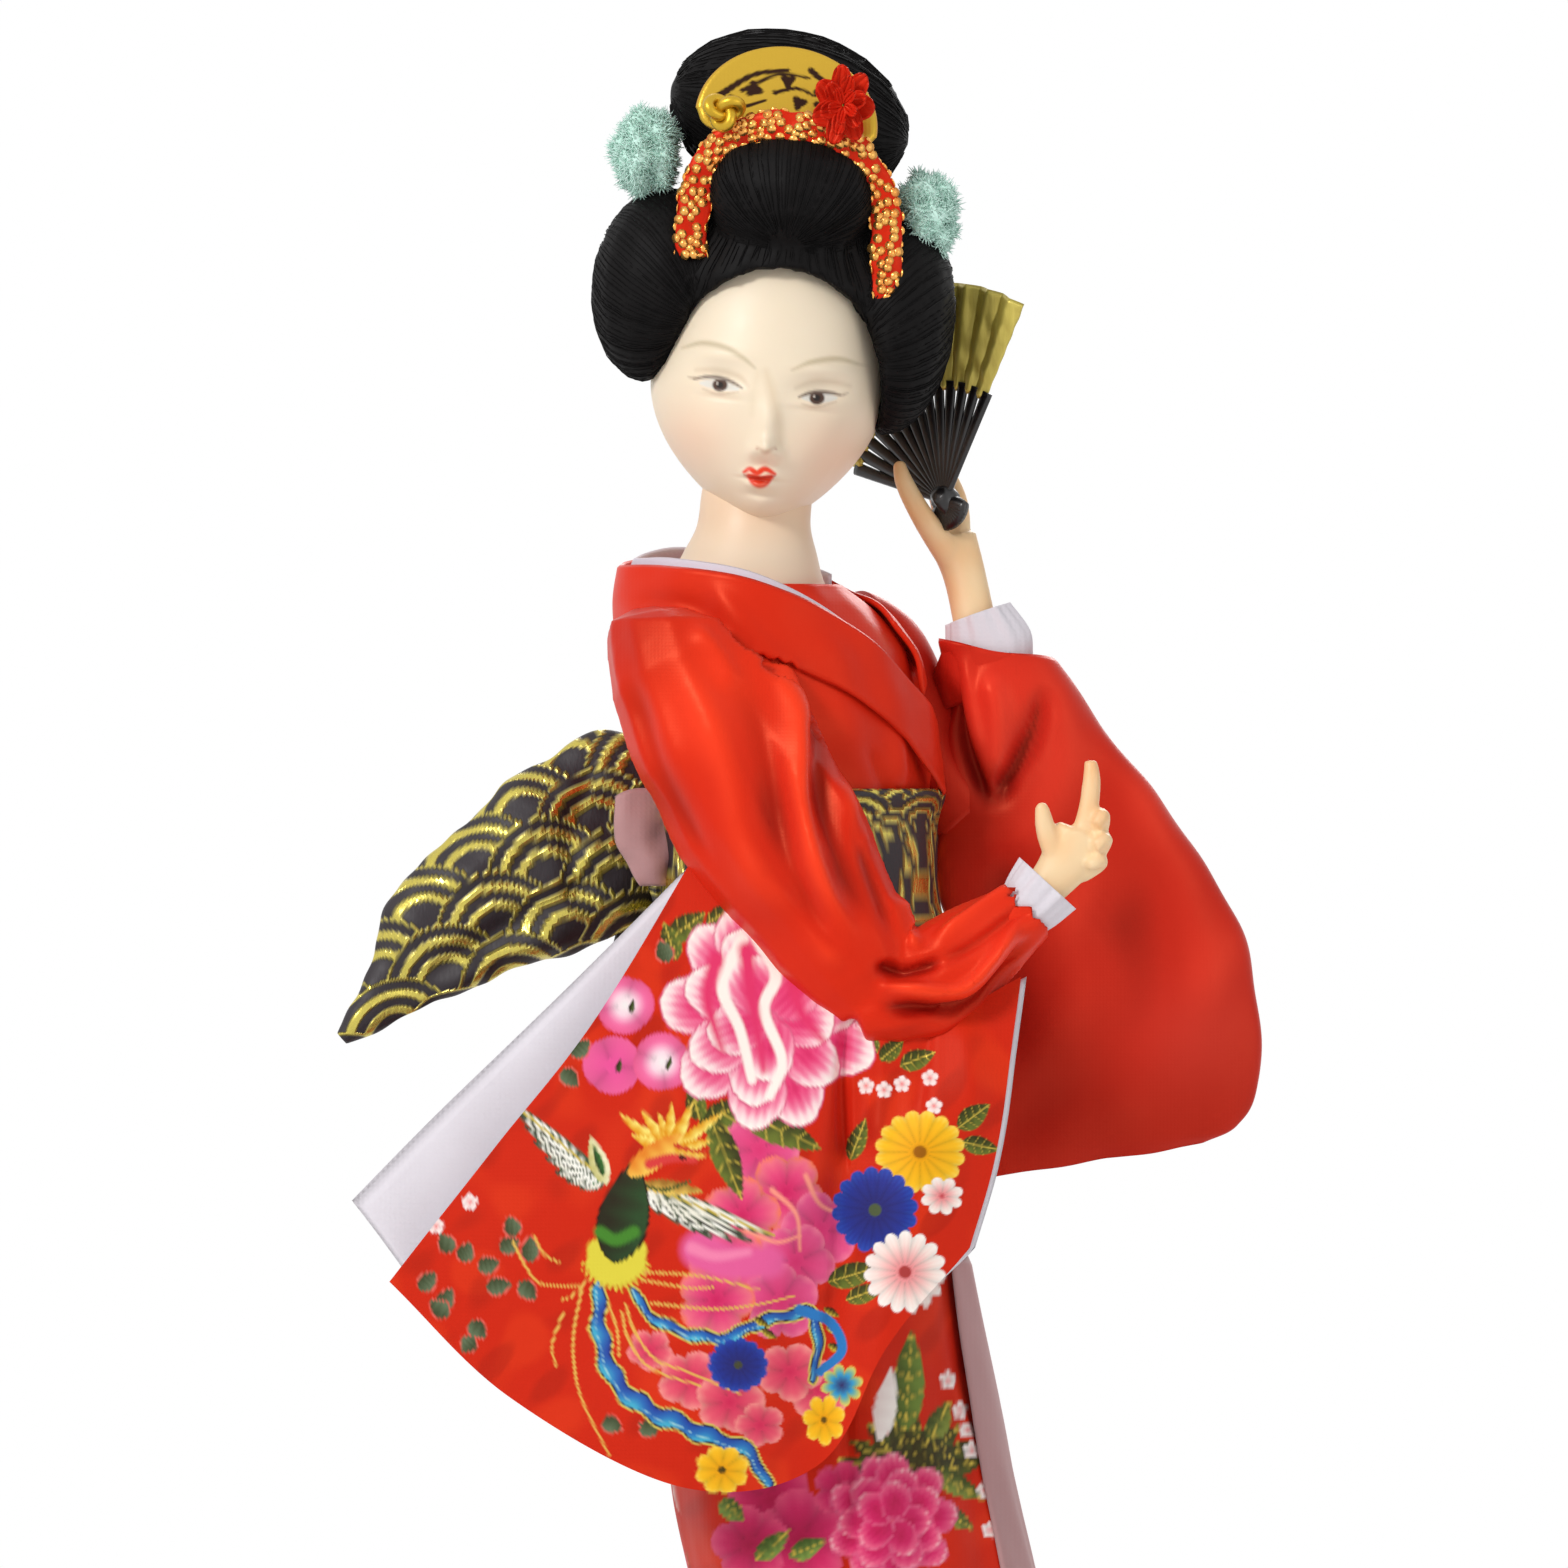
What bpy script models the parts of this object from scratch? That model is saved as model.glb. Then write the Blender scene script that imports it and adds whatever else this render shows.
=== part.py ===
"""A dressed geisha doll on a lacquered board: moulded head and hands, floss wig, satin kimono, brocade obi.

Metres, +Z up. The origin is the centre of the underside of the board. The face looks along -Y, and the body
is turned towards +X, so the tied bow stands out behind it on the -X side.
"""
import math

import bmesh
import bpy
import numpy as np
from mathutils import Matrix, Vector

# Driving sizes, in millimetres. A place is worked out from these.
MM = 0.001
FIT = 0.3  # what is left between two pieces that touch

BOARD_LENGTH = 112.0
BOARD_WIDTH = 92.0
BOARD_HEIGHT = 14.0
BOARD_EDGE = 1.6
WIRE_RADIUS = 1.5
WIRE_SIDES = 7
WIRE_DEPTH = 9.0
WIRE_RISE = 62.0
LEG_SPACING = 13.0

WAIST_HEIGHT = 186.0  # top of the board to the middle of the obi
TORSO_HEIGHT = 38.0  # middle of the obi to the neck opening
WAIST_HALF_DEPTH = 13.0
WAIST_HALF_WIDTH = 16.2
BODY_YAW = math.radians(50)
CLOTH = 0.9
OBI_HEIGHT = 21.0
OBI_THICKNESS = 1.3
STUFFING_GAP = 0.6  # the stuffed body inside the lining
FOLD_DEPTH = 0.055  # of the skirt's big folds at the hem, as a share of its radius
PLEAT_DEPTH = 0.03

FACE_HALF_WIDTH = 14.7
FACE_HALF_DEPTH = 15.5
CHIN_DROP = 17.2
CHIN_FULLNESS = 3.0  # how square the profile is from the nose down to the chin, where 2 is a ball
JAW_TAPER = 0.3
CROWN_RISE = 22.0
NECK_RADIUS = 7.3
HEAD_TILT = math.radians(6.5)
HEAD_LIFT = 61.0  # middle of the obi to the middle of the head
HAIRLINE_HALF_WIDTH = 13.9
HAIRLINE_RISE = 15.5

FAN_RADIUS = 27.5
FAN_STICK_RADIUS = 14.0
FAN_STICK_START = 3.6
FAN_PLEATS = 13
FAN_OPENING = math.radians(100)
FAN_PAPER = 0.5

# Places that the sizes give.
FORWARD = np.array([math.sin(BODY_YAW), -math.cos(BODY_YAW), 0.0])
RIGHT = np.array([-math.cos(BODY_YAW), -math.sin(BODY_YAW), 0.0])
WAIST = np.array([-7.5, 2.0, BOARD_HEIGHT + WAIST_HEIGHT])
HEAD = WAIST + np.array([-4.0, -1.0, HEAD_LIFT])


# Tools
def new_collection(name):
    made = bpy.data.collections.new(name)
    bpy.context.scene.collection.children.link(made)
    return made


def finish_of(name, colour, roughness, metallic=0.0):
    made = bpy.data.materials.new(name)
    made.use_nodes = True
    shader = made.node_tree.nodes["Principled BSDF"]
    shader.inputs["Base Color"].default_value = (*colour, 1.0)
    shader.inputs["Roughness"].default_value = roughness
    shader.inputs["Metallic"].default_value = metallic
    return made


def add(name, mesh, finish, collection):
    """Puts a mesh, whose points are in millimetres, into the model in metres."""
    mesh.transform(Matrix.Scale(MM, 4))
    mesh.materials.append(finish)
    made = bpy.data.objects.new(name, mesh)
    collection.objects.link(made)
    return made


def smooth_shade(obj, angle=40):
    obj.data.shade_smooth()
    obj.data.set_sharp_from_angle(angle=math.radians(angle))
    return obj


def through(keys, count):
    """count rows on a smooth curve through the rows of keys."""
    keys = np.array(keys, float)
    ends = np.vstack([2 * keys[0] - keys[1], keys, 2 * keys[-1] - keys[-2]])
    t = np.linspace(0, len(keys) - 1, count)
    i = np.minimum(t.astype(int), len(keys) - 2)
    f = (t - i)[:, None]
    a, b, c, d = ends[i], ends[i + 1], ends[i + 2], ends[i + 3]
    return 0.5 * (2 * b + (c - a) * f + (2 * a - 5 * b + 4 * c - d) * f**2 + (3 * b - a - 3 * c + d) * f**3)


def ring_mesh(name, rings, capped=True):
    """A tube of quads through rings of points. Its ends are closed when capped."""
    count, sides = rings.shape[:2]
    mesh = bpy.data.meshes.new(name)
    faces = []
    for i in range(count - 1):
        for j in range(sides):
            k = (j + 1) % sides
            faces.append((i * sides + j, i * sides + k, (i + 1) * sides + k, (i + 1) * sides + j))
    if capped:
        faces.append(tuple(range(sides)))
        faces.append(tuple((count - 1) * sides + j for j in range(sides)))
    mesh.from_pydata([tuple(p) for p in rings.reshape(-1, 3)], [], faces)
    face_outwards(mesh)
    return mesh


def face_outwards(mesh):
    work = bmesh.new()
    work.from_mesh(mesh)
    bmesh.ops.remove_doubles(work, verts=work.verts, dist=1e-4)
    bmesh.ops.recalc_face_normals(work, faces=work.faces)
    middle = sum((v.co for v in work.verts), Vector()) / len(work.verts)
    outward = sum((f.calc_center_median() - middle).dot(f.normal) * f.calc_area() for f in work.faces)
    if outward < 0:
        bmesh.ops.reverse_faces(work, faces=work.faces)
    split_wide_faces(work)
    work.to_mesh(mesh)
    work.free()


def body_rings(stations, sides, ripple=None):
    """Upright rings of the turned body. A station is height, centre x and y, half depth and half width."""
    angle = np.linspace(0, 2 * math.pi, sides, endpoint=False)
    rings = np.zeros((len(stations), sides, 3))
    for i, (z, x, y, deep, wide) in enumerate(stations):
        out = np.ones(sides) if ripple is None else ripple(angle, i / (len(stations) - 1))
        rings[i] = np.array([x, y, z]) + np.outer(deep * np.cos(angle) * out, FORWARD)
        rings[i] += np.outer(wide * np.sin(angle) * out, RIGHT)
    return rings


def arm_rings(stations, sides, depth_axis=(0, 1, 0)):
    """Rings square to a path. A station is x, y, z, half width across it, half depth along depth_axis."""
    points = stations[:, :3]
    along = np.gradient(points, axis=0)
    along /= np.linalg.norm(along, axis=1)[:, None]
    deep = np.array(depth_axis, float) - along * (along @ np.array(depth_axis, float))[:, None]
    deep /= np.linalg.norm(deep, axis=1)[:, None]
    wide = np.cross(along, deep)
    angle = np.linspace(0, 2 * math.pi, sides, endpoint=False)
    rings = points[:, None] + wide[:, None] * (stations[:, 3:4] * np.cos(angle))[..., None]
    return rings + deep[:, None] * (stations[:, 4:5] * np.sin(angle))[..., None]


def net(rows, down, across):
    """A grid of points on the smooth surface through a coarse net of points."""
    rows = np.array(rows, float)
    across_first = np.array([through(row, across) for row in rows])
    return np.array([through(across_first[:, j], down) for j in range(across)]).transpose(1, 0, 2)


def sheet(name, grid, thickness, finish, collection):
    """A piece of cloth: an open grid, thickened about its middle."""
    down, across = grid.shape[:2]
    mesh = bpy.data.meshes.new(name)
    faces = [
        (i * across + j, i * across + j + 1, (i + 1) * across + j + 1, (i + 1) * across + j)
        for i in range(down - 1)
        for j in range(across - 1)
    ]
    mesh.from_pydata([tuple(p) for p in grid.reshape(-1, 3)], [], faces)
    made = smooth_shade(add(name, mesh, finish, collection))
    thicken(made, thickness, 0.0)
    return made


def thicken(obj, thickness, side):
    solid = obj.modifiers.new("Thickness", "SOLIDIFY")
    solid.thickness = thickness * MM
    solid.offset = side
    solid.use_even_offset = True
    return obj


def lobe(name, centre, radii, finish, collection, turn=None, segments=18, rings=11, shape=None):
    """A rounded lump: a sphere stretched to three radii, reshaped, then turned."""
    work = bmesh.new()
    bmesh.ops.create_uvsphere(work, u_segments=segments, v_segments=rings, radius=1.0)
    for vertex in work.verts:
        if shape:
            vertex.co = shape(vertex.co)
        vertex.co = Vector([c * r for c, r in zip(vertex.co, radii)])
    mesh = bpy.data.meshes.new(name)
    work.to_mesh(mesh)
    work.free()
    mesh.transform(Matrix.Translation(Vector(centre)) @ (turn or Matrix.Identity(4)))
    return smooth_shade(add(name, mesh, finish, collection))


def boolean(obj, operation, other):
    change = obj.modifiers.new(operation.title(), "BOOLEAN")
    change.operation = operation
    change.solver = "EXACT"
    change.object = other


def settled_mesh(obj):
    bpy.context.view_layer.update()
    return bpy.data.meshes.new_from_object(obj.evaluated_get(bpy.context.evaluated_depsgraph_get()))


def apply_modifiers(obj):
    mesh = settled_mesh(obj)
    obj.modifiers.clear()
    obj.data = mesh
    return obj


def split_wide_faces(work):
    """A face with more than four corners is seldom flat here, and a Boolean needs flat faces."""
    wide = [face for face in work.faces if len(face.verts) > 4]
    bmesh.ops.triangulate(work, faces=wide)


def helper(name, mesh, collection):
    work = bmesh.new()
    work.from_mesh(mesh)
    split_wide_faces(work)
    work.to_mesh(mesh)
    work.free()
    made = bpy.data.objects.new(name, mesh)
    collection.objects.link(made)
    made.hide_render = True
    made.display_type = "WIRE"
    return made


def cut_clear(obj, others, helpers, gap=FIT):
    """Cuts each of others, grown by the gap, out of obj."""
    for other in others:
        work = bmesh.new()
        work.from_mesh(settled_mesh(other))
        bmesh.ops.remove_doubles(work, verts=work.verts, dist=1e-6)
        bmesh.ops.recalc_face_normals(work, faces=work.faces)
        work.normal_update()
        places = [v.co + v.normal * gap * MM for v in work.verts]
        for vertex, place in zip(work.verts, places):
            vertex.co = place
        mesh = bpy.data.meshes.new("grown")
        work.to_mesh(mesh)
        work.free()
        boolean(obj, "DIFFERENCE", helper(f"cutter_{obj.name}_{other.name}", mesh, helpers))
        keep_largest(apply_modifiers(obj))
    return obj


def keep_largest(obj):
    """Drops the crumbs that a cut leaves beside the piece."""
    work = bmesh.new()
    work.from_mesh(obj.data)
    left = set(work.faces)
    islands = []
    while left:
        seed = left.pop()
        island, edge = {seed}, [seed]
        while edge:
            for side in edge.pop().edges:
                for face in side.link_faces:
                    if face in left:
                        left.discard(face)
                        island.add(face)
                        edge.append(face)
        islands.append(island)
    islands.sort(key=lambda island: sum(face.calc_area() for face in island), reverse=True)
    crumbs = {vertex for island in islands[1:] for face in island for vertex in face.verts}
    bmesh.ops.delete(work, geom=list(crumbs), context="VERTS")
    bmesh.ops.remove_doubles(work, verts=work.verts, dist=2e-6)
    split_wide_faces(work)
    bmesh.ops.recalc_face_normals(work, faces=work.faces)
    work.to_mesh(obj.data)
    work.free()
    return obj


def cut_by_body(obj, stations, helpers):
    """Cuts a filled body shape, given by its rings, out of obj."""
    name = f"body_cutter_{obj.name}"
    mesh = ring_mesh(name, body_rings(stations, 20))
    mesh.transform(Matrix.Scale(MM, 4))
    boolean(obj, "DIFFERENCE", helper(name, mesh, helpers))
    return keep_largest(apply_modifiers(obj))


# Board and what stands in it
def make_board(parts, helpers, finishes):
    bpy.ops.mesh.primitive_cube_add(size=1.0)
    board = bpy.context.object
    board.name = "base_board"
    for collection in list(board.users_collection):
        collection.objects.unlink(board)
    parts.objects.link(board)
    board.scale = (BOARD_LENGTH * MM, BOARD_WIDTH * MM, BOARD_HEIGHT * MM)
    board.location = (0, 0, BOARD_HEIGHT / 2 * MM)
    bpy.context.view_layer.update()
    board.data.transform(board.matrix_world)
    board.matrix_world = Matrix.Identity(4)
    board.data.materials.append(finishes["lacquer"])
    bevel = board.modifiers.new("Edge", "BEVEL")
    bevel.width = BOARD_EDGE * MM
    bevel.segments = 2
    wires = []
    for side, name in ((1, "leg_wire_right"), (-1, "leg_wire_left")):
        centre = leg_centre(side)
        length = WIRE_DEPTH + WIRE_RISE
        work = bmesh.new()
        bmesh.ops.create_cone(
            work, cap_ends=True, segments=WIRE_SIDES, radius1=WIRE_RADIUS, radius2=WIRE_RADIUS, depth=length
        )
        mesh = bpy.data.meshes.new(name)
        work.to_mesh(mesh)
        work.free()
        middle = BOARD_HEIGHT - WIRE_DEPTH + length / 2
        mesh.transform(Matrix.Translation((centre[0], centre[1], middle)))
        wires.append(smooth_shade(add(name, mesh, finishes["steel"], parts)))
    cut_clear(board, wires, helpers)
    return smooth_shade(board), wires


def leg_centre(side):
    return np.array([WAIST[0] + 9.0, WAIST[1], 0]) + RIGHT * side * LEG_SPACING / 2


# Body and kimono
def waist_station(height, extra, x=0.0, y=0.0):
    return (height, WAIST[0] + x, WAIST[1] + y, WAIST_HALF_DEPTH + extra, WAIST_HALF_WIDTH + extra)


def torso_stations(extra):
    """Rings of the figure above the waist, each extra millimetres outside the stuffed body."""
    shape = [
        (-2.0, 0.0, 0.0, 0.0, 0.0),
        (5.0, 0.0, 0.0, 0.0, 0.0),
        (12.0, -0.3, -0.1, 1.2, 0.8),
        (20.0, -1.5, -0.4, 1.6, 1.6),
        (27.0, -3.0, -0.8, 0.4, 2.0),
        (32.5, -4.5, -1.0, -1.6, -1.2),
        (TORSO_HEIGHT - 2.0, -5.6, -1.2, -3.6, -5.6),
    ]
    return [
        (
            WAIST[2] + rise, WAIST[0] + x, WAIST[1] + y,
            WAIST_HALF_DEPTH + d + extra, WAIST_HALF_WIDTH + w + extra,
        )
        for rise, x, y, d, w in shape
    ]


def skirt_stations(extra):
    """Rings of the skirt from inside the obi to the board, each extra millimetres outside the lining."""
    top = WAIST[2]
    foot = BOARD_HEIGHT + FIT + CLOTH
    drop = top - foot
    shape = [
        (0.02, 0.0, 0.0, 0.0, 0.0),
        (0.08, 0.2, 0.0, 1.4, 0.8),
        (0.16, 0.6, 0.0, 3.2, 1.6),
        (0.26, 1.2, 0.0, 4.2, 2.2),
        (0.41, 4.8, 0.0, 6.0, 4.4),
        (0.52, 9.0, 0.0, 6.2, 4.6),
        (0.66, 12.0, 0.0, 7.2, 5.6),
        (0.80, 11.5, -0.6, 11.5, 10.0),
        (0.91, 10.0, -1.2, 20.0, 18.0),
        (1.00, 8.5, -2.0, 28.5, 26.0),
    ]
    return [
        (
            top - drop * t, WAIST[0] + x, WAIST[1] + y,
            WAIST_HALF_DEPTH + d + extra, WAIST_HALF_WIDTH + w + extra,
        )
        for t, x, y, d, w in shape
    ]


def fold_share(t):
    """How far the folds have opened at a share t of the way from the waist to the hem."""
    return np.clip((t - 0.55) / 0.45, 0, 1) ** 1.3


def hem_ripple(angle, t):
    """The folds of the skirt, which open towards the hem."""
    ripple = FOLD_DEPTH * np.sin(5 * angle + 0.6) + PLEAT_DEPTH * np.sin(9 * angle + 2.0)
    return 1 + fold_share(t) * ripple


def stuffing_stations():
    """Rings of the stuffed body: inside the skirt's folds down to the board, and up inside the bodice."""
    skirt = skirt_stations(-STUFFING_GAP)
    rings = []
    for i, (z, x, y, deep, wide) in enumerate(skirt):
        share = 1 - (FOLD_DEPTH + PLEAT_DEPTH) * fold_share(i / (len(skirt) - 1))
        rings.append((z, x, y, deep * share, wide * share))
    del rings[1]
    return rings[::-1] + torso_stations(-STUFFING_GAP)[1:5]


def make_body(parts, helpers, finishes, wires):
    rings = body_rings(stuffing_stations(), 12)
    body = smooth_shade(add("stuffed_body", ring_mesh("stuffed_body", rings), finishes["straw"], parts))
    return cut_clear(body, wires, helpers)


def make_bodice(parts, finishes):
    stations = torso_stations(FIT + CLOTH)
    mesh = ring_mesh("kimono_bodice", body_rings(stations, 18), capped=False)
    bodice = smooth_shade(add("kimono_bodice", mesh, finishes["red_satin"], parts))
    return thicken(bodice, CLOTH, -1.0)


def make_skirt(parts, finishes):
    stations = skirt_stations(FIT + CLOTH)
    mesh = ring_mesh("kimono_skirt", body_rings(stations, 26, hem_ripple), capped=False)
    skirt = smooth_shade(add("kimono_skirt", mesh, finishes["print"], parts))
    return thicken(skirt, CLOTH, -1.0)


def make_skirt_lining(parts, finishes):
    """The grey lining that shows where the front panel opens, lying on the skirt."""
    stations = skirt_stations(2 * FIT + 1.5 * CLOTH)[3:-1]
    rows = []
    for i, (z, x, y, deep, wide) in enumerate(stations):
        t = i / (len(stations) - 1)
        first, last = math.radians(-34 + 26 * t**0.6), math.radians(-58 - 4 * t)
        height = (z - BOARD_HEIGHT) / (WAIST[2] - BOARD_HEIGHT)
        row = []
        for angle in np.linspace(first, last, 4):
            out = hem_ripple(np.array([angle]), 1 - height)[0] * 1.02
            ahead, aside = deep * math.cos(angle) * out, wide * math.sin(angle) * out
            row.append(np.array([x, y, z]) + ahead * FORWARD + aside * RIGHT)
        rows.append(row)
    return sheet("skirt_lining", np.array(rows), 0.6 * CLOTH, finishes["lining"], parts)


def make_obi(parts, finishes):
    outside = 2 * FIT + CLOTH + OBI_THICKNESS
    stations = [
        waist_station(WAIST[2] - OBI_HEIGHT / 2, outside + 1.2),
        waist_station(WAIST[2] - OBI_HEIGHT / 4, outside + 0.4),
        waist_station(WAIST[2] + OBI_HEIGHT / 4, outside + 0.2),
        waist_station(WAIST[2] + OBI_HEIGHT / 2, outside + 1.0),
    ]
    mesh = ring_mesh("obi_sash", body_rings(stations, 20), capped=False)
    obi = smooth_shade(add("obi_sash", mesh, finishes["brocade"], parts))
    return thicken(obi, OBI_THICKNESS, -1.0)


# What lies on the body
def dressed_torso():
    return torso_stations(2 * FIT + CLOTH)


def dressed_waist():
    """The obi's outside, filled, with the top of the skirt below it."""
    outside = 4 * FIT + CLOTH + OBI_THICKNESS
    low, high = WAIST[2] - OBI_HEIGHT / 2 - FIT, WAIST[2] + OBI_HEIGHT / 2 + FIT
    below = [station for station in reversed(skirt_stations(2 * FIT + CLOTH)) if station[0] < low - 6]
    return below + [
        waist_station(low, outside + 1.2),
        waist_station(WAIST[2] - OBI_HEIGHT / 4, outside + 0.4),
        waist_station(WAIST[2] + OBI_HEIGHT / 4, outside + 0.2),
        waist_station(high, outside + 1.0),
    ]


def section_at(stations, height):
    """Centre x and y, half depth and half width of a stack of rings at a height."""
    table = through(stations, 60)
    table = table[np.argsort(table[:, 0])]
    return [np.interp(height, table[:, 0], table[:, k]) for k in range(1, 5)]


def clear_of_body(grid, stations, clearance):
    """Moves each point of a grid that is inside the rings, or too close to them, straight out."""
    out = grid.copy()
    for index in np.ndindex(grid.shape[:2]):
        x, y, z = grid[index]
        cx, cy, deep, wide = section_at(stations, z)
        ahead = (x - cx) * FORWARD[0] + (y - cy) * FORWARD[1]
        aside = (x - cx) * RIGHT[0] + (y - cy) * RIGHT[1]
        share = math.hypot(ahead / (deep + clearance), aside / (wide + clearance))
        if 0 < share < 1:
            moved = (ahead * FORWARD + aside * RIGHT) / share
            out[index][:2] = (cx + moved[0], cy + moved[1])
    return out


def from_body(ahead, aside, rise, axis=(-5.5, -1.2)):
    """A point given by how far it is ahead of the spine, to the doll's right and above the waist."""
    foot = WAIST + np.array([axis[0], axis[1], rise])
    return foot + ahead * FORWARD + aside * RIGHT


COLLAR_TOP = [
    (17.4, -14.4, 18.9), (18.8, -9.4, 22.5), (18.4, -4, 27.0),
    (15.6, 4, 32.4), (9.6, 12.6, 36.6), (-2, 15.6, 38.3),
    (-12.0, 12, 38.5), (-15.6, 0, 40), (-13, -11, 39.5),
    (-3, -14, 38), (7, -11.8, 34.8), (11.6, -9.6, 31.4),
]
COLLAR_WIDTH = 7.6


def collar_grid(drop, spread, lower_width, across):
    """The band round the neck, as a net of three edges: top, middle and bottom."""
    rows = []
    for t in (0.0, 0.5, 1.0):
        row = []
        for ahead, aside, rise in COLLAR_TOP:
            reach = math.hypot(ahead, aside)
            grow = 1 + (spread + 1.6 * t) / reach
            row.append(from_body(ahead * grow, aside * grow, rise - drop - lower_width * t))
        rows.append(row)
    return net(rows, 3, across)


def cut_by_collar(obj, helpers):
    """Cuts what the collar wraps, filled and grown, out of obj."""
    reach = [math.hypot(ahead - 1.5, aside) for ahead, aside, rise in COLLAR_TOP[2:-1]]
    outer = max(reach) + 1.6 + CLOTH / 2 + 2 * FIT
    bottom, top = [], []
    for angle in np.linspace(0, 2 * math.pi, 24, endpoint=False):
        ahead, aside = 1.5 + outer * math.cos(angle), (outer - 1.2) * math.sin(angle)
        low = COLLAR_TOP[5][2] - 0.03 * max(0.0, ahead) ** 2 - COLLAR_WIDTH - 2 * FIT
        bottom.append(from_body(ahead, aside, low))
        top.append(from_body(ahead * 0.95, aside * 0.95, 50.0))
    name = f"collar_cutter_{obj.name}"
    mesh = ring_mesh(name, np.array([bottom, top]))
    mesh.transform(Matrix.Scale(MM, 4))
    boolean(obj, "DIFFERENCE", helper(name, mesh, helpers))
    return keep_largest(apply_modifiers(obj))


def make_collars(parts, helpers, finishes):
    torso = torso_stations(FIT + CLOTH)
    band = clear_of_body(collar_grid(0.0, 0.0, COLLAR_WIDTH, 23), torso, 3 * FIT + 0.5 * CLOTH)
    collar = sheet("kimono_collar", band, CLOTH, finishes["red_satin"], parts)
    inner = collar_grid(-0.9, -2.0, 3.2, 24)[:, 4:-2]
    inner = clear_of_body(inner, torso, 2 * FIT + 0.3 * CLOTH)
    under = sheet("under_collar", inner, 0.6 * CLOTH, finishes["white_cloth"], parts)
    return collar, under


# Head and wig
def head_place(x, y, z):
    """A point given in the upright head's own frame, about its middle."""
    return Matrix.Translation(Vector(HEAD)) @ head_turn() @ Vector((x, y, z))


def head_turn():
    return Matrix.Rotation(HEAD_TILT, 4, "Y") @ Matrix.Rotation(math.radians(4), 4, "X")


def bump(x, z, centre_x, centre_z, size_x, size_z):
    return math.exp(-(((x - centre_x) / size_x) ** 2) - ((z - centre_z) / size_z) ** 2)


def face_shape(unit):
    """A unit sphere made into a head: narrow chin, full back, with brow, nose, lips and chin."""
    x, y, z = unit
    low = min(1.0, max(0.0, -z))
    level = max(math.hypot(x, y), 0.05)
    x *= 1 - JAW_TAPER * low**2
    y *= 1.06 if y > 0 else 1 - 0.10 * low
    if y < 0:
        fullness = (1 - low**CHIN_FULLNESS) ** (1 / CHIN_FULLNESS) / level if low else 1.0
        y *= 1 + max(0.0, fullness - 1) * min(1.0, -y / level)
        across, up = x * FACE_HALF_WIDTH, z * CHIN_DROP
        relief = -0.9 * bump(across, up, -5.6, 0.2, 3.4, 2.2) - 0.9 * bump(across, up, 5.6, 0.2, 3.4, 2.2)
        relief += 2.0 * bump(across, up, 0, -6.6, 1.7, 2.2) + 1.0 * bump(across, up, 0, -2.5, 1.4, 4.5)
        relief += 0.7 * bump(across, up, 0, -11.4, 2.2, 1.2) + 0.9 * bump(across, up, 0, -15.2, 3.4, 2.2)
        y -= relief / FACE_HALF_DEPTH
    return Vector((x, y, z))


def make_head(parts, finishes):
    work = bmesh.new()
    bmesh.ops.create_uvsphere(work, u_segments=24, v_segments=17, radius=1.0)
    for vertex in work.verts:
        shaped = face_shape(vertex.co)
        height = CROWN_RISE if shaped.z > 0 else CHIN_DROP
        vertex.co = (shaped.x * FACE_HALF_WIDTH, shaped.y * FACE_HALF_DEPTH, shaped.z * height)
    mesh = bpy.data.meshes.new("head")
    work.to_mesh(mesh)
    work.free()
    mesh.transform(Matrix.Translation(Vector(HEAD)) @ head_turn())
    head = add("head", mesh, finishes["skin"], parts)
    top = HEAD[2] - CHIN_DROP + 8.0
    neck_x, neck_y = WAIST[0] - 5.8, WAIST[1] - 1.2
    shoulder = WAIST[2] + 27.0 + FIT
    stations = [
        (shoulder, neck_x + 2.0, neck_y, 9.6, 12.4),
        (shoulder + 5.0, neck_x + 0.8, neck_y, 9.4, 11.6),
        (shoulder + 9.0, neck_x, neck_y, 8.6, 9.4),
        (shoulder + 12.5, neck_x, neck_y, NECK_RADIUS + 0.6, NECK_RADIUS + 0.6),
        (shoulder + 16.0, neck_x, neck_y, NECK_RADIUS - 0.2, NECK_RADIUS - 0.1),
        (shoulder + 20.0, neck_x + 0.4, neck_y + 0.6, NECK_RADIUS - 0.4, NECK_RADIUS - 0.3),
        (top, neck_x + 0.8, neck_y + 1.4, NECK_RADIUS - 1.0, NECK_RADIUS - 1.0),
    ]
    neck_mesh = ring_mesh("neck", body_rings(stations, 14))
    neck_mesh.transform(Matrix.Scale(MM, 4))
    return head, neck_mesh


def squared(power):
    """A shape function that makes a ball boxier, for lobes of brushed hair."""
    def shape(unit):
        return Vector([math.copysign(abs(c) ** power, c) for c in unit])
    return shape


HAIR_LOBES = {
    "hair_back": ((0.5, 2.0, 11.0), (16.0, 17.2, 14.5), 16),
    "hair_wing_right": ((-14.6, -1.0, 10.8), (8.4, 10.6, 12.0), 14),
    "hair_wing_left": ((14.4, -1.0, 9.6), (7.6, 10.6, 13.8), 14),
    "hair_forelock": ((0.2, -5.0, 24.0), (11.2, 11.2, 9.0), 14),
    "hair_bun": ((-0.2, 4.0, 33.6), (15.4, 9.7, 10.8), 16),
}


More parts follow.
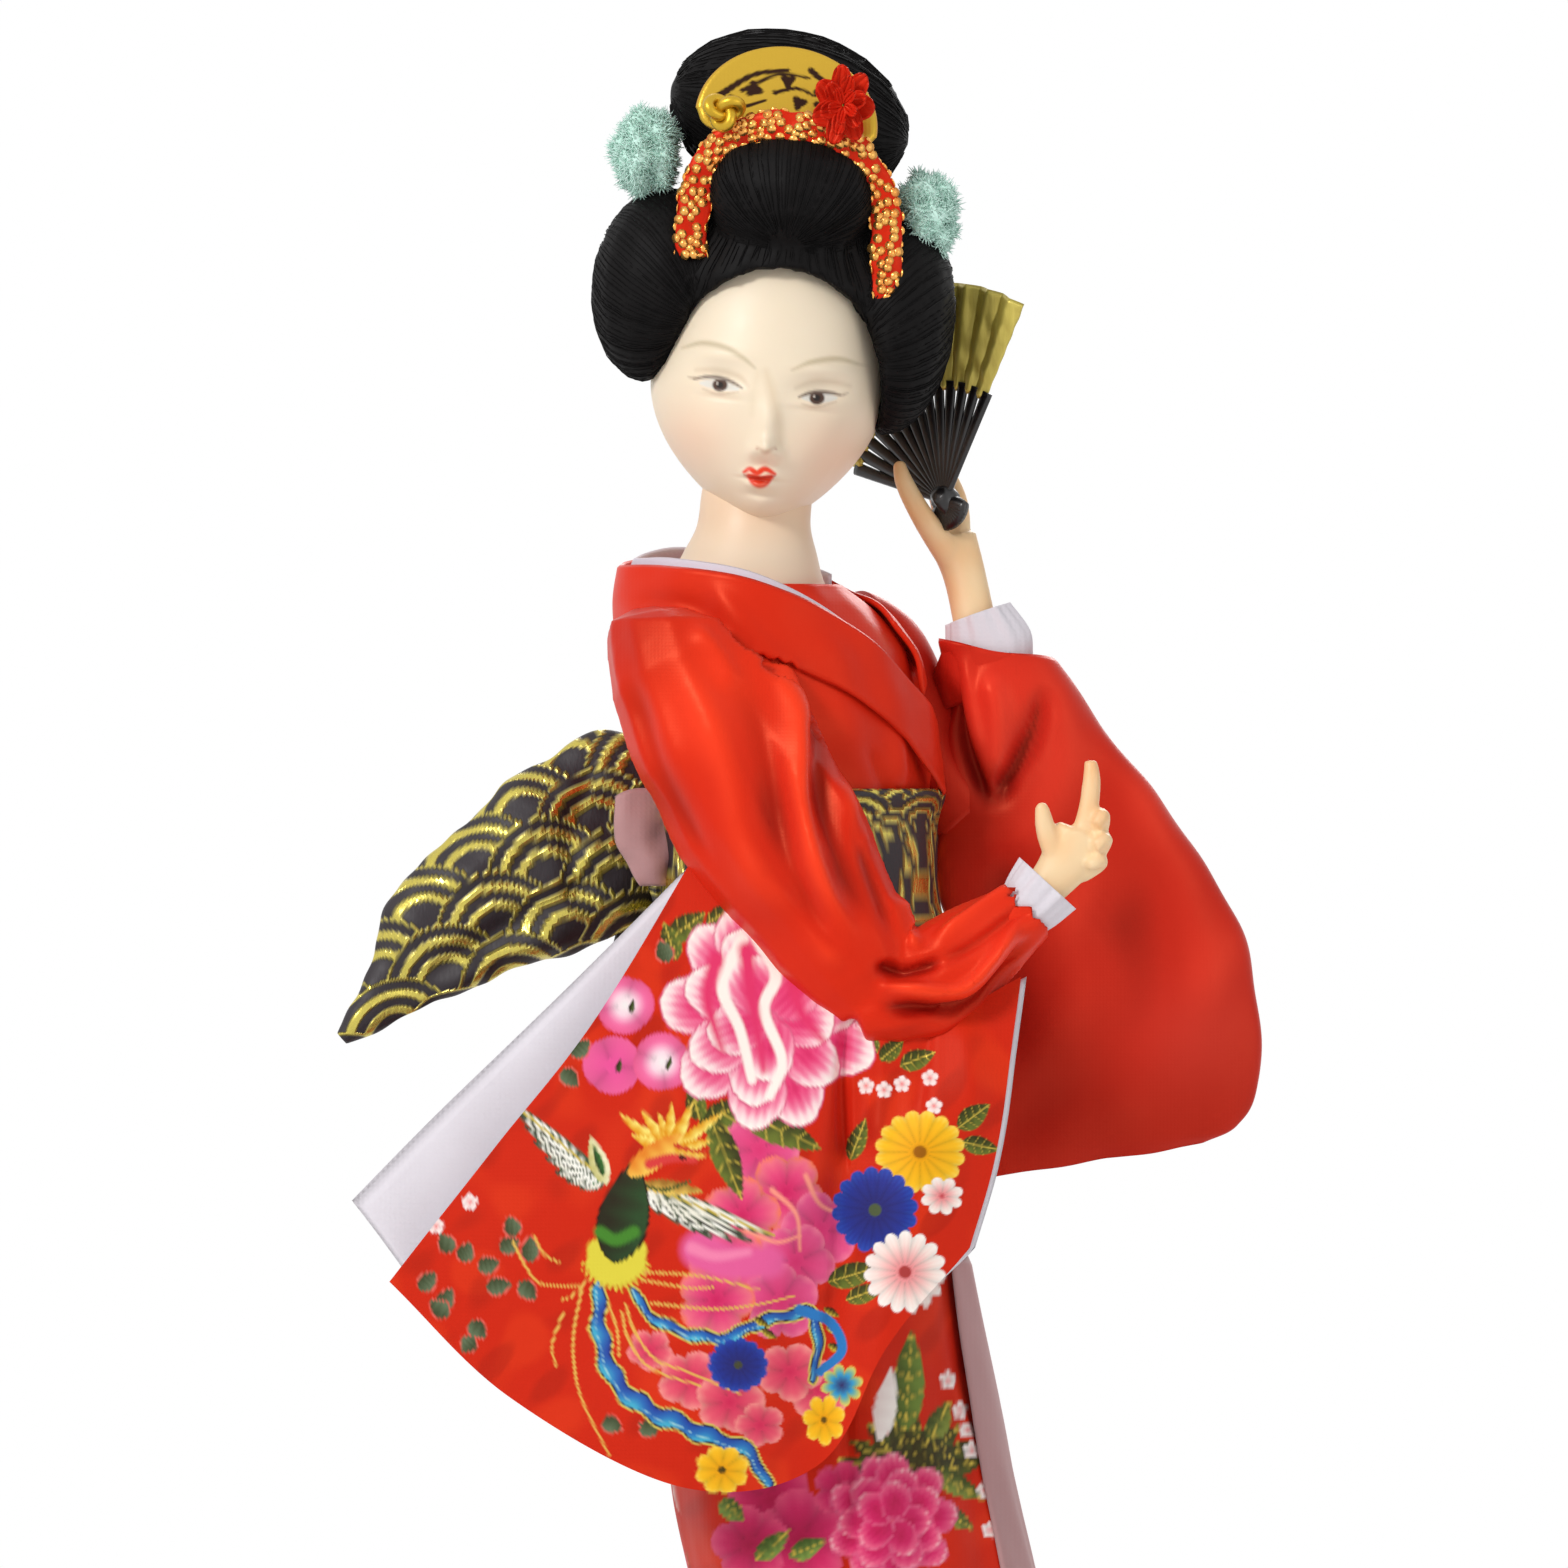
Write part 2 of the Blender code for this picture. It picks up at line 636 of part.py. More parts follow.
def face_window(helpers):
    """A tall oval bar through the front of the wig, which leaves the arch of the hairline."""
    work = bmesh.new()
    bmesh.ops.create_cone(work, cap_ends=True, segments=20, radius1=1.0, radius2=1.0, depth=1.0)
    mesh = bpy.data.meshes.new("face_window")
    work.to_mesh(mesh)
    work.free()
    for vertex in mesh.vertices:
        x, y, z = vertex.co
        low = min(0.0, y)
        vertex.co = (0.8 + x * HAIRLINE_HALF_WIDTH, -16.0 + 26.0 * z, y * HAIRLINE_RISE + low * 12.0)
    mesh.transform(Matrix.Translation(Vector(HEAD)) @ head_turn())
    mesh.transform(Matrix.Scale(MM, 4))
    face_outwards(mesh)
    return helper("face_window", mesh, helpers)


def make_hair(parts, helpers, finishes, head):
    grown = []
    lobes = {}
    window = face_window(helpers)
    turn = head_turn()
    for name, (centre, radii, segments) in HAIR_LOBES.items():
        piece = lobe(name, head_place(*centre), radii, finishes["hair"], parts, turn, segments, 9)
        if centre[2] < HAIRLINE_RISE:
            boolean(piece, "DIFFERENCE", window)
        cut_clear(piece, [head], helpers, 1.5 * FIT)
        for cutter in grown:
            boolean(piece, "DIFFERENCE", cutter)
            keep_largest(apply_modifiers(piece))
        lobes[name] = piece
        wide = [r + 1.5 * FIT for r in radii]
        cutter = lobe(
            f"{name}_grown", head_place(*centre), wide, finishes["hair"], helpers, turn, segments, 9
        )
        cutter.hide_render = True
        cutter.display_type = "WIRE"
        grown.append(cutter)
    return lobes


def make_comb(parts, finishes):
    """A half-moon comb, set upright in front of the bun."""
    half, rise, thick = 11.4, 9.8, 1.1
    curve = bpy.data.curves.new("comb", "CURVE")
    curve.dimensions = "2D"
    curve.fill_mode = "BOTH"
    curve.extrude = thick / 2 * MM
    line = curve.splines.new("POLY")
    arc = [(half * math.cos(a), rise * math.sin(a)) for a in np.linspace(0, math.pi, 19)]
    outline = arc + [(-half * 0.8, -2.4), (0, -3.6), (half * 0.8, -2.4)]
    line.points.add(len(outline) - 1)
    for point, (x, z) in zip(line.points, outline):
        point.co = (x * MM, z * MM, 0, 1)
    line.use_cyclic_u = True
    curve.materials.append(finishes["gold"])
    comb = bpy.data.objects.new("comb", curve)
    parts.objects.link(comb)
    place = head_place(0.4, -8.6, 33.2)
    comb.matrix_world = (
        Matrix.Translation(place * MM) @ head_turn() @ Matrix.Rotation(math.radians(72), 4, "X")
    )
    mesh = settled_mesh(comb)
    mesh.transform(comb.matrix_world)
    bpy.data.objects.remove(comb)
    work = bmesh.new()
    work.from_mesh(mesh)
    bmesh.ops.remove_doubles(work, verts=work.verts, dist=1e-6)
    bmesh.ops.recalc_face_normals(work, faces=work.faces)
    work.to_mesh(mesh)
    work.free()
    solid = bpy.data.objects.new("comb", mesh)
    parts.objects.link(solid)
    return smooth_shade(solid)


def strip(name, keys, count, half_width, half_thickness, finish, collection, across=8):
    """A flat band along a path."""
    keys = [(*point, half_width, half_thickness) for point in keys]
    rings = arm_rings(through(keys, count), across)
    return smooth_shade(add(name, ring_mesh(name, rings), finish, collection))


def make_hair_trim(parts, helpers, finishes, head, hair):
    comb = make_comb(parts, finishes)
    path = [
        (-11.2, -10.4, 15.2), (-11.6, -10.2, 21.0), (-10.6, -9.4, 26.6), (-6.0, -11.0, 31.4),
        (0.2, -12.0, 32.6), (6.4, -11.0, 31.2), (11.0, -9.4, 26.2), (12.6, -10.0, 20.4), (13.4, -10.4, 12.6),
    ]
    band = strip(
        "hair_ribbon", [tuple(head_place(*p)) for p in path], 15, 1.9, 0.5, finishes["ribbon"], parts, 6
    )
    knot = lobe(
        "ribbon_knot", head_place(-7.6, -12.4, 34.0), (3.0, 2.2, 2.6), finishes["ribbon"], parts,
        head_turn(), 8, 6
    )
    flower = lobe(
        "ribbon_flower", head_place(7.6, -12.6, 36.6), (4.0, 2.4, 4.8), finishes["ribbon"], parts,
        head_turn(), 8, 7
    )
    trim = [comb, band, knot, flower]
    cut_clear(comb, [hair["hair_forelock"]], helpers)
    cut_clear(band, [comb], helpers)
    for obj in (knot, flower):
        cut_clear(obj, [comb, band], helpers)
    for name in ("hair_bun", "hair_forelock", "hair_wing_right", "hair_wing_left"):
        cut_clear(hair[name], trim, helpers)
    puffs = [
        ("puff_right", (-18.8, -3.0, 26.6), (5.0, 4.6, 6.2)),
        ("puff_left", (18.4, -3.0, 23.0), (4.6, 4.4, 6.2)),
    ]
    for name, centre, radii in puffs:
        puff = lobe(name, head_place(*centre), radii, finishes["mint"], parts, head_turn(), 10, 7)
        cut_clear(puff, [hair["hair_wing_right"], hair["hair_wing_left"], hair["hair_bun"], band], helpers)


# Arms, sleeves and hands
def tube(name, keys, count, sides, finish, collection, depth_axis=(0, 1, 0)):
    keys = [(*(WAIST + np.array(key[:3])), key[3], key[4]) for key in keys]
    rings = arm_rings(through(keys, count), sides, depth_axis)
    return smooth_shade(add(name, ring_mesh(name, rings), finish, collection))


def join(obj, other_mesh, helpers):
    boolean(obj, "UNION", helper(f"joined_to_{obj.name}", other_mesh, helpers))
    return apply_modifiers(obj)


def tube_mesh(keys, count, sides):
    keys = [(*(WAIST + np.array(key[:3])), key[3], key[4]) for key in keys]
    mesh = ring_mesh("branch", arm_rings(through(keys, count), sides))
    mesh.transform(Matrix.Scale(MM, 4))
    return mesh


RIGHT_UPPER_ARM = [
    (-17.5, -10.5, 35.0, 4.5, 4.5), (-15.8, -14.5, 30.5, 9.4, 7.6), (-11.0, -18.5, 19.0, 11.4, 7.6),
    (-5.0, -21.5, 8.0, 11.4, 7.2), (2.0, -24.0, -3.0, 9.8, 6.4), (6.8, -25.0, -11.0, 8.0, 5.4),
    (9.6, -25.0, -15.6, 5.6, 4.0),
]
RIGHT_FOREARM = [
    (7.0, -26.0, -18.0, 3.0, 3.0), (11.0, -25.5, -16.4, 5.6, 4.6), (16.4, -25.0, -13.4, 6.9, 4.8),
    (23.0, -24.5, -8.4, 6.0, 4.4), (28.4, -24.0, -4.0, 4.2, 3.6),
]

RIGHT_HAND = [
    (26.6, -23.8, -5.0, 2.0, 1.8), (30.8, -23.8, -1.0, 2.8, 2.2), (33.9, -24.0, 3.4, 4.0, 2.2),
    (35.2, -24.2, 7.2, 3.2, 1.9), (35.6, -24.2, 10.4, 1.6, 1.5), (35.7, -24.0, 13.6, 1.1, 1.1),
]
RIGHT_THUMB = [
    (32.0, -24.2, 2.0, 1.6, 1.4), (30.2, -25.4, 5.6, 1.4, 1.3), (29.3, -25.8, 8.4, 0.9, 0.9),
]
RIGHT_CUFF = [
    (25.6, -23.8, -6.0, 2.8, 2.6), (28.2, -23.8, -3.8, 4.0, 3.2), (30.4, -23.8, -1.4, 4.4, 3.4),
]


def cut_by_tube(obj, keys, count, sides, helpers, gap=FIT):
    """Cuts a tube, given by its keys and grown by the gap, out of obj."""
    grown = [(*key[:3], key[3] + gap, key[4] + gap) for key in keys]
    name = f"tube_cutter_{obj.name}"
    boolean(obj, "DIFFERENCE", helper(name, tube_mesh(grown, count, sides), helpers))
    return keep_largest(apply_modifiers(obj))


def make_right_arm(parts, helpers, finishes):
    sleeve = tube("sleeve_right", RIGHT_UPPER_ARM, 9, 12, finishes["red_satin"], parts)
    forearm = tube_mesh(RIGHT_FOREARM, 6, 12)
    join(sleeve, forearm, helpers)
    hand = tube("hand_right", RIGHT_HAND, 9, 10, finishes["skin"], parts)
    join(hand, tube_mesh(RIGHT_THUMB, 4, 7), helpers)
    cuff = tube("cuff_right", RIGHT_CUFF, 3, 12, finishes["white_cloth"], parts)
    cut_by_tube(cuff, RIGHT_HAND, 9, 10, helpers)
    for stations in (dressed_torso(), dressed_waist()):
        cut_by_body(sleeve, stations, helpers)
    cut_by_collar(sleeve, helpers)
    cut_by_tube(sleeve, RIGHT_CUFF, 3, 12, helpers, 1.5 * FIT)
    cut_by_tube(sleeve, RIGHT_HAND, 9, 10, helpers, 1.5 * FIT)
    smooth_shade(hand)
    return smooth_shade(sleeve), hand, cuff


def bag_rings(rows, sides, count):
    """A flat bag: a row is left x and z, right x and z, middle y and half thickness, from the waist."""
    rows = through(rows, count)
    angle = np.linspace(0, 2 * math.pi, sides, endpoint=False)
    side = np.sign(np.cos(angle)) * np.abs(np.cos(angle)) ** 0.8
    deep = np.sign(np.sin(angle)) * np.abs(np.sin(angle)) ** 0.7
    rings = np.zeros((count, sides, 3))
    for i, (lx, lz, rx, rz, y, thick) in enumerate(rows):
        middle = np.array([(lx + rx) / 2, y, (lz + rz) / 2])
        half = np.array([(rx - lx) / 2, 0, (rz - lz) / 2])
        rings[i] = WAIST + middle + np.outer(side, half) + np.outer(deep * thick, (0, 1, 0))
    return rings


LEFT_BAG = [
    (17.5, 29.3, 31.9, 26.6, 7.0, 4.2), (18.0, 22.0, 37.5, 19.5, 7.4, 4.4),
    (18.0, 12.0, 44.8, 9.0, 8.0, 4.4),
    (19.2, 0.0, 53.5, -2.5, 8.6, 4.2), (21.5, -13.0, 57.6, -16.0, 9.0, 3.8),
    (22.5, -26.0, 58.0, -27.5, 9.0, 3.2),
    (23.2, -34.0, 55.4, -32.2, 8.8, 2.2), (24.0, -38.4, 51.0, -34.4, 8.6, 0.8),
]
LEFT_UPPER_ARM = [
    (6.0, 9.0, 32.0, 4.0, 4.5), (9.0, 11.5, 28.0, 6.4, 6.4), (13.0, 12.0, 20.0, 7.0, 6.6),
    (17.0, 11.0, 12.0, 6.4, 6.0), (21.5, 9.0, 6.0, 4.4, 4.4),
]


LEFT_HAND = [
    (24.6, 7.0, 16.0, 2.6, 2.4), (22.4, 7.4, 29.0, 2.9, 2.5), (20.4, 8.6, 37.0, 3.1, 2.5),
    (18.8, 9.8, 43.5, 3.3, 2.4), (17.2, 10.9, 49.0, 3.0, 1.8), (14.8, 12.8, 53.0, 2.0, 1.3),
]
LEFT_FINGER = [
    (19.0, 7.6, 40.0, 2.0, 1.7), (15.4, 5.6, 44.6, 1.6, 1.5), (13.0, 6.4, 49.0, 1.3, 1.2),
    (12.2, 7.4, 51.4, 0.8, 0.8),
]
LEFT_CUFF = [
    (24.2, 7.0, 24.0, 6.4, 3.6), (23.6, 7.2, 28.0, 6.0, 3.4), (22.4, 7.4, 32.5, 4.0, 3.1),
]


def make_left_arm(parts, helpers, finishes):
    hand = tube("hand_left", LEFT_HAND, 9, 10, finishes["skin"], parts)
    join(hand, tube_mesh(LEFT_FINGER, 5, 7), helpers)
    cuff = tube("cuff_left", LEFT_CUFF, 3, 12, finishes["white_cloth"], parts)
    cut_by_tube(cuff, LEFT_HAND, 9, 10, helpers)
    rings = bag_rings(LEFT_BAG, 14, 9)
    sleeve = smooth_shade(
        add("sleeve_left", ring_mesh("sleeve_left", rings), finishes["red_satin"], parts)
    )
    join(sleeve, tube_mesh(LEFT_UPPER_ARM, 5, 10), helpers)
    for stations in (dressed_torso(), dressed_waist()):
        cut_by_body(sleeve, stations, helpers)
    cut_by_collar(sleeve, helpers)
    cut_by_tube(sleeve, LEFT_CUFF, 3, 12, helpers, 1.5 * FIT)
    cut_by_tube(sleeve, LEFT_HAND, 9, 10, helpers, 1.5 * FIT)
    smooth_shade(hand)
    return smooth_shade(sleeve), hand, cuff


def clear_of_left_sleeve(obj, helpers):
    cut_by_tube(obj, LEFT_UPPER_ARM, 5, 10, helpers)
    bag = [(lx - FIT, lz, rx + FIT, rz, y, thick + FIT) for lx, lz, rx, rz, y, thick in LEFT_BAG]
    mesh = ring_mesh("bag_cutter", bag_rings(bag, 14, 9))
    mesh.transform(Matrix.Scale(MM, 4))
    boolean(obj, "DIFFERENCE", helper("bag_cutter", mesh, helpers))
    return keep_largest(apply_modifiers(obj))


# Fan
FAN_PIVOT = WAIST + np.array([18.2, 6.4, 46.6])
FAN_TURN = math.radians(40)


def fan_grid(inner, outer, first, last, steps, rows, depth, lift=0.0):
    """A pleated sector: each radial line is a ridge or a valley in turn."""
    right = np.array([math.cos(FAN_TURN), -math.sin(FAN_TURN), 0.0])
    front = np.array([-math.sin(FAN_TURN), -math.cos(FAN_TURN), 0.0])
    up = np.array([0.0, 0.0, 1.0])
    grid = np.zeros((rows, steps, 3))
    for i, r in enumerate(np.linspace(inner, outer, rows)):
        for j, a in enumerate(np.linspace(first, last, steps)):
            fold = depth * (r / outer) * (1 if j % 2 else -1)
            grid[i, j] = FAN_PIVOT + r * (math.cos(a) * right + math.sin(a) * up) + (fold + lift) * front
    return grid


def make_fan(parts, helpers, finishes, hand):
    start = math.radians(63)
    steps = 2 * FAN_PLEATS + 1
    paper = fan_grid(FAN_STICK_RADIUS + FIT, FAN_RADIUS, start, start + FAN_OPENING, steps, 2, 0.55)
    leaf = sheet("fan_leaf", paper, FAN_PAPER, finishes["gold"], parts)
    ribs = fan_grid(FAN_STICK_START, FAN_STICK_RADIUS, start, start + FAN_OPENING, steps, 2, 0.5)
    sticks = sheet("fan_sticks", ribs, FAN_PAPER, finishes["black"], parts)
    grip = lobe("fan_grip", FAN_PIVOT, (3.0, 2.1, 3.0), finishes["black"], parts, segments=8, rings=6)
    cut_clear(grip, [hand], helpers)
    cut_clear(sticks, [hand], helpers)
    cut_clear(leaf, [hand], helpers)


# Obi bow
def mirror_in_body(stations, share):
    """The same stations on the doll's other side, with the reach shortened."""
    out = []
    for x, y, z, wide, deep in stations:
        point = np.array([x, y, 0.0])
        aside = point @ RIGHT
        point = point - 2 * aside * RIGHT
        out.append((point[0], point[1], z, wide * share, deep))
    return out


BOW_WING = [
    (-18.0, 8.0, 6.4, 8.0, 3.0), (-22.8, 6.0, 6.4, 11.6, 4.2), (-30.0, 4.0, 1.8, 12.0, 4.6),
    (-37.6, 2.2, -2.6, 10.2, 4.3), (-44.6, 0.6, -8.0, 8.2, 3.6), (-50.0, -0.6, -13.6, 5.5, 2.8),
    (-54.4, -1.6, -18.0, 2.8, 1.9), (-57.2, -2.0, -20.6, 0.8, 0.8),
]


def make_bow(parts, helpers, finishes):
    knot = lobe(
        "bow_knot", WAIST - 20.6 * FORWARD + np.array([0, 0, 3.0]), (4.6, 5.4, 9.6), finishes["brocade"],
        parts, Matrix.Rotation(BODY_YAW, 4, "Z"), 10, 8, squared(0.8)
    )
    cut_by_body(knot, dressed_waist(), helpers)
    cut_by_body(knot, dressed_torso(), helpers)
    near = tube("bow_wing_right", BOW_WING, 10, 12, finishes["brocade"], parts)
    mirrored = mirror_in_body(BOW_WING, 0.9)
    far = tube("bow_wing_left", mirrored, 10, 12, finishes["brocade"], parts, tuple(FORWARD))
    for wing in (near, far):
        cut_by_body(wing, dressed_waist(), helpers)
        cut_by_body(wing, dressed_torso(), helpers)
        cut_by_collar(wing, helpers)
        cut_clear(wing, [knot], helpers)
    tails = []
    for name, aside in (("obi_tail_right", 5.4), ("obi_tail_left", -5.4)):
        top = WAIST - 21.5 * FORWARD + aside * RIGHT
        rows = []
        for drop, back, half in ((6.5, 0.0, 4.6), (18.0, 2.0, 5.0), (30.0, 3.2, 5.2), (40.0, 3.6, 5.2)):
            middle = top - np.array([0, 0, drop]) - back * FORWARD
            rows.append([middle - half * RIGHT, middle - 0.8 * FORWARD, middle + half * RIGHT])
        tails.append(sheet(name, net(rows, 5, 4), OBI_THICKNESS, finishes["brocade"], parts))
        cut_clear(tails[-1], [knot, near, far], helpers)
    return knot, near, far, tails


# Hanging printed sleeve
SLEEVE_FRONT = [
    [
        (-13.5, -22, 1.5), (-3.0, -24, -6.0), (4.4, -26, -12.6),
        (9.6, -26.5, -16.0), (18.0, -26, -17.0), (27.2, -25.5, -12.6),
    ],
    [
        (-25.3, -26, -18), (-13.8, -28, -28.4), (0.0, -30.5, -36.5),
        (5.6, -27, -37.1), (15.6, -29.5, -30.9), (25.6, -28, -24),
    ],
    [
        (-38.0, -26, -34.1), (-24.4, -28.5, -47.7), (-7.5, -31, -57.1),
        (4.4, -27, -54.6), (13.1, -29.5, -43.4), (23.8, -28, -35.9),
    ],
    [
        (-50.6, -25, -50.2), (-35.0, -28, -65.9), (-13.8, -30.5, -76.7),
        (2.5, -28, -73.4), (11.0, -29, -57.5), (20.8, -28, -45.9),
    ],
]
SLEEVE_BACK = [
    [
        (-14.2, -20, 0.5), (-3.5, -21, -7.0), (4.0, -21.6, -13.4),
        (9.0, -22, -16.6), (17.0, -22, -17.6), (25.6, -22, -13.6),
    ],
    [
        (-29.5, -21, -14.8), (-16.0, -22, -28.0), (-1.0, -22.6, -36.0),
        (5.0, -22.4, -36.6), (14.4, -22.6, -30.6), (24.0, -22.6, -24),
    ],
    [
        (-43.0, -20, -27.8), (-26.5, -22, -47.0), (-9.0, -23, -56.4),
        (3.6, -22.6, -54.0), (12.0, -22.8, -43.0), (22.4, -22.8, -35.6),
    ],
    [
        (-55.4, -19, -40.4), (-37.0, -22.4, -64.5), (-14.6, -23.4, -76.0),
        (2.0, -23, -72.8), (10.0, -23, -57.0), (19.6, -23, -45.6),
    ],
]


def make_hanging_sleeve(parts, helpers, finishes):
    front = net([[WAIST + np.array(p) for p in row] for row in SLEEVE_FRONT], 8, 14)
    back = net([[WAIST + np.array(p) for p in row] for row in SLEEVE_BACK], 6, 9)
    face = sheet("sleeve_right_front", front, CLOTH, finishes["print"], parts)
    lining = sheet("sleeve_right_back", back, CLOTH, finishes["white_cloth"], parts)
    for panel in (face, lining):
        cut_by_tube(panel, RIGHT_UPPER_ARM, 9, 12, helpers, 1.5 * FIT)
        cut_by_tube(panel, RIGHT_FOREARM, 6, 12, helpers, 1.5 * FIT)
        smooth_shade(panel)
    return face, lining


def main():
    for obj in list(bpy.data.objects):
        bpy.data.objects.remove(obj, do_unlink=True)
    parts = new_collection("geisha_doll")
    helpers = new_collection("cutters")
    helpers.hide_render = True
    finishes = {
        "lacquer": finish_of("lacquer", (0.012, 0.011, 0.012), 0.12),
        "steel": finish_of("steel", (0.55, 0.55, 0.56), 0.35, 1.0),
        "straw": finish_of("straw", (0.62, 0.52, 0.34), 0.9),
        "red_satin": finish_of("red_satin", (0.76, 0.035, 0.025), 0.38),
        "print": finish_of("print", (0.74, 0.07, 0.05), 0.5),
        "brocade": finish_of("brocade", (0.05, 0.035, 0.04), 0.4),
        "white_cloth": finish_of("white_cloth", (0.82, 0.79, 0.82), 0.6),
        "lining": finish_of("lining", (0.5, 0.33, 0.32), 0.6),
        "skin": finish_of("skin", (0.86, 0.76, 0.66), 0.35),
        "hair": finish_of("hair", (0.01, 0.009, 0.01), 0.6),
        "gold": finish_of("gold", (0.72, 0.56, 0.2), 0.35, 0.7),
        "ribbon": finish_of("ribbon", (0.8, 0.06, 0.03), 0.4),
        "mint": finish_of("mint", (0.45, 0.75, 0.66), 0.5),
        "black": finish_of("black", (0.012, 0.011, 0.012), 0.5),
    }
    board, wires = make_board(parts, helpers, finishes)
    make_body(parts, helpers, finishes, wires)
    bodice = make_bodice(parts, finishes)
    skirt = make_skirt(parts, finishes)
    lining = make_skirt_lining(parts, finishes)
    cut_clear(lining, [skirt], helpers)
    obi = make_obi(parts, finishes)
    collar, under = make_collars(parts, helpers, finishes)
    head, neck_mesh = make_head(parts, finishes)
    smooth_shade(join(head, neck_mesh, helpers), 50)
    cut_clear(under, [head], helpers)
    cut_clear(collar, [under], helpers, 1.5 * FIT)
    hair = make_hair(parts, helpers, finishes, head)
    make_hair_trim(parts, helpers, finishes, head, hair)
    sleeve, hand, cuff = make_right_arm(parts, helpers, finishes)
    far_sleeve, far_hand, far_cuff = make_left_arm(parts, helpers, finishes)
    clear_of_left_sleeve(collar, helpers)
    make_fan(parts, helpers, finishes, far_hand)
    make_bow(parts, helpers, finishes)
    make_hanging_sleeve(parts, helpers, finishes)


main()
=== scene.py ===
# %% [markdown]
# # A dressed geisha doll, seen as its finishes make it
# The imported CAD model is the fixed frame: it says where the head, the arms and every garment are. This
# lesson dresses it. Cloth is made as fine grids of points, because a print, a crease or a seam has to
# follow the cloth, and a grid keeps the order of its threads. What repeats, such as hair, fluff and
# sequins, comes from Geometry Nodes.

# %% Load the frame
import math

import bmesh
import bpy
import numpy as np
from mathutils import Matrix, Vector
from mathutils.bvhtree import BVHTree


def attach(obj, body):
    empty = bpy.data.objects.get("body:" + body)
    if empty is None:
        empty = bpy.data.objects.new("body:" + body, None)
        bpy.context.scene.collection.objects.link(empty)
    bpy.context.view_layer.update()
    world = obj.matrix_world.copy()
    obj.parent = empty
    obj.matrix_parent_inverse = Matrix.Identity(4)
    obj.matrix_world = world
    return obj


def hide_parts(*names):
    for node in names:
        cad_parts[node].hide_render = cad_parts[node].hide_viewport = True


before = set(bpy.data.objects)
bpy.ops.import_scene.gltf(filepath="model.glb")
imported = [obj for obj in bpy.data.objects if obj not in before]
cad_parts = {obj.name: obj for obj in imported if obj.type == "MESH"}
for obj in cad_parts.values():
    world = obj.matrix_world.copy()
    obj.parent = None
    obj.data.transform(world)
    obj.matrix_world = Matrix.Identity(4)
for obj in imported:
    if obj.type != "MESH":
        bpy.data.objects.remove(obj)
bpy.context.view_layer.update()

MM = 0.001

# %% [markdown]
# ## Camera
# The photograph was taken level with the doll's neck and from well away, so the lens is long. One
# millimetre is eight of its pixels. The same numbers tell later cells where a point of the doll falls in
# the picture, so that a crease or a flower can be placed by where it was seen.

# %% Camera
PIXELS = 1568
PIXELS_PER_MM = 8.0
EYE = 1550.0
AIM_X, AIM_Z = -9.5, 211.1
SENSOR = 36

camera = bpy.data.objects.new("photo_camera", bpy.data.cameras.new("photo_camera"))
bpy.context.scene.collection.objects.link(camera)
camera.location = (AIM_X * MM, -EYE * MM, AIM_Z * MM)
camera.rotation_euler = (math.pi / 2, 0, 0)
camera.data.sensor_width = SENSOR
camera.data.lens = SENSOR * EYE / (PIXELS / PIXELS_PER_MM)
bpy.context.scene.camera = camera


def seen(points):
    """Where points, in millimetres, fall in the photograph, in its pixels."""
    near = PIXELS_PER_MM * EYE / (EYE + points[:, 1])
    return PIXELS / 2 + (points[:, 0] - AIM_X) * near, PIXELS / 2 - (points[:, 2] - AIM_Z) * near


print("lens", round(camera.data.lens, 1))

# %% [markdown]
# ## Light and floor
# A studio product shot: a broad soft lamp high on the left, a weaker one on the right, and a pale world
# that fills the shadows. The world is plain white only for the camera and for reflections, so the
# background is white while the light on the doll stays at a level at which a colour renders about as it is
# written.

# %% Light and floor
view = bpy.context.scene.view_settings
view.view_transform = "Standard"


def lamp(name, place, aim, size, watts):
    data = bpy.data.lights.new(name, "AREA")
    data.size, data.energy = size, watts
    made = bpy.data.objects.new(name, data)
    bpy.context.scene.collection.objects.link(made)
    made.location = place
    made.rotation_euler = (Vector(place) - Vector(aim)).to_track_quat("Z", "Y").to_euler()
    return made


lamp("key_lamp", (-0.8, -0.95, 0.95), (0, 0, 0.2), 0.32, 11.0)
lamp("fill_lamp", (0.9, -0.9, 0.35), (0, 0, 0.2), 0.7, 2.0)
lamp("back_lamp", (0.2, 1.0, 0.8), (0, 0, 0.2), 0.6, 5.0)


def white_to_the_camera(tree, shader_socket, white_socket):
    """A mix of two shaders that is plain white where the camera, a mirror or glass looks at it."""
    path = tree.nodes.new("ShaderNodeLightPath")
    looking = path.outputs["Is Camera Ray"]
    for ray in ("Is Glossy Ray", "Is Transmission Ray"):
        either = tree.nodes.new("ShaderNodeMath")
        either.operation = "MAXIMUM"
        tree.links.new(looking, either.inputs[0])
        tree.links.new(path.outputs[ray], either.inputs[1])
        looking = either.outputs[0]
    mix = tree.nodes.new("ShaderNodeMixShader")
    tree.links.new(looking, mix.inputs[0])
    tree.links.new(shader_socket, mix.inputs[1])
    tree.links.new(white_socket, mix.inputs[2])
    return mix


world = bpy.data.worlds.new("studio")
bpy.context.scene.world = world
world.use_nodes = True
soft = world.node_tree.nodes["Background"]
soft.inputs["Color"].default_value = (0.96, 0.98, 1.0, 1)
soft.inputs["Strength"].default_value = 0.46
white = world.node_tree.nodes.new("ShaderNodeBackground")
white.inputs["Color"].default_value = (1, 1, 1, 1)
mixed = white_to_the_camera(world.node_tree, soft.outputs[0], white.outputs[0])
world.node_tree.links.new(mixed.outputs[0], world.node_tree.nodes["World Output"].inputs["Surface"])

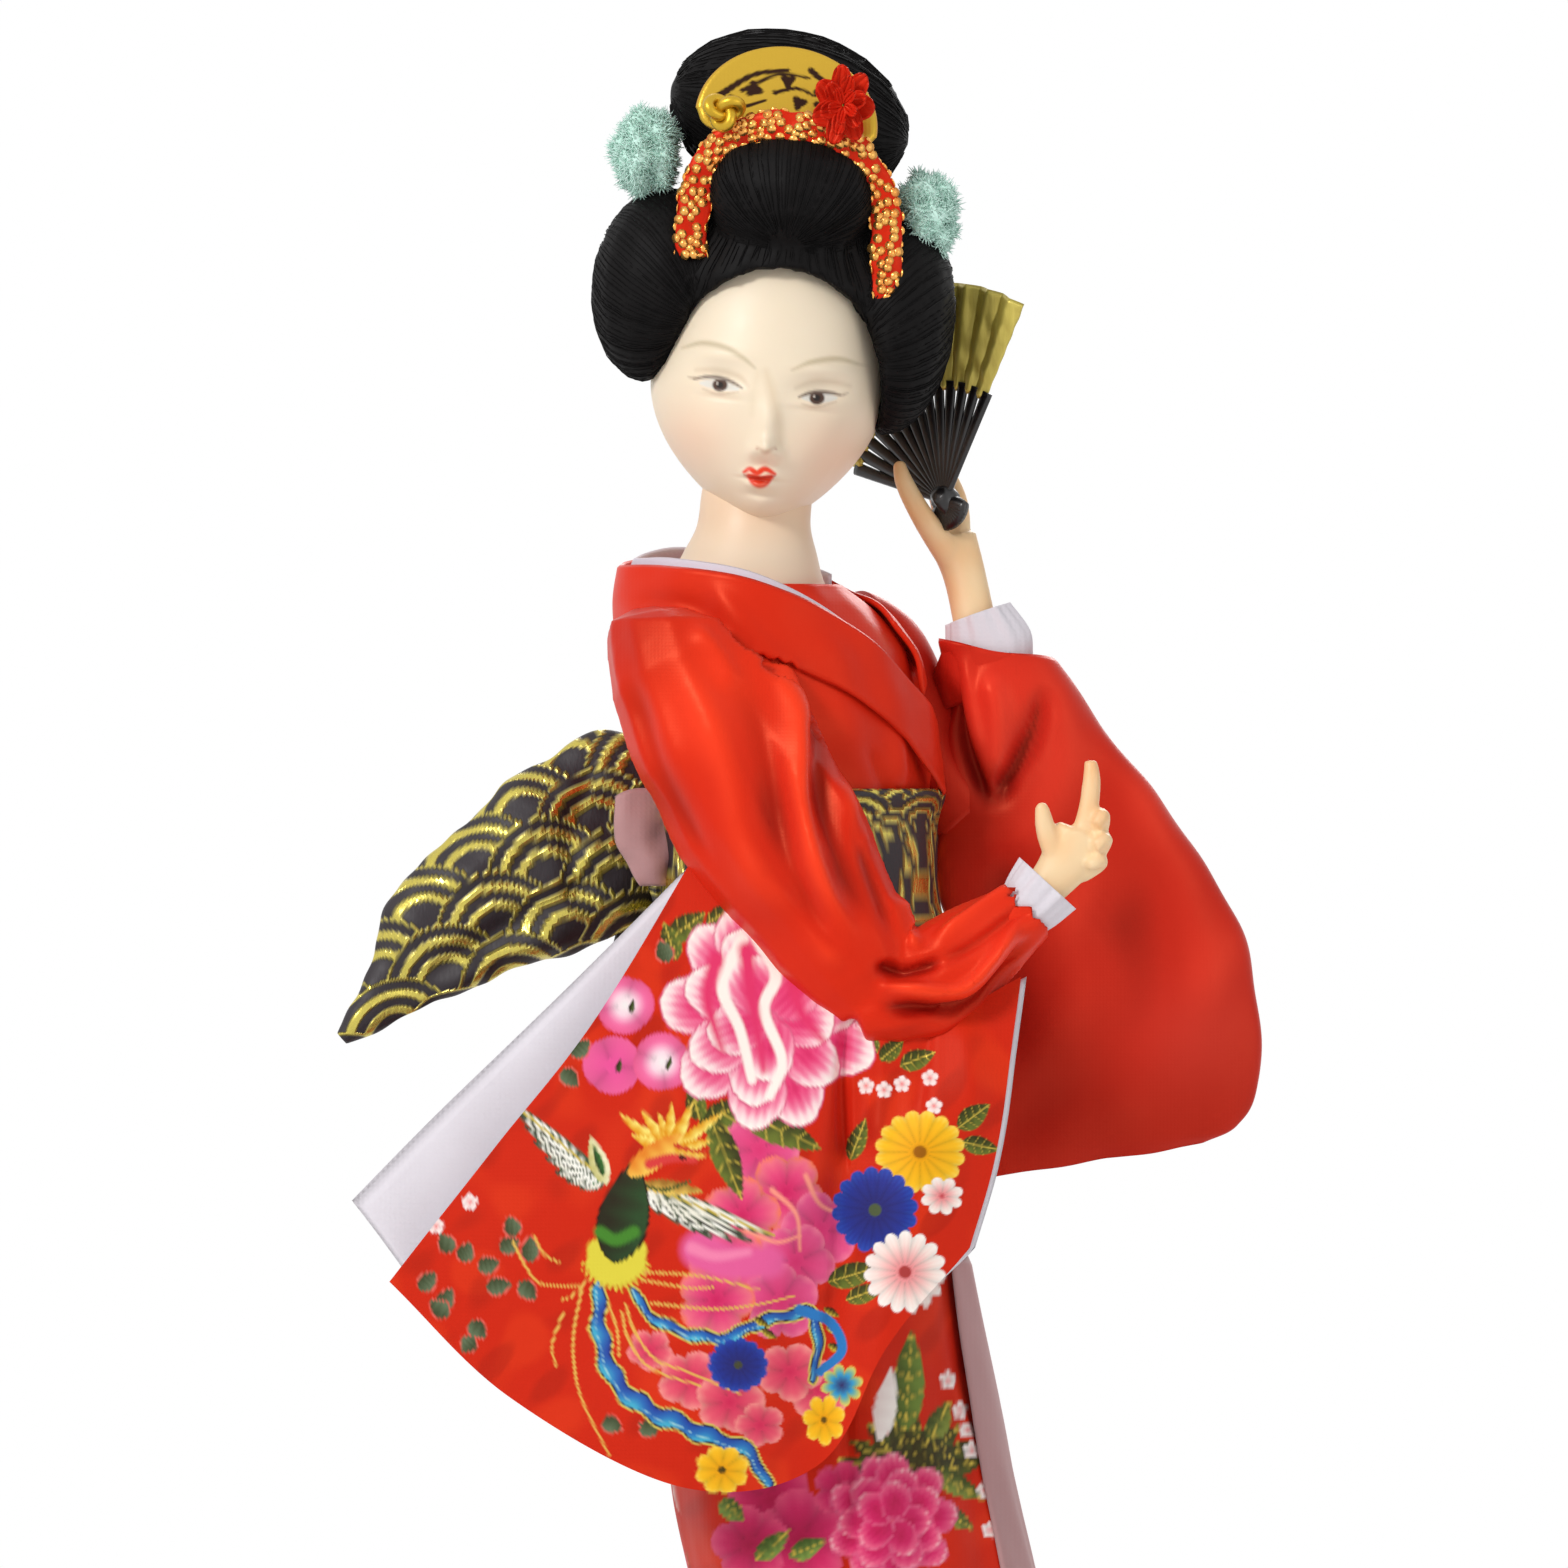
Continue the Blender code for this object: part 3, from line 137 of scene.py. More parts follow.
# %% [markdown]
# ## Small tools
# Three kinds of helper are used all through: a smooth curve through a few key points, a grid of points made
# from such curves, and a mesh made from a grid. Everything is worked out in millimetres and turned to
# metres once, when the mesh is made.


# %% Curves and grids
def through(keys, count, closed=False):
    """count rows on a smooth curve through the rows of keys."""
    keys = np.array(keys, float)
    ends = np.vstack([2 * keys[0] - keys[1], keys, 2 * keys[-1] - keys[-2]])
    if closed:
        ends = np.vstack([keys[-1], keys, keys[0], keys[1]])
    spans = len(ends) - 3
    t = np.linspace(0, spans, count, endpoint=not closed)
    i = np.minimum(t.astype(int), spans - 1)
    f = (t - i)[:, None]
    a, b, c, d = ends[i], ends[i + 1], ends[i + 2], ends[i + 3]
    return 0.5 * (2 * b + (c - a) * f + (2 * a - 5 * b + 4 * c - d) * f**2 + (3 * b - a - 3 * c + d) * f**3)


def net(rows, down, across):
    """A grid of points on the smooth surface through a coarse net of points."""
    rows = np.array(rows, float)
    first = np.array([through(row, across) for row in rows])
    return through(first.reshape(len(rows), -1), down).reshape(down, across, 3)


def grid_faces(down, across, wrap=False):
    i, j = np.meshgrid(np.arange(down - 1), np.arange(across if wrap else across - 1), indexing="ij")
    k = (j + 1) % across
    corners = [i * across + j, i * across + k, (i + 1) * across + k, (i + 1) * across + j]
    return np.stack(corners, -1).reshape(-1, 4)


def mesh_of(name, points, faces):
    mesh = bpy.data.meshes.new(name)
    mesh.from_pydata((np.asarray(points) * MM).tolist(), [], np.asarray(faces).tolist())
    mesh.shade_smooth()
    return mesh


SHOWN = {}


def show(name, mesh, finish, replaces=()):
    """Puts a finished mesh into the scene as a piece that rides on the one body."""
    made = bpy.data.objects.new(name, mesh)
    bpy.context.scene.collection.objects.link(made)
    mesh.materials.clear()
    mesh.materials.append(finish)
    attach(made, "root")
    if replaces:
        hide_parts(*replaces)
    SHOWN[name] = sum(len(p.vertices) - 2 for p in mesh.polygons)
    print(f"{name}: {SHOWN[name]} triangles")
    return made


def points_of(mesh):
    co = np.zeros(len(mesh.vertices) * 3)
    mesh.vertices.foreach_get("co", co)
    return co.reshape(-1, 3) / MM


def normals_of(mesh):
    out = np.zeros(len(mesh.vertices) * 3)
    mesh.vertex_normals.foreach_get("vector", out)
    return out.reshape(-1, 3)


def set_points(mesh, points):
    mesh.vertices.foreach_set("co", (points * MM).ravel())
    mesh.update()


def grid_normals(grid):
    """The direction square to a grid at each of its points."""
    down, across = np.gradient(grid, axis=0), np.gradient(grid, axis=1)
    square = np.cross(across, down)
    return square / np.maximum(np.linalg.norm(square, axis=-1, keepdims=True), 1e-9)


def flat_size(grid):
    """Width, length and area of a cloth grid when it is laid flat, in metres."""
    across = np.linalg.norm(np.diff(grid, axis=1), axis=-1).sum(1).max()
    down = np.linalg.norm(np.diff(grid, axis=0), axis=-1).sum(0).max()
    a, b = np.diff(grid, axis=1)[:-1], np.diff(grid, axis=0)[:, :-1]
    area = np.linalg.norm(np.cross(a, b), axis=-1).sum()
    return (across * MM, down * MM), area * MM * MM


# %% [markdown]
# ## Waves and creases
# No cloth is smooth. A soft unevenness comes from a few crossed waves of random direction with a fixed
# seed, and a crease is a line: points near it move along their normal, most on the line itself and less
# further away.


# %% Waves and creases
def unevenness(points, size, seed, waves=7):
    """A smooth random height, about -1 to 1, whose bumps are about size millimetres across."""
    rng = np.random.default_rng(seed)
    out = np.zeros(len(points))
    for _ in range(waves):
        direction = rng.normal(size=points.shape[1])
        direction *= 2 * math.pi / size / np.linalg.norm(direction) * rng.uniform(0.6, 1.4)
        out += np.sin(points @ direction + rng.uniform(0, 2 * math.pi))
    return out / math.sqrt(waves)


def smooth(t):
    t = np.clip(t, 0, 1)
    return t * t * (3 - 2 * t)


def waved(grid, height, size, seed):
    """A grid with soft random waves in it."""
    lift = height * unevenness(grid.reshape(-1, 3), size, seed).reshape(grid.shape[:2])
    return grid + grid_normals(grid) * lift[..., None]


def line_distance(x, y, line):
    """Distance of points from a line of straight pieces, the share of its length there, and the side."""
    line = np.array(line, float)
    best, along, side = np.full(len(x), 1e9), np.zeros(len(x)), np.zeros(len(x))
    lengths = np.linalg.norm(np.diff(line, axis=0), axis=1)
    total, done = lengths.sum(), 0.0
    for (ax, ay), (bx, by), length in zip(line[:-1], line[1:], lengths):
        ux, uy = (bx - ax) / length, (by - ay) / length
        t = np.clip((x - ax) * ux + (y - ay) * uy, 0, length)
        dx, dy = x - ax - t * ux, y - ay - t * uy
        d = np.hypot(dx, dy)
        near = d < best
        best[near], along[near] = d[near], (done + t[near]) / total
        side[near] = np.sign(ux * dy - uy * dx)[near]
        done += length
    return best, along, side


def crease(x, y, line, width, depth, sharp=1.0, ends=0.25):
    """How far the cloth stands out or in near a crease, which dies away at its ends.
    With sharp above 1, one side of the crease falls away faster than the other."""
    d, t, side = line_distance(x, y, through(line, 24) if len(line) > 2 else line)
    fade = smooth(t / ends) * smooth((1 - t) / ends) if ends else 1.0
    return depth * fade * np.exp(-((d / (width * np.where(side > 0, 1.0, 1.0 / sharp))) ** 2))


# %% [markdown]
# ## Finishes
# A finish is a Principled shader with its own colour, gloss and grain. Cloth gets its weave from two
# crossed wave textures in a bump, and a slow noise that keeps one red from being the same all over. Where a
# pattern was painted on the points of a mesh, the finish reads it from the mesh's own attribute.


# %% Finish helpers
def linear(rgb):
    """A colour as seen on a screen, 0 to 255, as the light it stands for."""
    c = np.array(rgb, float) / 255
    return np.where(c <= 0.04045, c / 12.92, ((c + 0.055) / 1.055) ** 2.4)


class Finish:
    """A material, with short ways to add its nodes."""

    def __init__(self, name, rgb=(200, 200, 200), roughness=0.5, metallic=0.0, **sockets):
        self.material = bpy.data.materials.new(name)
        self.material.use_nodes = True
        self.tree = self.material.node_tree
        self.shader = self.tree.nodes["Principled BSDF"]
        self.shader.inputs["Base Color"].default_value = (*linear(rgb), 1.0)
        self.shader.inputs["Roughness"].default_value = roughness
        self.shader.inputs["Metallic"].default_value = metallic
        for socket, value in sockets.items():
            self.shader.inputs[socket.replace("_", " ")].default_value = value
        self.place = self.tree.nodes.new("ShaderNodeTexCoord").outputs["Object"]
        self.height = None

    def node(self, kind, **values):
        made = self.tree.nodes.new("ShaderNode" + kind)
        for name, value in values.items():
            if name.startswith("in_"):
                made.inputs[int(name[3:])].default_value = value
            else:
                setattr(made, name, value)
        return made

    def link(self, a, b):
        self.tree.links.new(a, b)

    def math(self, operation, a, b=0.0, clamp=False):
        made = self.node("Math", operation=operation, use_clamp=clamp)
        for slot, value in ((0, a), (1, b)):
            if isinstance(value, (int, float)):
                made.inputs[slot].default_value = value
            else:
                self.link(value, made.inputs[slot])
        return made.outputs[0]

    def noise(self, per_mm, detail=3.0, stretch=(1, 1, 1), turn=(0, 0, 0)):
        place = self.node("Mapping")
        place.inputs["Scale"].default_value = [s * per_mm / MM for s in stretch]
        place.inputs["Rotation"].default_value = turn
        self.link(self.place, place.inputs["Vector"])
        made = self.node("TexNoise")
        made.inputs["Scale"].default_value = 1.0
        made.inputs["Detail"].default_value = detail
        self.link(place.outputs[0], made.inputs["Vector"])
        return made.outputs["Fac"]

    def threads(self, per_mm, turn=(0, 0, 0)):
        """Fine threads, crossed: the height of a plain weave."""
        out = None
        for direction in ("X", "Z"):
            place = self.node("Mapping")
            place.inputs["Rotation"].default_value = turn
            self.link(self.place, place.inputs["Vector"])
            wave = self.node("TexWave", wave_type="BANDS", bands_direction=direction)
            wave.inputs["Scale"].default_value = per_mm / MM / 3.14
            wave.inputs["Distortion"].default_value = 0.6
            wave.inputs["Detail"].default_value = 1.0
            self.link(place.outputs[0], wave.inputs["Vector"])
            out = wave.outputs["Fac"] if out is None else self.math("MULTIPLY", out, wave.outputs["Fac"])
        return out

    def bump(self, height, strength, distance_mm):
        made = self.node("Bump")
        made.inputs["Strength"].default_value = strength
        made.inputs["Distance"].default_value = distance_mm * MM
        self.link(height, made.inputs["Height"])
        if self.height:
            self.link(self.height, made.inputs["Normal"])
        self.height = made.outputs[0]
        self.link(self.height, self.shader.inputs["Normal"])
        return self

    def colour(self, socket):
        self.link(socket, self.shader.inputs["Base Color"])
        return self

    def vary(self, factor, low, high):
        """Mixes two colours by a factor, so that the finish isn't the same all over."""
        ramp = self.node("Mix", data_type="RGBA")
        self.link(factor, ramp.inputs[0])
        ramp.inputs[6].default_value = (*linear(low), 1)
        ramp.inputs[7].default_value = (*linear(high), 1)
        return ramp.outputs[2]

    def attribute(self, name, which="Color"):
        made = self.node("Attribute", attribute_name=name)
        return made.outputs[which]

    def roughness_from(self, factor, low, high):
        spread = self.node("MapRange")
        self.link(factor, spread.inputs["Value"])
        spread.inputs["To Min"].default_value = low
        spread.inputs["To Max"].default_value = high
        self.link(spread.outputs[0], self.shader.inputs["Roughness"])
        return self


# %% [markdown]
# ## The doll's finishes
# Red satin is glossy along its folds, so it gets a fairly low roughness, a red tint in its gloss and hardly
# any weave. The printed cloth is the same satin under ink. Brocade is dark with raised gold thread. The
# head is painted composition with a faint glow, the wig is black floss, and the board is lacquered.


# %% Cloth finishes
def satin(name, low, high, roughness=0.42, painted=False):
    made = Finish(name, high, roughness, Specular_IOR_Level=0.6, Sheen_Weight=0.12, Sheen_Roughness=0.4)
    made.shader.inputs["Specular Tint"].default_value = (*linear((255, 130, 90)), 1)
    made.shader.inputs["Sheen Tint"].default_value = (*linear((255, 90, 50)), 1)
    made.colour(made.attribute("PaintedColour") if painted else made.vary(made.noise(0.05, 2.0), low, high))
    made.roughness_from(made.noise(0.4, 3.0), roughness - 0.05, roughness + 0.1)
    made.bump(made.threads(2.2), 0.18, 0.03).bump(made.noise(0.16, 2.0), 0.25, 0.5)
    return made.material


RED_SATIN = satin("red_satin", (204, 34, 16), (224, 48, 24), 0.38)
# This satin takes its colour from the mesh, where painted shade and painted highlight were laid.
SATIN_WITH_PAINTED_LIGHT = satin("toned_satin", None, (214, 40, 20), 0.36, painted=True)


def printed(name):
    made = Finish(name, roughness=0.5, Specular_IOR_Level=0.35, Sheen_Weight=0.03, Sheen_Roughness=0.5)
    made.shader.inputs["Specular Tint"].default_value = (*linear((255, 170, 140)), 1)
    paint, gold = made.attribute("PaintedColour"), made.attribute("Gold", "Fac")
    made.colour(paint)
    made.link(made.math("MULTIPLY", gold, 0.55), made.shader.inputs["Metallic"])
    made.roughness_from(gold, 0.52, 0.3)
    made.bump(made.threads(2.0), 0.25, 0.03).bump(gold, 0.5, 0.05).bump(made.noise(0.16, 2.0), 0.2, 0.4)
    return made.material


PRINT = printed("printed_satin")


def brocade_finish():
    made = Finish("gold_brocade", (48, 34, 40), 0.45, Specular_IOR_Level=0.5)
    paint, gold = made.attribute("PaintedColour"), made.attribute("Gold", "Fac")
    thread = made.noise(2.6, 2.0, (1, 1, 0.25))
    worn = made.math("ADD", 0.55, made.math("MULTIPLY", thread, 0.9), True)
    broken = made.math("MULTIPLY", gold, worn, True)
    mix = made.node("Mix", data_type="RGBA")
    made.link(broken, mix.inputs[0])
    made.link(paint, mix.inputs[6])
    mix.inputs[7].default_value = (*linear((208, 192, 92)), 1)
    made.colour(mix.outputs[2])
    made.link(made.math("MULTIPLY", broken, 0.9), made.shader.inputs["Metallic"])
    made.roughness_from(broken, 0.55, 0.26)
    made.bump(gold, 0.9, 0.35).bump(thread, 0.35, 0.12)
    return made.material


BROCADE = brocade_finish()


def plain_cloth(name, low, high, weave=1.6, roughness=0.7):
    made = Finish(name, high, roughness, Sheen_Weight=0.12, Sheen_Roughness=0.5)
    made.colour(made.vary(made.noise(0.07, 2.0), low, high))
    made.bump(made.threads(weave), 0.35, 0.05).bump(made.noise(0.14, 2.0), 0.25, 0.4)
    return made.material


WHITE_CLOTH = plain_cloth("white_cloth", (216, 208, 214), (232, 226, 232))
LINING = plain_cloth("mauve_lining", (170, 124, 124), (188, 142, 140))
UNDER_CLOTH = plain_cloth("under_collar_cloth", (206, 192, 206), (228, 218, 226))
CALICO = plain_cloth("stuffed_calico", (196, 178, 138), (214, 198, 158), 1.0, 0.9)
print("cloth finishes made")


# %% Hard and fine finishes
def painted_skin(name, rgb):
    made = Finish(name, rgb, 0.42, Subsurface_Weight=0.06, Specular_IOR_Level=0.4)
    made.shader.inputs["Subsurface Radius"].default_value = (0.004, 0.0016, 0.0008)
    made.shader.inputs["Subsurface Scale"].default_value = 0.25
    made.colour(made.attribute("PaintedColour"))
    made.roughness_from(made.noise(0.5, 3.0), 0.36, 0.5)
    made.bump(made.noise(1.4, 3.0), 0.08, 0.04)
    return made.material


FACE_PAINT = painted_skin("face_paint", (245, 232, 212))


def floss(name, low, high, gloss, sheen):
    made = Finish(name, high, 0.6, Specular_IOR_Level=gloss, Sheen_Weight=sheen, Sheen_Roughness=0.35)
    made.colour(made.vary(made.noise(0.5, 3.0), low, high))
    made.bump(made.noise(2.2, 3.0), 0.3, 0.08)
    return made.material


HAIR = floss("black_floss", (7, 6, 6), (14, 11, 11), 0.12, 0.0)
MINT = floss("mint_fluff", (196, 236, 220), (220, 246, 236), 0.3, 0.4)


def foil(name, low, high, roughness, grain=(1, 1, 1), metal=0.85):
    made = Finish(name, high, roughness, metal)
    made.colour(made.vary(made.noise(0.6, 3.0, grain), low, high))
    made.bump(made.noise(1.2, 2.0, grain), 0.25, 0.06)
    return made.material


GOLD_PAPER = foil("gilt_paper", (178, 158, 62), (222, 204, 104), 0.4, (3, 3, 0.5), 0.4)
GOLD = foil("gilt_comb", (190, 150, 36), (214, 176, 58), 0.36)
SEQUIN = foil("gold_sequin", (220, 110, 40), (250, 206, 110), 0.24)


def lacquer(name, rgb, coat):
    made = Finish(name, rgb, 0.3, Coat_Weight=coat, Coat_Roughness=0.06)
    made.colour(made.vary(made.noise(0.03, 4.0), [c * 0.7 for c in rgb], [c * 1.5 + 2 for c in rgb]))
    made.roughness_from(made.noise(0.2, 4.0), 0.22, 0.4)
    made.bump(made.noise(0.08, 2.0), 0.06, 0.3)
    return made.material


LACQUER = lacquer("black_lacquer", (14, 12, 13), 0.8)
BLACK = lacquer("black_stick", (18, 15, 16), 0.25)
RIBBON = satin("red_ribbon", (190, 24, 12), (220, 44, 20), 0.34)


def wire_finish():
    made = Finish("drawn_wire", (150, 150, 152), 0.34, 1.0)
    made.colour(made.vary(made.noise(1.0, 3.0, (1, 1, 0.05)), (120, 120, 122), (170, 170, 172)))
    made.bump(made.noise(2.0, 2.0, (1, 1, 0.05)), 0.2, 0.03)
    return made.material


STEEL = wire_finish()
print("hard finishes made")

# %% [markdown]
# ## Painting on the points of a mesh
# The print of the kimono is a set of traditional motifs: peonies, chrysanthemums, blossoms, leaves and a
# phoenix with streaming tail feathers. Each is a rule, such as how far a petal's rim lies from its heart,
# so the print is made of drawn shapes and needs no picture. The rules work in the photograph's pixels, for
# the motifs' places.


# %% The paint
class Paint:
    """Colour for each point of a mesh, and how much gold lies on it."""

    def __init__(self, x, y, ground):
        self.x, self.y = x, y
        self.colour = np.tile(linear(ground), (len(x), 1))
        self.gold = np.zeros(len(x))

    def window(self, cx, cy, reach):
        """The points near a place, and how far right and down of it they are."""
        i = np.nonzero((np.abs(self.x - cx) < reach) & (np.abs(self.y - cy) < reach))[0]
        return i, self.x[i] - cx, self.y[i] - cy

    def lay(self, i, cover, rgb, gold=0.0):
        cover = np.clip(cover, 0, 1)[:, None]
        self.colour[i] = self.colour[i] * (1 - cover) + linear(rgb) * cover
        self.gold[i] = self.gold[i] * (1 - cover[:, 0]) + gold * cover[:, 0]

    def wash(self, cover, rgb):
        """Lays one colour over every point."""
        self.lay(np.arange(len(self.x)), cover, rgb)

    def store(self, mesh):
        rgba = np.ones((len(self.x), 4), np.float32)
        rgba[:, :3] = self.colour
        mesh.attributes.new("PaintedColour", "FLOAT_COLOR", "POINT").data.foreach_set("color", rgba.ravel())
        mesh.attributes.new("Gold", "FLOAT", "POINT").data.foreach_set("value", self.gold.astype(np.float32))


def blend(t, stops):
    """Colours along a run of stops, each a share and a colour."""
    shares = [s for s, _ in stops]
    return np.stack([np.interp(t, shares, [rgb[k] for _, rgb in stops]) for k in range(3)], -1)


GOLD_INK = (196, 172, 70)
LEAF_DARK, LEAF_LIGHT = (38, 52, 24), (96, 112, 44)


# %% Strokes, leaves and petals
def stroke(paint, line, width, rgb, gold=0.0, taper=0.0, soft=1.0):
    line = through(line, 10 * len(line)) if len(line) > 2 else np.array(line, float)
    cx, cy = line.mean(0)
    reach = np.abs(line - [cx, cy]).max() + width + 3
    i, dx, dy = paint.window(cx, cy, reach)
    if len(i) == 0:
        return
    d, t, _ = line_distance(dx + cx, dy + cy, line)
    half = width / 2 * (1 - taper * t)
    paint.lay(i, (half - d) / soft + 0.5, rgb, gold)


def leaf(paint, base, tip, width, dark=LEAF_DARK, light=LEAF_LIGHT, vein=True, edge=None):
    """A pointed leaf from base to tip: lighter on one half, with a gold vein and a few ribs."""
    base, tip = np.array(base, float), np.array(tip, float)
    long = np.linalg.norm(tip - base)
    axis = (tip - base) / long
    middle = (base + tip) / 2
    i, dx, dy = paint.window(*middle, long * 0.6 + width)
    u = (dx + middle[0] - base[0]) * axis[0] + (dy + middle[1] - base[1]) * axis[1]
    v = -(dx + middle[0] - base[0]) * axis[1] + (dy + middle[1] - base[1]) * axis[0]
    t = np.clip(u / long, 0, 1)
    half = width / 2 * np.sin(math.pi * t**0.75) ** 0.8
    out = np.where((u < 0) | (u > long), 9.0, 0.0)
    cover = (half - np.abs(v)) / 1.2 - out
    if edge:
        paint.lay(i, cover + 1.4, edge)
    rgb = blend(np.clip(0.5 + v / (width * 0.7) + 0.15 * np.sin(t * 30), 0, 1), [(0, dark), (1, light)])
    paint.lay(i, cover, rgb)
    if vein:
        paint.lay(i, np.minimum(cover, 1.1 - np.abs(v)), GOLD_INK, 0.8)
        ribs = np.abs(np.mod(t * 5 - np.abs(v) / width * 1.2, 1) - 0.5)
        paint.lay(i, np.minimum(cover, (0.1 - ribs) * 8), GOLD_INK, 0.6)


def bloom(
    paint, cx, cy, radius, petals, stops, notch=0.22, turn=0.0, squash=1.0, streaks=0.0, heart=None,
    sharp=0.6,
):
    """A flower seen from above: its rim goes in between the petals, and its colour runs from heart to rim."""
    i, dx, dy = paint.window(cx, cy, radius * 1.25)
    r, a = np.hypot(dx, dy / squash), np.arctan2(dy / squash, dx) + turn
    rim = radius * (1 - notch + notch * np.abs(np.cos(a * petals / 2)) ** sharp)
    t = r / rim
    rgb = blend(t + streaks * np.sin(a * petals * 3) * t, stops)
    shade = 1 - 0.16 * (1 - np.abs(np.cos(a * petals / 2)) ** 0.5) * (t > 0.25)
    paint.lay(i, (rim - r) / 1.3, rgb * shade[:, None])
    if heart:
        paint.lay(i, (radius * 0.16 - r) / 1.3, heart)


def petal(paint, base, direction, long, wide, stops, ruffle, seed):
    """One broad petal with a torn, wavy rim, darker at its base."""
    rng = np.random.default_rng(seed)
    ax, ay = math.cos(direction), math.sin(direction)
    i, dx, dy = paint.window(base[0] + ax * long / 2, base[1] + ay * long / 2, max(long, wide) * 0.9)
    dx, dy = dx + ax * long / 2, dy + ay * long / 2
    u, v = dx * ax + dy * ay, -dx * ay + dy * ax
    a = np.arctan2(v / wide * 2, (u - long * 0.42) / long * 2)
    wave = sum(np.sin(a * k + rng.uniform(0, 6.3)) / k**0.7 for k in (3, 5, 9, 14, 23))
    rim = 1 + ruffle * wave
    t = np.hypot((u - long * 0.45) / (long * 0.58), v / (wide * 0.5)) / rim
    run = np.clip(0.5 * np.clip(u / long, 0, 1) + 0.5 * t, 0, 1)
    cover = (1 - t) * min(long, wide) * 0.45 / 1.4
    streak = 0.05 * np.sin(v / wide * 40 + wave)
    paint.lay(i, cover + 0.9, (214, 90, 128))
    paint.lay(i, cover, blend(run + streak, stops))


PEONY = [
    (0.0, (196, 24, 80)), (0.35, (226, 62, 116)), (0.62, (238, 130, 160)), (0.8, (248, 212, 214)),
    (1, (252, 244, 234)),
]
ROSE = [(0.0, (200, 30, 90)), (0.5, (226, 70, 120)), (0.85, (236, 110, 130)), (1.0, (240, 120, 90))]


def peony(paint, cx, cy, radius, seed, stops, squash=1.0, turn=0.0):
    rng = np.random.default_rng(seed)
    for share, size, count in ((0.5, 0.62, 9), (0.3, 0.6, 7), (0.1, 0.56, 5)):
        for k in range(count):
            a = turn + 2 * math.pi * (k + 0.5 * (count == 7)) / count + rng.normal(0, 0.12)
            base = (cx + math.cos(a) * share * radius, cy + math.sin(a) * share * radius * squash)
            petal(paint, base, a, radius * size, radius * size * 0.95, stops, 0.05, int(rng.integers(1e6)))


print("paint tools made")

# %% [markdown]
# ## The phoenix
# The bird flies up to the left: a black and green neck, a yellow ruffed body, two wings of long white
# quills with black tips, and tail feathers that stream down to the right in blue bands with scalloped
# turquoise rims.


# %% Phoenix
def wing(paint, root, tips, width, shade):
    for k, tip in enumerate(tips):
        middle = (np.array(root) + np.array(tip)) / 2
        leaf(paint, root, tip, width, (236, 232, 214), (250, 248, 238), vein=False, edge=(60, 84, 60))
        stroke(paint, [middle + 0.1 * (np.array(tip) - middle), tip], 1.6, (44, 56, 50))
        if k % 2:
            stroke(paint, [root, middle], 2.0, shade)
    stroke(paint, [root, tips[0]], 2.4, GOLD_INK, 0.8)


def tail(paint, line, width, deep=(16, 62, 150), pale=(60, 170, 200)):
    line = through(line, 60)
    cx, cy = line.mean(0)
    i, dx, dy = paint.window(cx, cy, np.abs(line - [cx, cy]).max() + width + 4)
    d, t, side = line_distance(dx + cx, dy + cy, line)
    scallop = 1 + 0.28 * np.sin(t * 2 * math.pi * (len(line) / 8) + side)
    half = width / 2 * scallop * (0.55 + 0.45 * np.sin(math.pi * np.clip(t * 1.05, 0, 1)) ** 0.5)
    paint.lay(i, (half + 2.2 - d) / 1.0, (206, 190, 90), 0.7)
    paint.lay(i, (half + 0.4 - d) / 1.0, (14, 22, 50))
    paint.lay(i, (half - 1.0 - d) / 1.0, blend(np.clip(0.5 + side * d / width + 0.25 * np.sin(t * 46), 0, 1),
                                               [(0, deep), (0.55, (30, 110, 180)), (1, pale)]))
    paint.lay(i, (0.7 - np.abs(d - half * 0.35)) * (side > 0), (170, 220, 215))


STREAMERS = [
    [(582, 1288), (574, 1330), (574, 1363), (582, 1400), (609, 1455)],
    [(563, 1313), (552, 1345), (556, 1366)], [(513, 1242), (526, 1267), (542, 1284), (584, 1286)],
    [(534, 1236), (544, 1254), (560, 1263)], [(609, 1305), (617, 1330), (619, 1356)],
    [(626, 1305), (634, 1330), (655, 1359), (688, 1372), (740, 1394)],
    [(622, 1312), (628, 1338), (650, 1368), (700, 1386)], [(642, 1280), (690, 1288), (714, 1287)],
    [(650, 1303), (713, 1309), (760, 1304), (794, 1296)], [(640, 1272), (700, 1276), (760, 1290)],
    [(592, 1276), (572, 1296), (560, 1300)], [(604, 1286), (596, 1312), (586, 1330)],
]
LONG_TAIL = [
    (599, 1286), (599, 1322), (605, 1355), (618, 1384), (647, 1409), (676, 1422), (713, 1438), (747, 1451),
    (768, 1484),
]
CURLED_TAIL = [
    (634, 1290), (647, 1313), (668, 1326), (697, 1336), (730, 1338), (751, 1326), (788, 1315), (812, 1314),
    (818, 1347), (812, 1380),
]
LEFT_QUILLS = [
    (513, 1103), (518, 1114), (525, 1127), (534, 1142), (546, 1158), (555, 1172), (567, 1181), (580, 1188),
]
RIGHT_QUILLS = [(774, 1236), (752, 1242), (731, 1241), (712, 1238), (695, 1232), (680, 1224), (660, 1214)]
CREST = [
    (617, 1112), (640, 1108), (658, 1112), (672, 1102), (682, 1118), (706, 1122), (727, 1110), (714, 1140),
    (708, 1156), (630, 1134), (694, 1100),
]


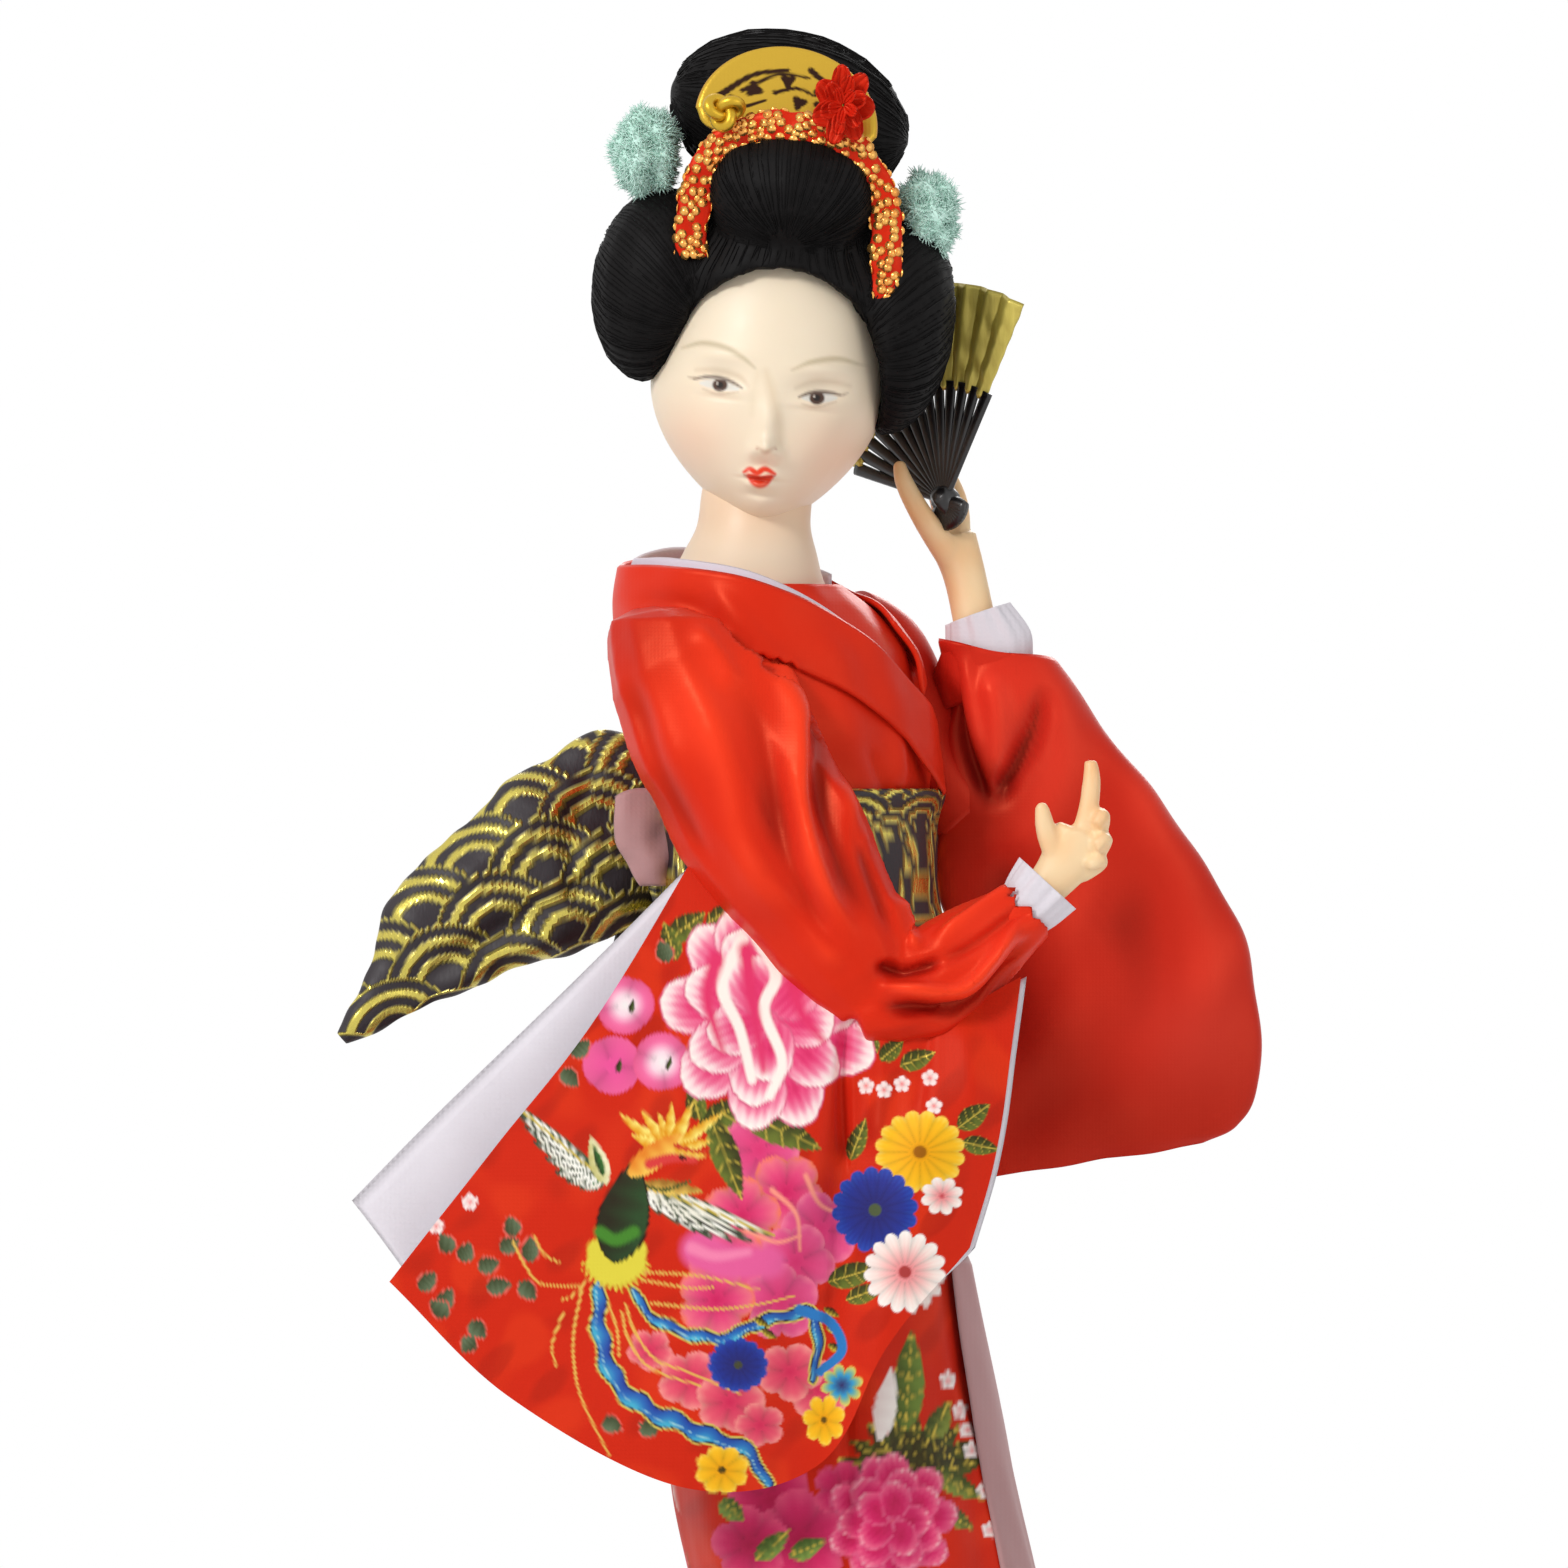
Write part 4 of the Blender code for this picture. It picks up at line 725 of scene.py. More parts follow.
def phoenix(paint):
    for line in STREAMERS:
        stroke(paint, line, 2.6, (222, 178, 84), 0.7, 0.3)
    tail(paint, LONG_TAIL, 18)
    tail(paint, CURLED_TAIL, 12, (18, 74, 160), (80, 190, 214))
    for x, y in ((762, 1322), (770, 1334), (832, 1312), (834, 1330), (836, 1348)):
        leaf(paint, (x - 8, y - 4), (x + 8, y + 5), 9, (26, 22, 14), (210, 190, 60), vein=False)
    wing(paint, (604, 1180), LEFT_QUILLS, 12, (40, 110, 60))
    leaf(paint, (606, 1184), (590, 1136), 20, (196, 190, 120), (236, 232, 190), vein=False)
    leaf(paint, (604, 1176), (593, 1144), 9, (16, 60, 30), (40, 110, 50), vein=False)
    wing(paint, (646, 1186), RIGHT_QUILLS, 12, (90, 90, 60))
    leaf(paint, (640, 1184), (706, 1192), 16, (150, 104, 40), (226, 190, 90), vein=False)
    stroke(paint, [(640, 1184), (664, 1190), (690, 1181)], 3.0, (60, 84, 40))
    for k in range(17):
        a = math.radians(12 + 9.8 * k)
        tip = (616 + 38 * math.cos(a), 1258 + 36 * math.sin(a))
        leaf(paint, (616, 1256), tip, 9, (196, 176, 40), (238, 222, 90), False)
    collar = [(598, 1250), (600, 1268), (616, 1274), (632, 1266), (636, 1250)]
    stroke(paint, collar, 22, (220, 206, 66), 0.2, 0.0, 3.0)
    leaf(paint, (614, 1262), (636, 1160), 50, (14, 34, 24), (24, 70, 40), vein=False, edge=(12, 16, 14))
    stroke(paint, [(600, 1232), (616, 1240), (634, 1232)], 12, (60, 130, 44), 0.0, 0.0, 4.0)
    for k, tip in enumerate(CREST):
        leaf(paint, (668 + 2 * (k % 3), 1152), tip, 12, (224, 150, 30), (248, 230, 120), vein=False)
    leaf(paint, (628, 1176), (684, 1132), 26, (226, 130, 40), (244, 196, 84), vein=False)
    stroke(paint, [(650, 1164), (672, 1158), (694, 1160)], 11, (214, 60, 60), 0.0, 0.4, 3.0)
    stroke(paint, [(676, 1146), (700, 1152), (712, 1146)], 5, (200, 60, 40), 0.0, 0.8)
    stroke(paint, [(680, 1157), (684, 1158)], 4, (40, 14, 20))


# %% [markdown]
# ## The flowers of the sleeve and the skirt
# They lie where the photograph shows them. The skirt below the picture, and round at the back, is finished
# with more of the same flowers, spread by a fixed rule.


# %% Flowers
DAISY = [(0.0, (190, 60, 70)), (0.22, (236, 150, 150)), (0.7, (250, 226, 216)), (1.0, (252, 246, 238))]
YELLOW = [(0.0, (196, 120, 10)), (0.25, (238, 168, 20)), (0.8, (250, 190, 34)), (1.0, (252, 214, 90))]
BLUE = [(0.0, (70, 80, 60)), (0.15, (20, 40, 110)), (0.7, (14, 50, 140)), (1.0, (26, 76, 176))]
PINK_BALL = [(0.0, (240, 236, 232)), (0.35, (250, 214, 224)), (0.7, (240, 110, 160)), (1.0, (232, 90, 140))]
PALE_ROSE = [(0, (214, 50, 110)), (0.8, (226, 84, 136)), (1, (238, 120, 150))]
CORAL_ROSE = [(0, (206, 40, 84)), (0.7, (230, 90, 110)), (1, (242, 150, 140))]
DEEP_ROSE = [(0, (170, 20, 70)), (0.6, (204, 40, 96)), (1, (224, 80, 120))]
DEEP_PEONY = [(0, (170, 16, 66)), (0.5, (204, 36, 96)), (0.85, (228, 92, 130)), (1, (244, 190, 190))]
PLAIN_PINK = [(0, (232, 80, 150)), (1, (234, 96, 150))]
SLEEVE_BLOSSOM = [(0, (230, 120, 120)), (0.4, (250, 220, 214)), (1, (252, 240, 236))]
SKIRT_BLOSSOM = [(0, (230, 130, 130)), (0.5, (250, 230, 224)), (1, (252, 244, 240))]
ROSE_PLACES = [
    (760, 1150), (786, 1192), (820, 1230), (742, 1216), (796, 1262), (728, 1262), (780, 1302), (716, 1300),
]
CORAL_PLACES = [
    (690, 1380, 34), (730, 1402, 36), (820, 1390, 34), (650, 1350, 24), (790, 1372, 34), (760, 1425, 26),
]
BLOSSOM_PLACES = [
    (470, 1202), (436, 1226), (848, 1050), (866, 1086), (884, 1090), (902, 1084), (930, 1078), (934, 1106),
]
CORAL_VEINS = [
    [(772, 1190), (796, 1214), (800, 1250)], [(806, 1176), (820, 1204), (846, 1216)],
    [(746, 1230), (776, 1242), (800, 1236)],
]
WHITE_VEINS = [
    [(742, 940), (722, 985), (740, 1030), (752, 1080)],
    [(758, 940), (776, 975), (764, 1010), (782, 1060), (770, 1096)],
]
PINK_VEINS = [
    [(716, 960), (708, 1000), (722, 1050)], [(746, 950), (752, 1000), (764, 1070)],
    [(790, 970), (800, 1010), (822, 1040)],
]
SPRAYS = [
    ((420, 1290), (436, 1272)), ((440, 1310), (452, 1288)), ((462, 1262), (470, 1242)),
    ((452, 1252), (440, 1234)), ((478, 1268), (500, 1262)), ((486, 1288), (512, 1284)),
    ((500, 1250), (520, 1240)), ((520, 1282), (536, 1300)), ((470, 1322), (486, 1338)),
    ((448, 1316), (430, 1300)), ((516, 1236), (508, 1216)), ((530, 1262), (530, 1236)),
    ((474, 1338), (462, 1352)), ((602, 1420), (622, 1430)), ((640, 1424), (658, 1434)),
    ((562, 1070), (578, 1086)), ((690, 1010), (706, 990)), ((668, 962), (660, 940)),
    ((700, 1040), (690, 1066)), ((572, 1056), (590, 1040)),
]
LEAVES = [
    ((700, 1130), (748, 1098), 30), ((712, 1120), (742, 1200), 30), ((740, 1110), (822, 1150), 34),
    ((700, 1120), (690, 1085), 22), ((668, 940), (706, 912), 26), ((676, 960), (664, 922), 22),
    ((690, 985), (668, 990), 22), ((706, 924), (742, 902), 20), ((880, 1060), (904, 1040), 20),
    ((900, 1066), (936, 1052), 22), ((878, 1052), (862, 1036), 18), ((958, 1128), (990, 1104), 24),
    ((962, 1142), (1000, 1150), 20), ((828, 1282), (882, 1266), 26), ((846, 1300), (886, 1286), 20),
    ((850, 1160), (866, 1118), 20),
]


def sleeve_flowers(paint):
    place = np.stack([paint.x, paint.y], -1)
    paint.wash(0.5 * smooth(unevenness(place, 90, 71)), (222, 54, 20))
    paint.wash(0.45 * smooth(unevenness(place, 60, 72) - 0.3), (160, 24, 10))
    for k, (x, y) in enumerate(ROSE_PLACES):
        bloom(paint, x, y, 40, 5, ROSE if k % 2 else PALE_ROSE, 0.24, k * 0.9, 1.0, 0.04)
    stroke(paint, [(700, 1250), (730, 1262), (770, 1262)], 38, (226, 92, 150), 0.0, 0.2, 10.0)
    stroke(paint, [(692, 1248), (716, 1256), (748, 1252)], 12, (240, 130, 170), 0.0, 0.4, 6.0)
    for line in CORAL_VEINS:
        stroke(paint, line, 5, (246, 150, 130), 0.0, 0.5, 3.0)
    for x, y, r in CORAL_PLACES:
        bloom(paint, x, y, r, 5, CORAL_ROSE, 0.26, x * 0.1, 0.9, 0.04)
    for x, y, a, stops in (
        (625, 1005, 0.2, PINK_BALL), (612, 1065, 0.9, PLAIN_PINK), (662, 1062, 1.7, PINK_BALL),
    ):
        bloom(paint, x, y, 30, 3, stops, 0.08, a, 1.0)
        leaf(paint, (x + 5, y + 8), (x + 9, y - 6), 7, (20, 30, 16), (60, 90, 40), vein=False)
    for base, tip, wide in LEAVES:
        leaf(paint, base, tip, wide)
    for base, tip in SPRAYS:
        leaf(paint, base, tip, 18, (50, 70, 46), (92, 112, 84), vein=False, edge=(222, 96, 84))
    for x, y in BLOSSOM_PLACES:
        bloom(paint, x, y, 9, 5, SLEEVE_BLOSSOM, 0.3, 0.3)
    peony(paint, 770, 1015, 98, 11, PEONY, 1.08, 0.4)
    for line in WHITE_VEINS:
        stroke(paint, line, 13, (250, 240, 230), 0.0, 0.3, 3.0)
    for line in PINK_VEINS:
        stroke(paint, line, 15, (222, 52, 104), 0.0, 0.6, 8.0)
    phoenix(paint)
    bloom(paint, 738, 1365, 31, 14, BLUE, 0.12, 0.1, 0.9, 0.05, (60, 70, 50))
    bloom(paint, 722, 1470, 28, 8, YELLOW, 0.2, 0.3, 0.9, 0.03, (70, 60, 20))
    bloom(paint, 920, 1152, 46, 16, YELLOW, 0.14, 0.2, 0.92, 0.04, (150, 90, 10))
    bloom(paint, 875, 1210, 44, 16, BLUE, 0.14, 0.1, 1.0, 0.06, (70, 90, 60))
    bloom(paint, 905, 1272, 42, 15, DAISY, 0.2, 0.3, 1.0, 0.05, (170, 60, 60))
    bloom(paint, 942, 1196, 22, 8, DAISY, 0.3, 0.3, 0.9, 0.05)
    stroke(paint, [(800, 1310), (830, 1322), (842, 1350), (820, 1372)], 11, (28, 120, 190), 0.0, 0.2)
    bloom(paint, 842, 1385, 22, 8, [(0, (30, 40, 90)), (0.5, (40, 150, 200)), (1, (240, 210, 80))], 0.4, 0.2)
    bloom(paint, 824, 1420, 22, 7, YELLOW, 0.3, 0.3, 1.2, 0.05, (90, 70, 20))


LOW_LEAVES = [
    ((720, 1500), (744, 1522)), ((756, 1560), (790, 1530)), ((790, 1556), (826, 1540)),
    ((700, 1480), (722, 1470)),
]


def skirt_flowers(paint):
    for angle in np.radians([-165, -145, -125, -105, -88, -70, -52, -34, -15]):
        tip = (912 + 78 * math.cos(angle), 1476 + 66 * math.sin(angle))
        leaf(paint, (912, 1480), tip, 26, (34, 44, 22), (70, 84, 34))
    leaf(paint, (905, 1430), (912, 1330), 34, (60, 84, 34), (104, 132, 56))
    leaf(paint, (880, 1440), (892, 1366), 24, (230, 214, 208), (244, 236, 228), vein=False)
    for base, tip in (((930, 1470), (985, 1500)), ((925, 1500), (975, 1530)), ((930, 1440), (950, 1400))):
        leaf(paint, base, tip, 24, (50, 70, 26), (126, 140, 60))
    for x, y, r in ((770, 1500, 44), (800, 1540, 52), (842, 1490, 30), (750, 1545, 40)):
        bloom(paint, x, y, r, 5, DEEP_ROSE, 0.26, x * 0.2, 1.0, 0.05)
    peony(paint, 892, 1520, 58, 5, DEEP_PEONY)
    for base, tip in LOW_LEAVES:
        leaf(paint, base, tip, 22, (60, 90, 40), (120, 150, 70))
    for x, y in ((960, 1410), (972, 1450), (985, 1490), (990, 1530), (948, 1380), (968, 1430)):
        bloom(paint, x, y, 9, 5, SKIRT_BLOSSOM, 0.3, 0.3)


print("motifs made")

# %% [markdown]
# ## The figure under the clothes
# The same turned body as in the CAD model: stacked rings, each with a centre and two half widths, with the
# front of the body turned towards the right. The garments are fine grids on these rings.

# %% Body rings
FIT, CLOTH = 0.3, 0.9
BOARD_TOP = 14.0
WAIST = np.array([-7.5, 2.0, 200.0])
YAW = math.radians(50)
FORWARD = np.array([math.sin(YAW), -math.cos(YAW), 0.0])
RIGHT = np.array([-math.cos(YAW), -math.sin(YAW), 0.0])
HALF_DEPTH, HALF_WIDTH = 13.0, 16.2


def station(height, x, y, deep, wide, extra):
    """A ring of the body: its height, its middle and its two half widths, with extra all round."""
    return (height, WAIST[0] + x, WAIST[1] + y, HALF_DEPTH + deep + extra, HALF_WIDTH + wide + extra)


def torso_stations(extra):
    shape = [
        (-2.0, 0, 0, 0, 0), (5.0, 0, 0, 0, 0), (12.0, -0.3, -0.1, 1.2, 0.8), (20.0, -1.5, -0.4, 1.6, 1.6),
        (27.0, -3.0, -0.8, 0.4, 2.0), (32.5, -4.5, -1.0, -1.6, -1.2), (36.0, -5.6, -1.2, -3.6, -5.6),
    ]
    return np.array([station(WAIST[2] + z, x, y, deep, wide, extra) for z, x, y, deep, wide in shape])


def skirt_stations(extra):
    shape = [
        (0.02, 0, 0, 0, 0), (0.08, 0.2, 0, 1.4, 0.8), (0.16, 0.6, 0, 3.2, 1.6), (0.26, 1.2, 0, 4.2, 2.2),
        (0.41, 4.8, 0, 6.0, 4.4), (0.52, 9.0, 0, 6.2, 4.6), (0.66, 12.0, 0, 7.2, 5.6),
        (0.80, 11.5, -0.6, 11.5, 10.0), (0.91, 10.0, -1.2, 20.0, 18.0), (1.00, 8.5, -2.0, 28.5, 26.0),
    ]
    drop = WAIST[2] - (BOARD_TOP + FIT + CLOTH)
    return np.array([station(WAIST[2] - drop * t, x, y, deep, wide, extra) for t, x, y, deep, wide in shape])


def rings(stations, angle, swell=None):
    """Rings of the turned body; swell gives each point's share of the ring's size."""
    z, x, y, deep, wide = stations.T
    out = np.ones((len(z), len(angle))) if swell is None else swell
    grid = np.stack([x, y, z], -1)[:, None] + (deep[:, None] * np.cos(angle) * out)[..., None] * FORWARD
    return grid + (wide[:, None] * np.sin(angle) * out)[..., None] * RIGHT


def at_rows(stations, rows):
    """Stations resampled at given shares of the way along them."""
    fine = through(stations, 400)
    share = np.linspace(0, 1, 400)
    return np.stack([np.interp(rows, share, fine[:, k]) for k in range(fine.shape[1])], -1)


def outward(angle, rows):
    """The way straight out of the turned body, for each point of that many rings."""
    return np.tile(np.cos(angle)[:, None] * FORWARD + np.sin(angle)[:, None] * RIGHT, (rows, 1))


def closed_sheet(name, grid, thickness):
    """A thin closed cloth with rounded edges about a grid."""
    down, across = grid.shape[:2]
    square = grid_normals(grid)
    step_d = np.linalg.norm(np.diff(grid, axis=0), axis=-1).mean()
    step_a = np.linalg.norm(np.diff(grid, axis=1), axis=-1).mean()
    i, j = np.meshgrid(np.arange(down), np.arange(across), indexing="ij")
    edge = np.minimum(np.minimum(i, down - 1 - i) * step_d, np.minimum(j, across - 1 - j) * step_a)
    half = thickness / 2 * np.sqrt(1 - (1 - np.clip(edge / (thickness * 0.7), 0, 1)) ** 2)[..., None]
    front, back = (grid + square * half).reshape(-1, 3), (grid - square * half).reshape(-1, 3)
    faces = grid_faces(down, across)
    mesh = mesh_of(name, np.vstack([front, back]), np.vstack([faces, faces[:, ::-1] + down * across]))
    tidy(mesh)
    return mesh


def tidy(mesh, merge=2e-6):
    work = bmesh.new()
    work.from_mesh(mesh)
    bmesh.ops.remove_doubles(work, verts=work.verts, dist=merge)
    bmesh.ops.recalc_face_normals(work, faces=work.faces)
    work.to_mesh(mesh)
    work.free()
    mesh.shade_smooth()


print("body rings ready")

# %% [markdown]
# ## What the CAD already has right
# The board and the two wires only need their finish: black lacquer and drawn steel. The stuffed body is
# soft, so a padded copy stands for it, with lumps where the stuffing presses against the calico.

# %% Board, wires and stuffed body
for node, finish in (("base_board", LACQUER), ("leg_wire_right", STEEL), ("leg_wire_left", STEEL)):
    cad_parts[node].material_slots[0].material = finish


def baked(work):
    """The mesh that a helper object's modifiers make of it. The helper goes."""
    bpy.context.view_layer.update()
    made = bpy.data.meshes.new_from_object(work.evaluated_get(bpy.context.evaluated_depsgraph_get()))
    bpy.data.objects.remove(work)
    made.shade_smooth()
    return made


def melted(joined, voxel, rounds):
    """Shapes that overlap, melted into one even skin of small squares and softened."""
    mesh = bpy.data.meshes.new("melted")
    joined.to_mesh(mesh)
    joined.free()
    work = bpy.data.objects.new("melt_work", mesh)
    bpy.context.scene.collection.objects.link(work)
    even = work.modifiers.new("Even", "REMESH")
    even.mode, even.voxel_size = "VOXEL", voxel * MM
    calm = work.modifiers.new("Calm", "SMOOTH")
    calm.factor, calm.iterations = 0.5, rounds
    return baked(work)


def soft_copy(nodes, voxel, rounds=2, grow=0.0):
    """The shape of one CAD node, or of several melted together, as an even, softened mesh."""
    joined = bmesh.new()
    for node in [nodes] if isinstance(nodes, str) else nodes:
        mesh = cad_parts[node].data.copy()
        tidy(mesh)
        set_points(mesh, points_of(mesh) + grow * normals_of(mesh))
        joined.from_mesh(mesh)
    return melted(joined, voxel, rounds)


body = soft_copy("stuffed_body", 2.4, 2)
body_points = points_of(body)
set_points(body, body_points + normals_of(body) * (0.22 * unevenness(body_points, 9, 1)[:, None] - 0.35))
show("stuffed_padding", body, CALICO, ["stuffed_body"])

# %% [markdown]
# ## Skirt
# The printed skirt hangs from the sash and opens into folds at the hem. Its grid is finer where the
# photograph shows it, so that the printed flowers are sharp there. The front panel laps over, which shows
# as a step.

# %% Skirt
FOLD_TURNS = [(5, 0.6, 0.055), (9, 2.0, 0.03)]


def hem_folds(angle, share):
    """How the rings swell in and out in folds, more and more towards the hem."""
    fall = np.clip((share - 0.55) / 0.45, 0, 1) ** 1.3
    return 1 + fall[:, None] * sum(depth * np.sin(n * angle + a) for n, a, depth in FOLD_TURNS)


def spaced(edges, counts):
    """Values from one edge to the next, with its own count between each two."""
    runs = [np.linspace(a, b, n, endpoint=False) for a, b, n in zip(edges, edges[1:], counts)]
    return np.concatenate(runs + [[edges[-1]]])


skirt_angle = np.radians(spaced([-50, 140, 310], [150, 82]))[:-1]
skirt_share = spaced([0, 0.27, 0.53, 1.0], [14, 124, 92])
skirt_rows = at_rows(skirt_stations(FIT + CLOTH), skirt_share)
skirt = rings(skirt_rows, skirt_angle, hem_folds(skirt_angle, skirt_share))
flat = skirt.reshape(-1, 3)
out = outward(skirt_angle, len(skirt_share))
px, py = seen(flat)
front_facing = out[:, 1] < 0.25
lift = 0.22 * unevenness(flat, 16, 3) + 0.1 * unevenness(flat * [1, 1, 0.3], 7, 4)
for line, width, depth, sharp in (
    ([(838, 1270), (842, 1360), (850, 1460), (846, 1640), (820, 1800)], 9, -0.9, 2.5),
    ([(868, 1290), (874, 1400), (878, 1500), (880, 1640)], 16, 0.7, 1.0),
    ([(934, 1310), (958, 1400), (985, 1500), (1002, 1620), (1030, 1900)], 10, 0.8, 1.6),
    ([(760, 1500), (770, 1640), (750, 1900)], 22, 0.6, 1.0),
    ([(905, 1420), (930, 1560), (940, 1700)], 14, -0.5, 1.5),
):
    lift += front_facing * crease(px, py, line, width, depth, sharp)
flat = flat + out * lift[:, None]
inside = flat.reshape(skirt.shape)[-1] - out[: len(skirt_angle)] * 0.9
lip = np.stack([inside + [0, 0, rise] for rise in (0.1, 3.0, 7.0)])
skirt = np.concatenate([flat.reshape(skirt.shape), lip])
skirt_mesh = mesh_of("skirt", skirt.reshape(-1, 3), grid_faces(*skirt.shape[:2], wrap=True))
print("skirt grid", skirt.shape)


# %% Paint the skirt
PRINT_RED = (202, 34, 12)
PHOTO_TOP = 309.125
UNROLLED_RADIUS = 26


def scatter(paint, x0, x1, y0, y1, seed, step=84):
    """Flowers and leaves spread by a fixed rule over a part of the cloth."""
    rng = np.random.default_rng(seed)
    kinds = [YELLOW, BLUE, DAISY, ROSE, ROSE, DAISY]
    for row, y in enumerate(np.arange(y0, y1, step)):
        for x in np.arange(x0 + (row % 2) * step / 2, x1, step):
            cx, cy = x + rng.uniform(-14, 14), y + rng.uniform(-14, 14)
            a, kind = rng.uniform(0, 2 * math.pi), int(rng.integers(len(kinds) + 1))
            for turn in (a, a + 2.2, a + 4.1):
                tip = (cx + 62 * math.cos(turn), cy + 62 * math.sin(turn))
                leaf(paint, (cx + 18 * math.cos(turn), cy + 18 * math.sin(turn)), tip, 22)
            if kind == len(kinds):
                peony(paint, cx, cy, 46, int(rng.integers(1e6)), PEONY)
            else:
                radius, petals = rng.uniform(24, 38), int(rng.integers(8, 16))
                bloom(paint, cx, cy, radius, petals, kinds[kind], 0.16, a, 1.0, 0.05)


def side_paint(points, around, seed):
    """The same print unrolled round the figure, for the sides and the back."""
    paint = Paint(around, (PHOTO_TOP - points[:, 2]) * PIXELS_PER_MM, PRINT_RED)
    scatter(paint, around.min(), around.max(), paint.y.min(), paint.y.max(), seed)
    return paint


points = skirt.reshape(-1, 3)
around = np.tile(skirt_angle * UNROLLED_RADIUS * PIXELS_PER_MM, len(skirt))
paint = Paint(*seen(points), PRINT_RED)
scatter(paint, 640, 1120, 1640, 2440, 21)
sleeve_flowers(paint)
skirt_flowers(paint)
behind = side_paint(points, around, 22)
facing = outward(skirt_angle, len(skirt))[:, 1]
share = smooth((facing + 0.25) / 0.2)
paint.colour += (behind.colour - paint.colour) * share[:, None]
paint.gold += (behind.gold - paint.gold) * share
paint.store(skirt_mesh)
skirt_piece = show("printed_skirt", skirt_mesh, PRINT, ["kimono_skirt"])
size, area = flat_size(skirt)
print("skirt cut", [round(v, 3) for v in size], "area", round(area, 4))

# %% [markdown]
# ## Lining beside the front panel
# Where the front panel opens, a strip of the mauve lining shows. It is a thin sheet that follows the
# skirt's own rings a little way out, narrow at the top and wide at the hem.

# %% Lining
down = np.linspace(0, 1, 120)
lining_stations = at_rows(skirt_stations(1.5 * FIT + 1.4 * CLOTH)[3:-1], down)
t = down[:, None]
first, last = np.radians(-15 + 14 * t**0.4), np.radians(-58 - 4 * t)
angle = first + (last - first) * np.linspace(0, 1, 26)[None]
height = (lining_stations[:, 0] - BOARD_TOP) / (WAIST[2] - BOARD_TOP)
strip = rings(lining_stations, angle, hem_folds(angle, 1 - height) + 0.01)
lift = 0.12 * unevenness(strip.reshape(-1, 3) * [1, 1, 0.3], 6, 5).reshape(strip.shape[:2]) + 0.25
strip = strip + lift[..., None] * (np.cos(angle)[..., None] * FORWARD + np.sin(angle)[..., None] * RIGHT)
strip_mesh = closed_sheet("lining", strip, 0.5)
lining_piece = show("skirt_lining_strip", strip_mesh, LINING, ["skirt_lining"])
size, area = flat_size(strip)

# %% [markdown]
# ## Bodice
# Red satin over the chest and the back, tucked into the sash. The folds run up from the sash to the collar.

# %% Bodice
BODICE_ROWS, BODICE_SIDES = 64, 170
bodice_angle = np.linspace(0, 2 * math.pi, BODICE_SIDES, endpoint=False)
bodice = rings(at_rows(torso_stations(FIT + CLOTH), np.linspace(0, 1, BODICE_ROWS)), bodice_angle)
flat = bodice.reshape(-1, 3)
out = outward(bodice_angle, BODICE_ROWS)
px, py = seen(flat)
lift = 0.2 * unevenness(flat, 9, 6) - 0.1
for line, width, depth in (
    ([(905, 640), (922, 700), (925, 790)], 7, -0.7), ([(880, 680), (898, 730), (903, 800)], 8, 0.6),
    ([(935, 660), (940, 720), (936, 800)], 7, 0.5), ([(868, 740), (884, 780), (890, 810)], 6, -0.5),
):
    lift += (out[:, 1] < 0.2) * crease(px, py, line, width, depth, 1.6)
flat = flat + out * lift[:, None]
bodice = flat.reshape(bodice.shape)
lips = [bodice[-1] - out[:BODICE_SIDES] * 0.9 + [0, 0, z] for z in (0.0, -3.0)]
bodice = np.concatenate([bodice, np.stack(lips)])
bodice_mesh = mesh_of("bodice", bodice.reshape(-1, 3), grid_faces(*bodice.shape[:2], wrap=True))
bodice_piece = show("satin_bodice", bodice_mesh, RED_SATIN, ["kimono_bodice"])
size, area = flat_size(bodice)

# %% [markdown]
# ## Brocade sash and bow
# The brocade carries the old wave pattern: rows of overlapping circles, each a set of gold rings. For a
# point of the cloth, the rule looks for the nearest row in front whose circle covers it, and draws that
# circle's rings.


# %% Wave pattern
BROCADE_GROUND = (32, 22, 28)


def waves(paint, u, v, radius):
    """Gold rings of overlapping circles, on a cloth with its own u and v in millimetres."""
    gold, done = np.zeros(len(u)), np.zeros(len(u), bool)
    row = np.floor(v / (radius * 0.5))
    for step in range(-2, 1):
        level = row + step + 1
        centre_v = level * radius * 0.5
        offset = np.where(level % 2 == 0, 0.0, radius)
        centre_u = np.round((u - offset) / (2 * radius)) * 2 * radius + offset
        r = np.hypot(u - centre_u, v - centre_v) / radius
        covered = (r < 1) & ~done
        band = np.abs(np.mod(r * 3.6 + 0.3, 1) - 0.5) * 2
        ring = smooth((band - 0.42) / 0.22) * (r > 0.3)
        gold[covered] = ring[covered]
        done |= covered
    paint.gold[:] = gold
    glint = 0.5 + 0.5 * np.sin(u * 9.0) * np.sin(v * 9.0)
    paint.colour += (gold * 0.1 * glint)[:, None]


def wave_piece(name, mesh, u, v, radius, replaces):
    points = points_of(mesh)
    paint = Paint(points[:, 0], points[:, 2], BROCADE_GROUND)
    waves(paint, u, v, radius)
    paint.store(mesh)
    return show(name, mesh, BROCADE, replaces)


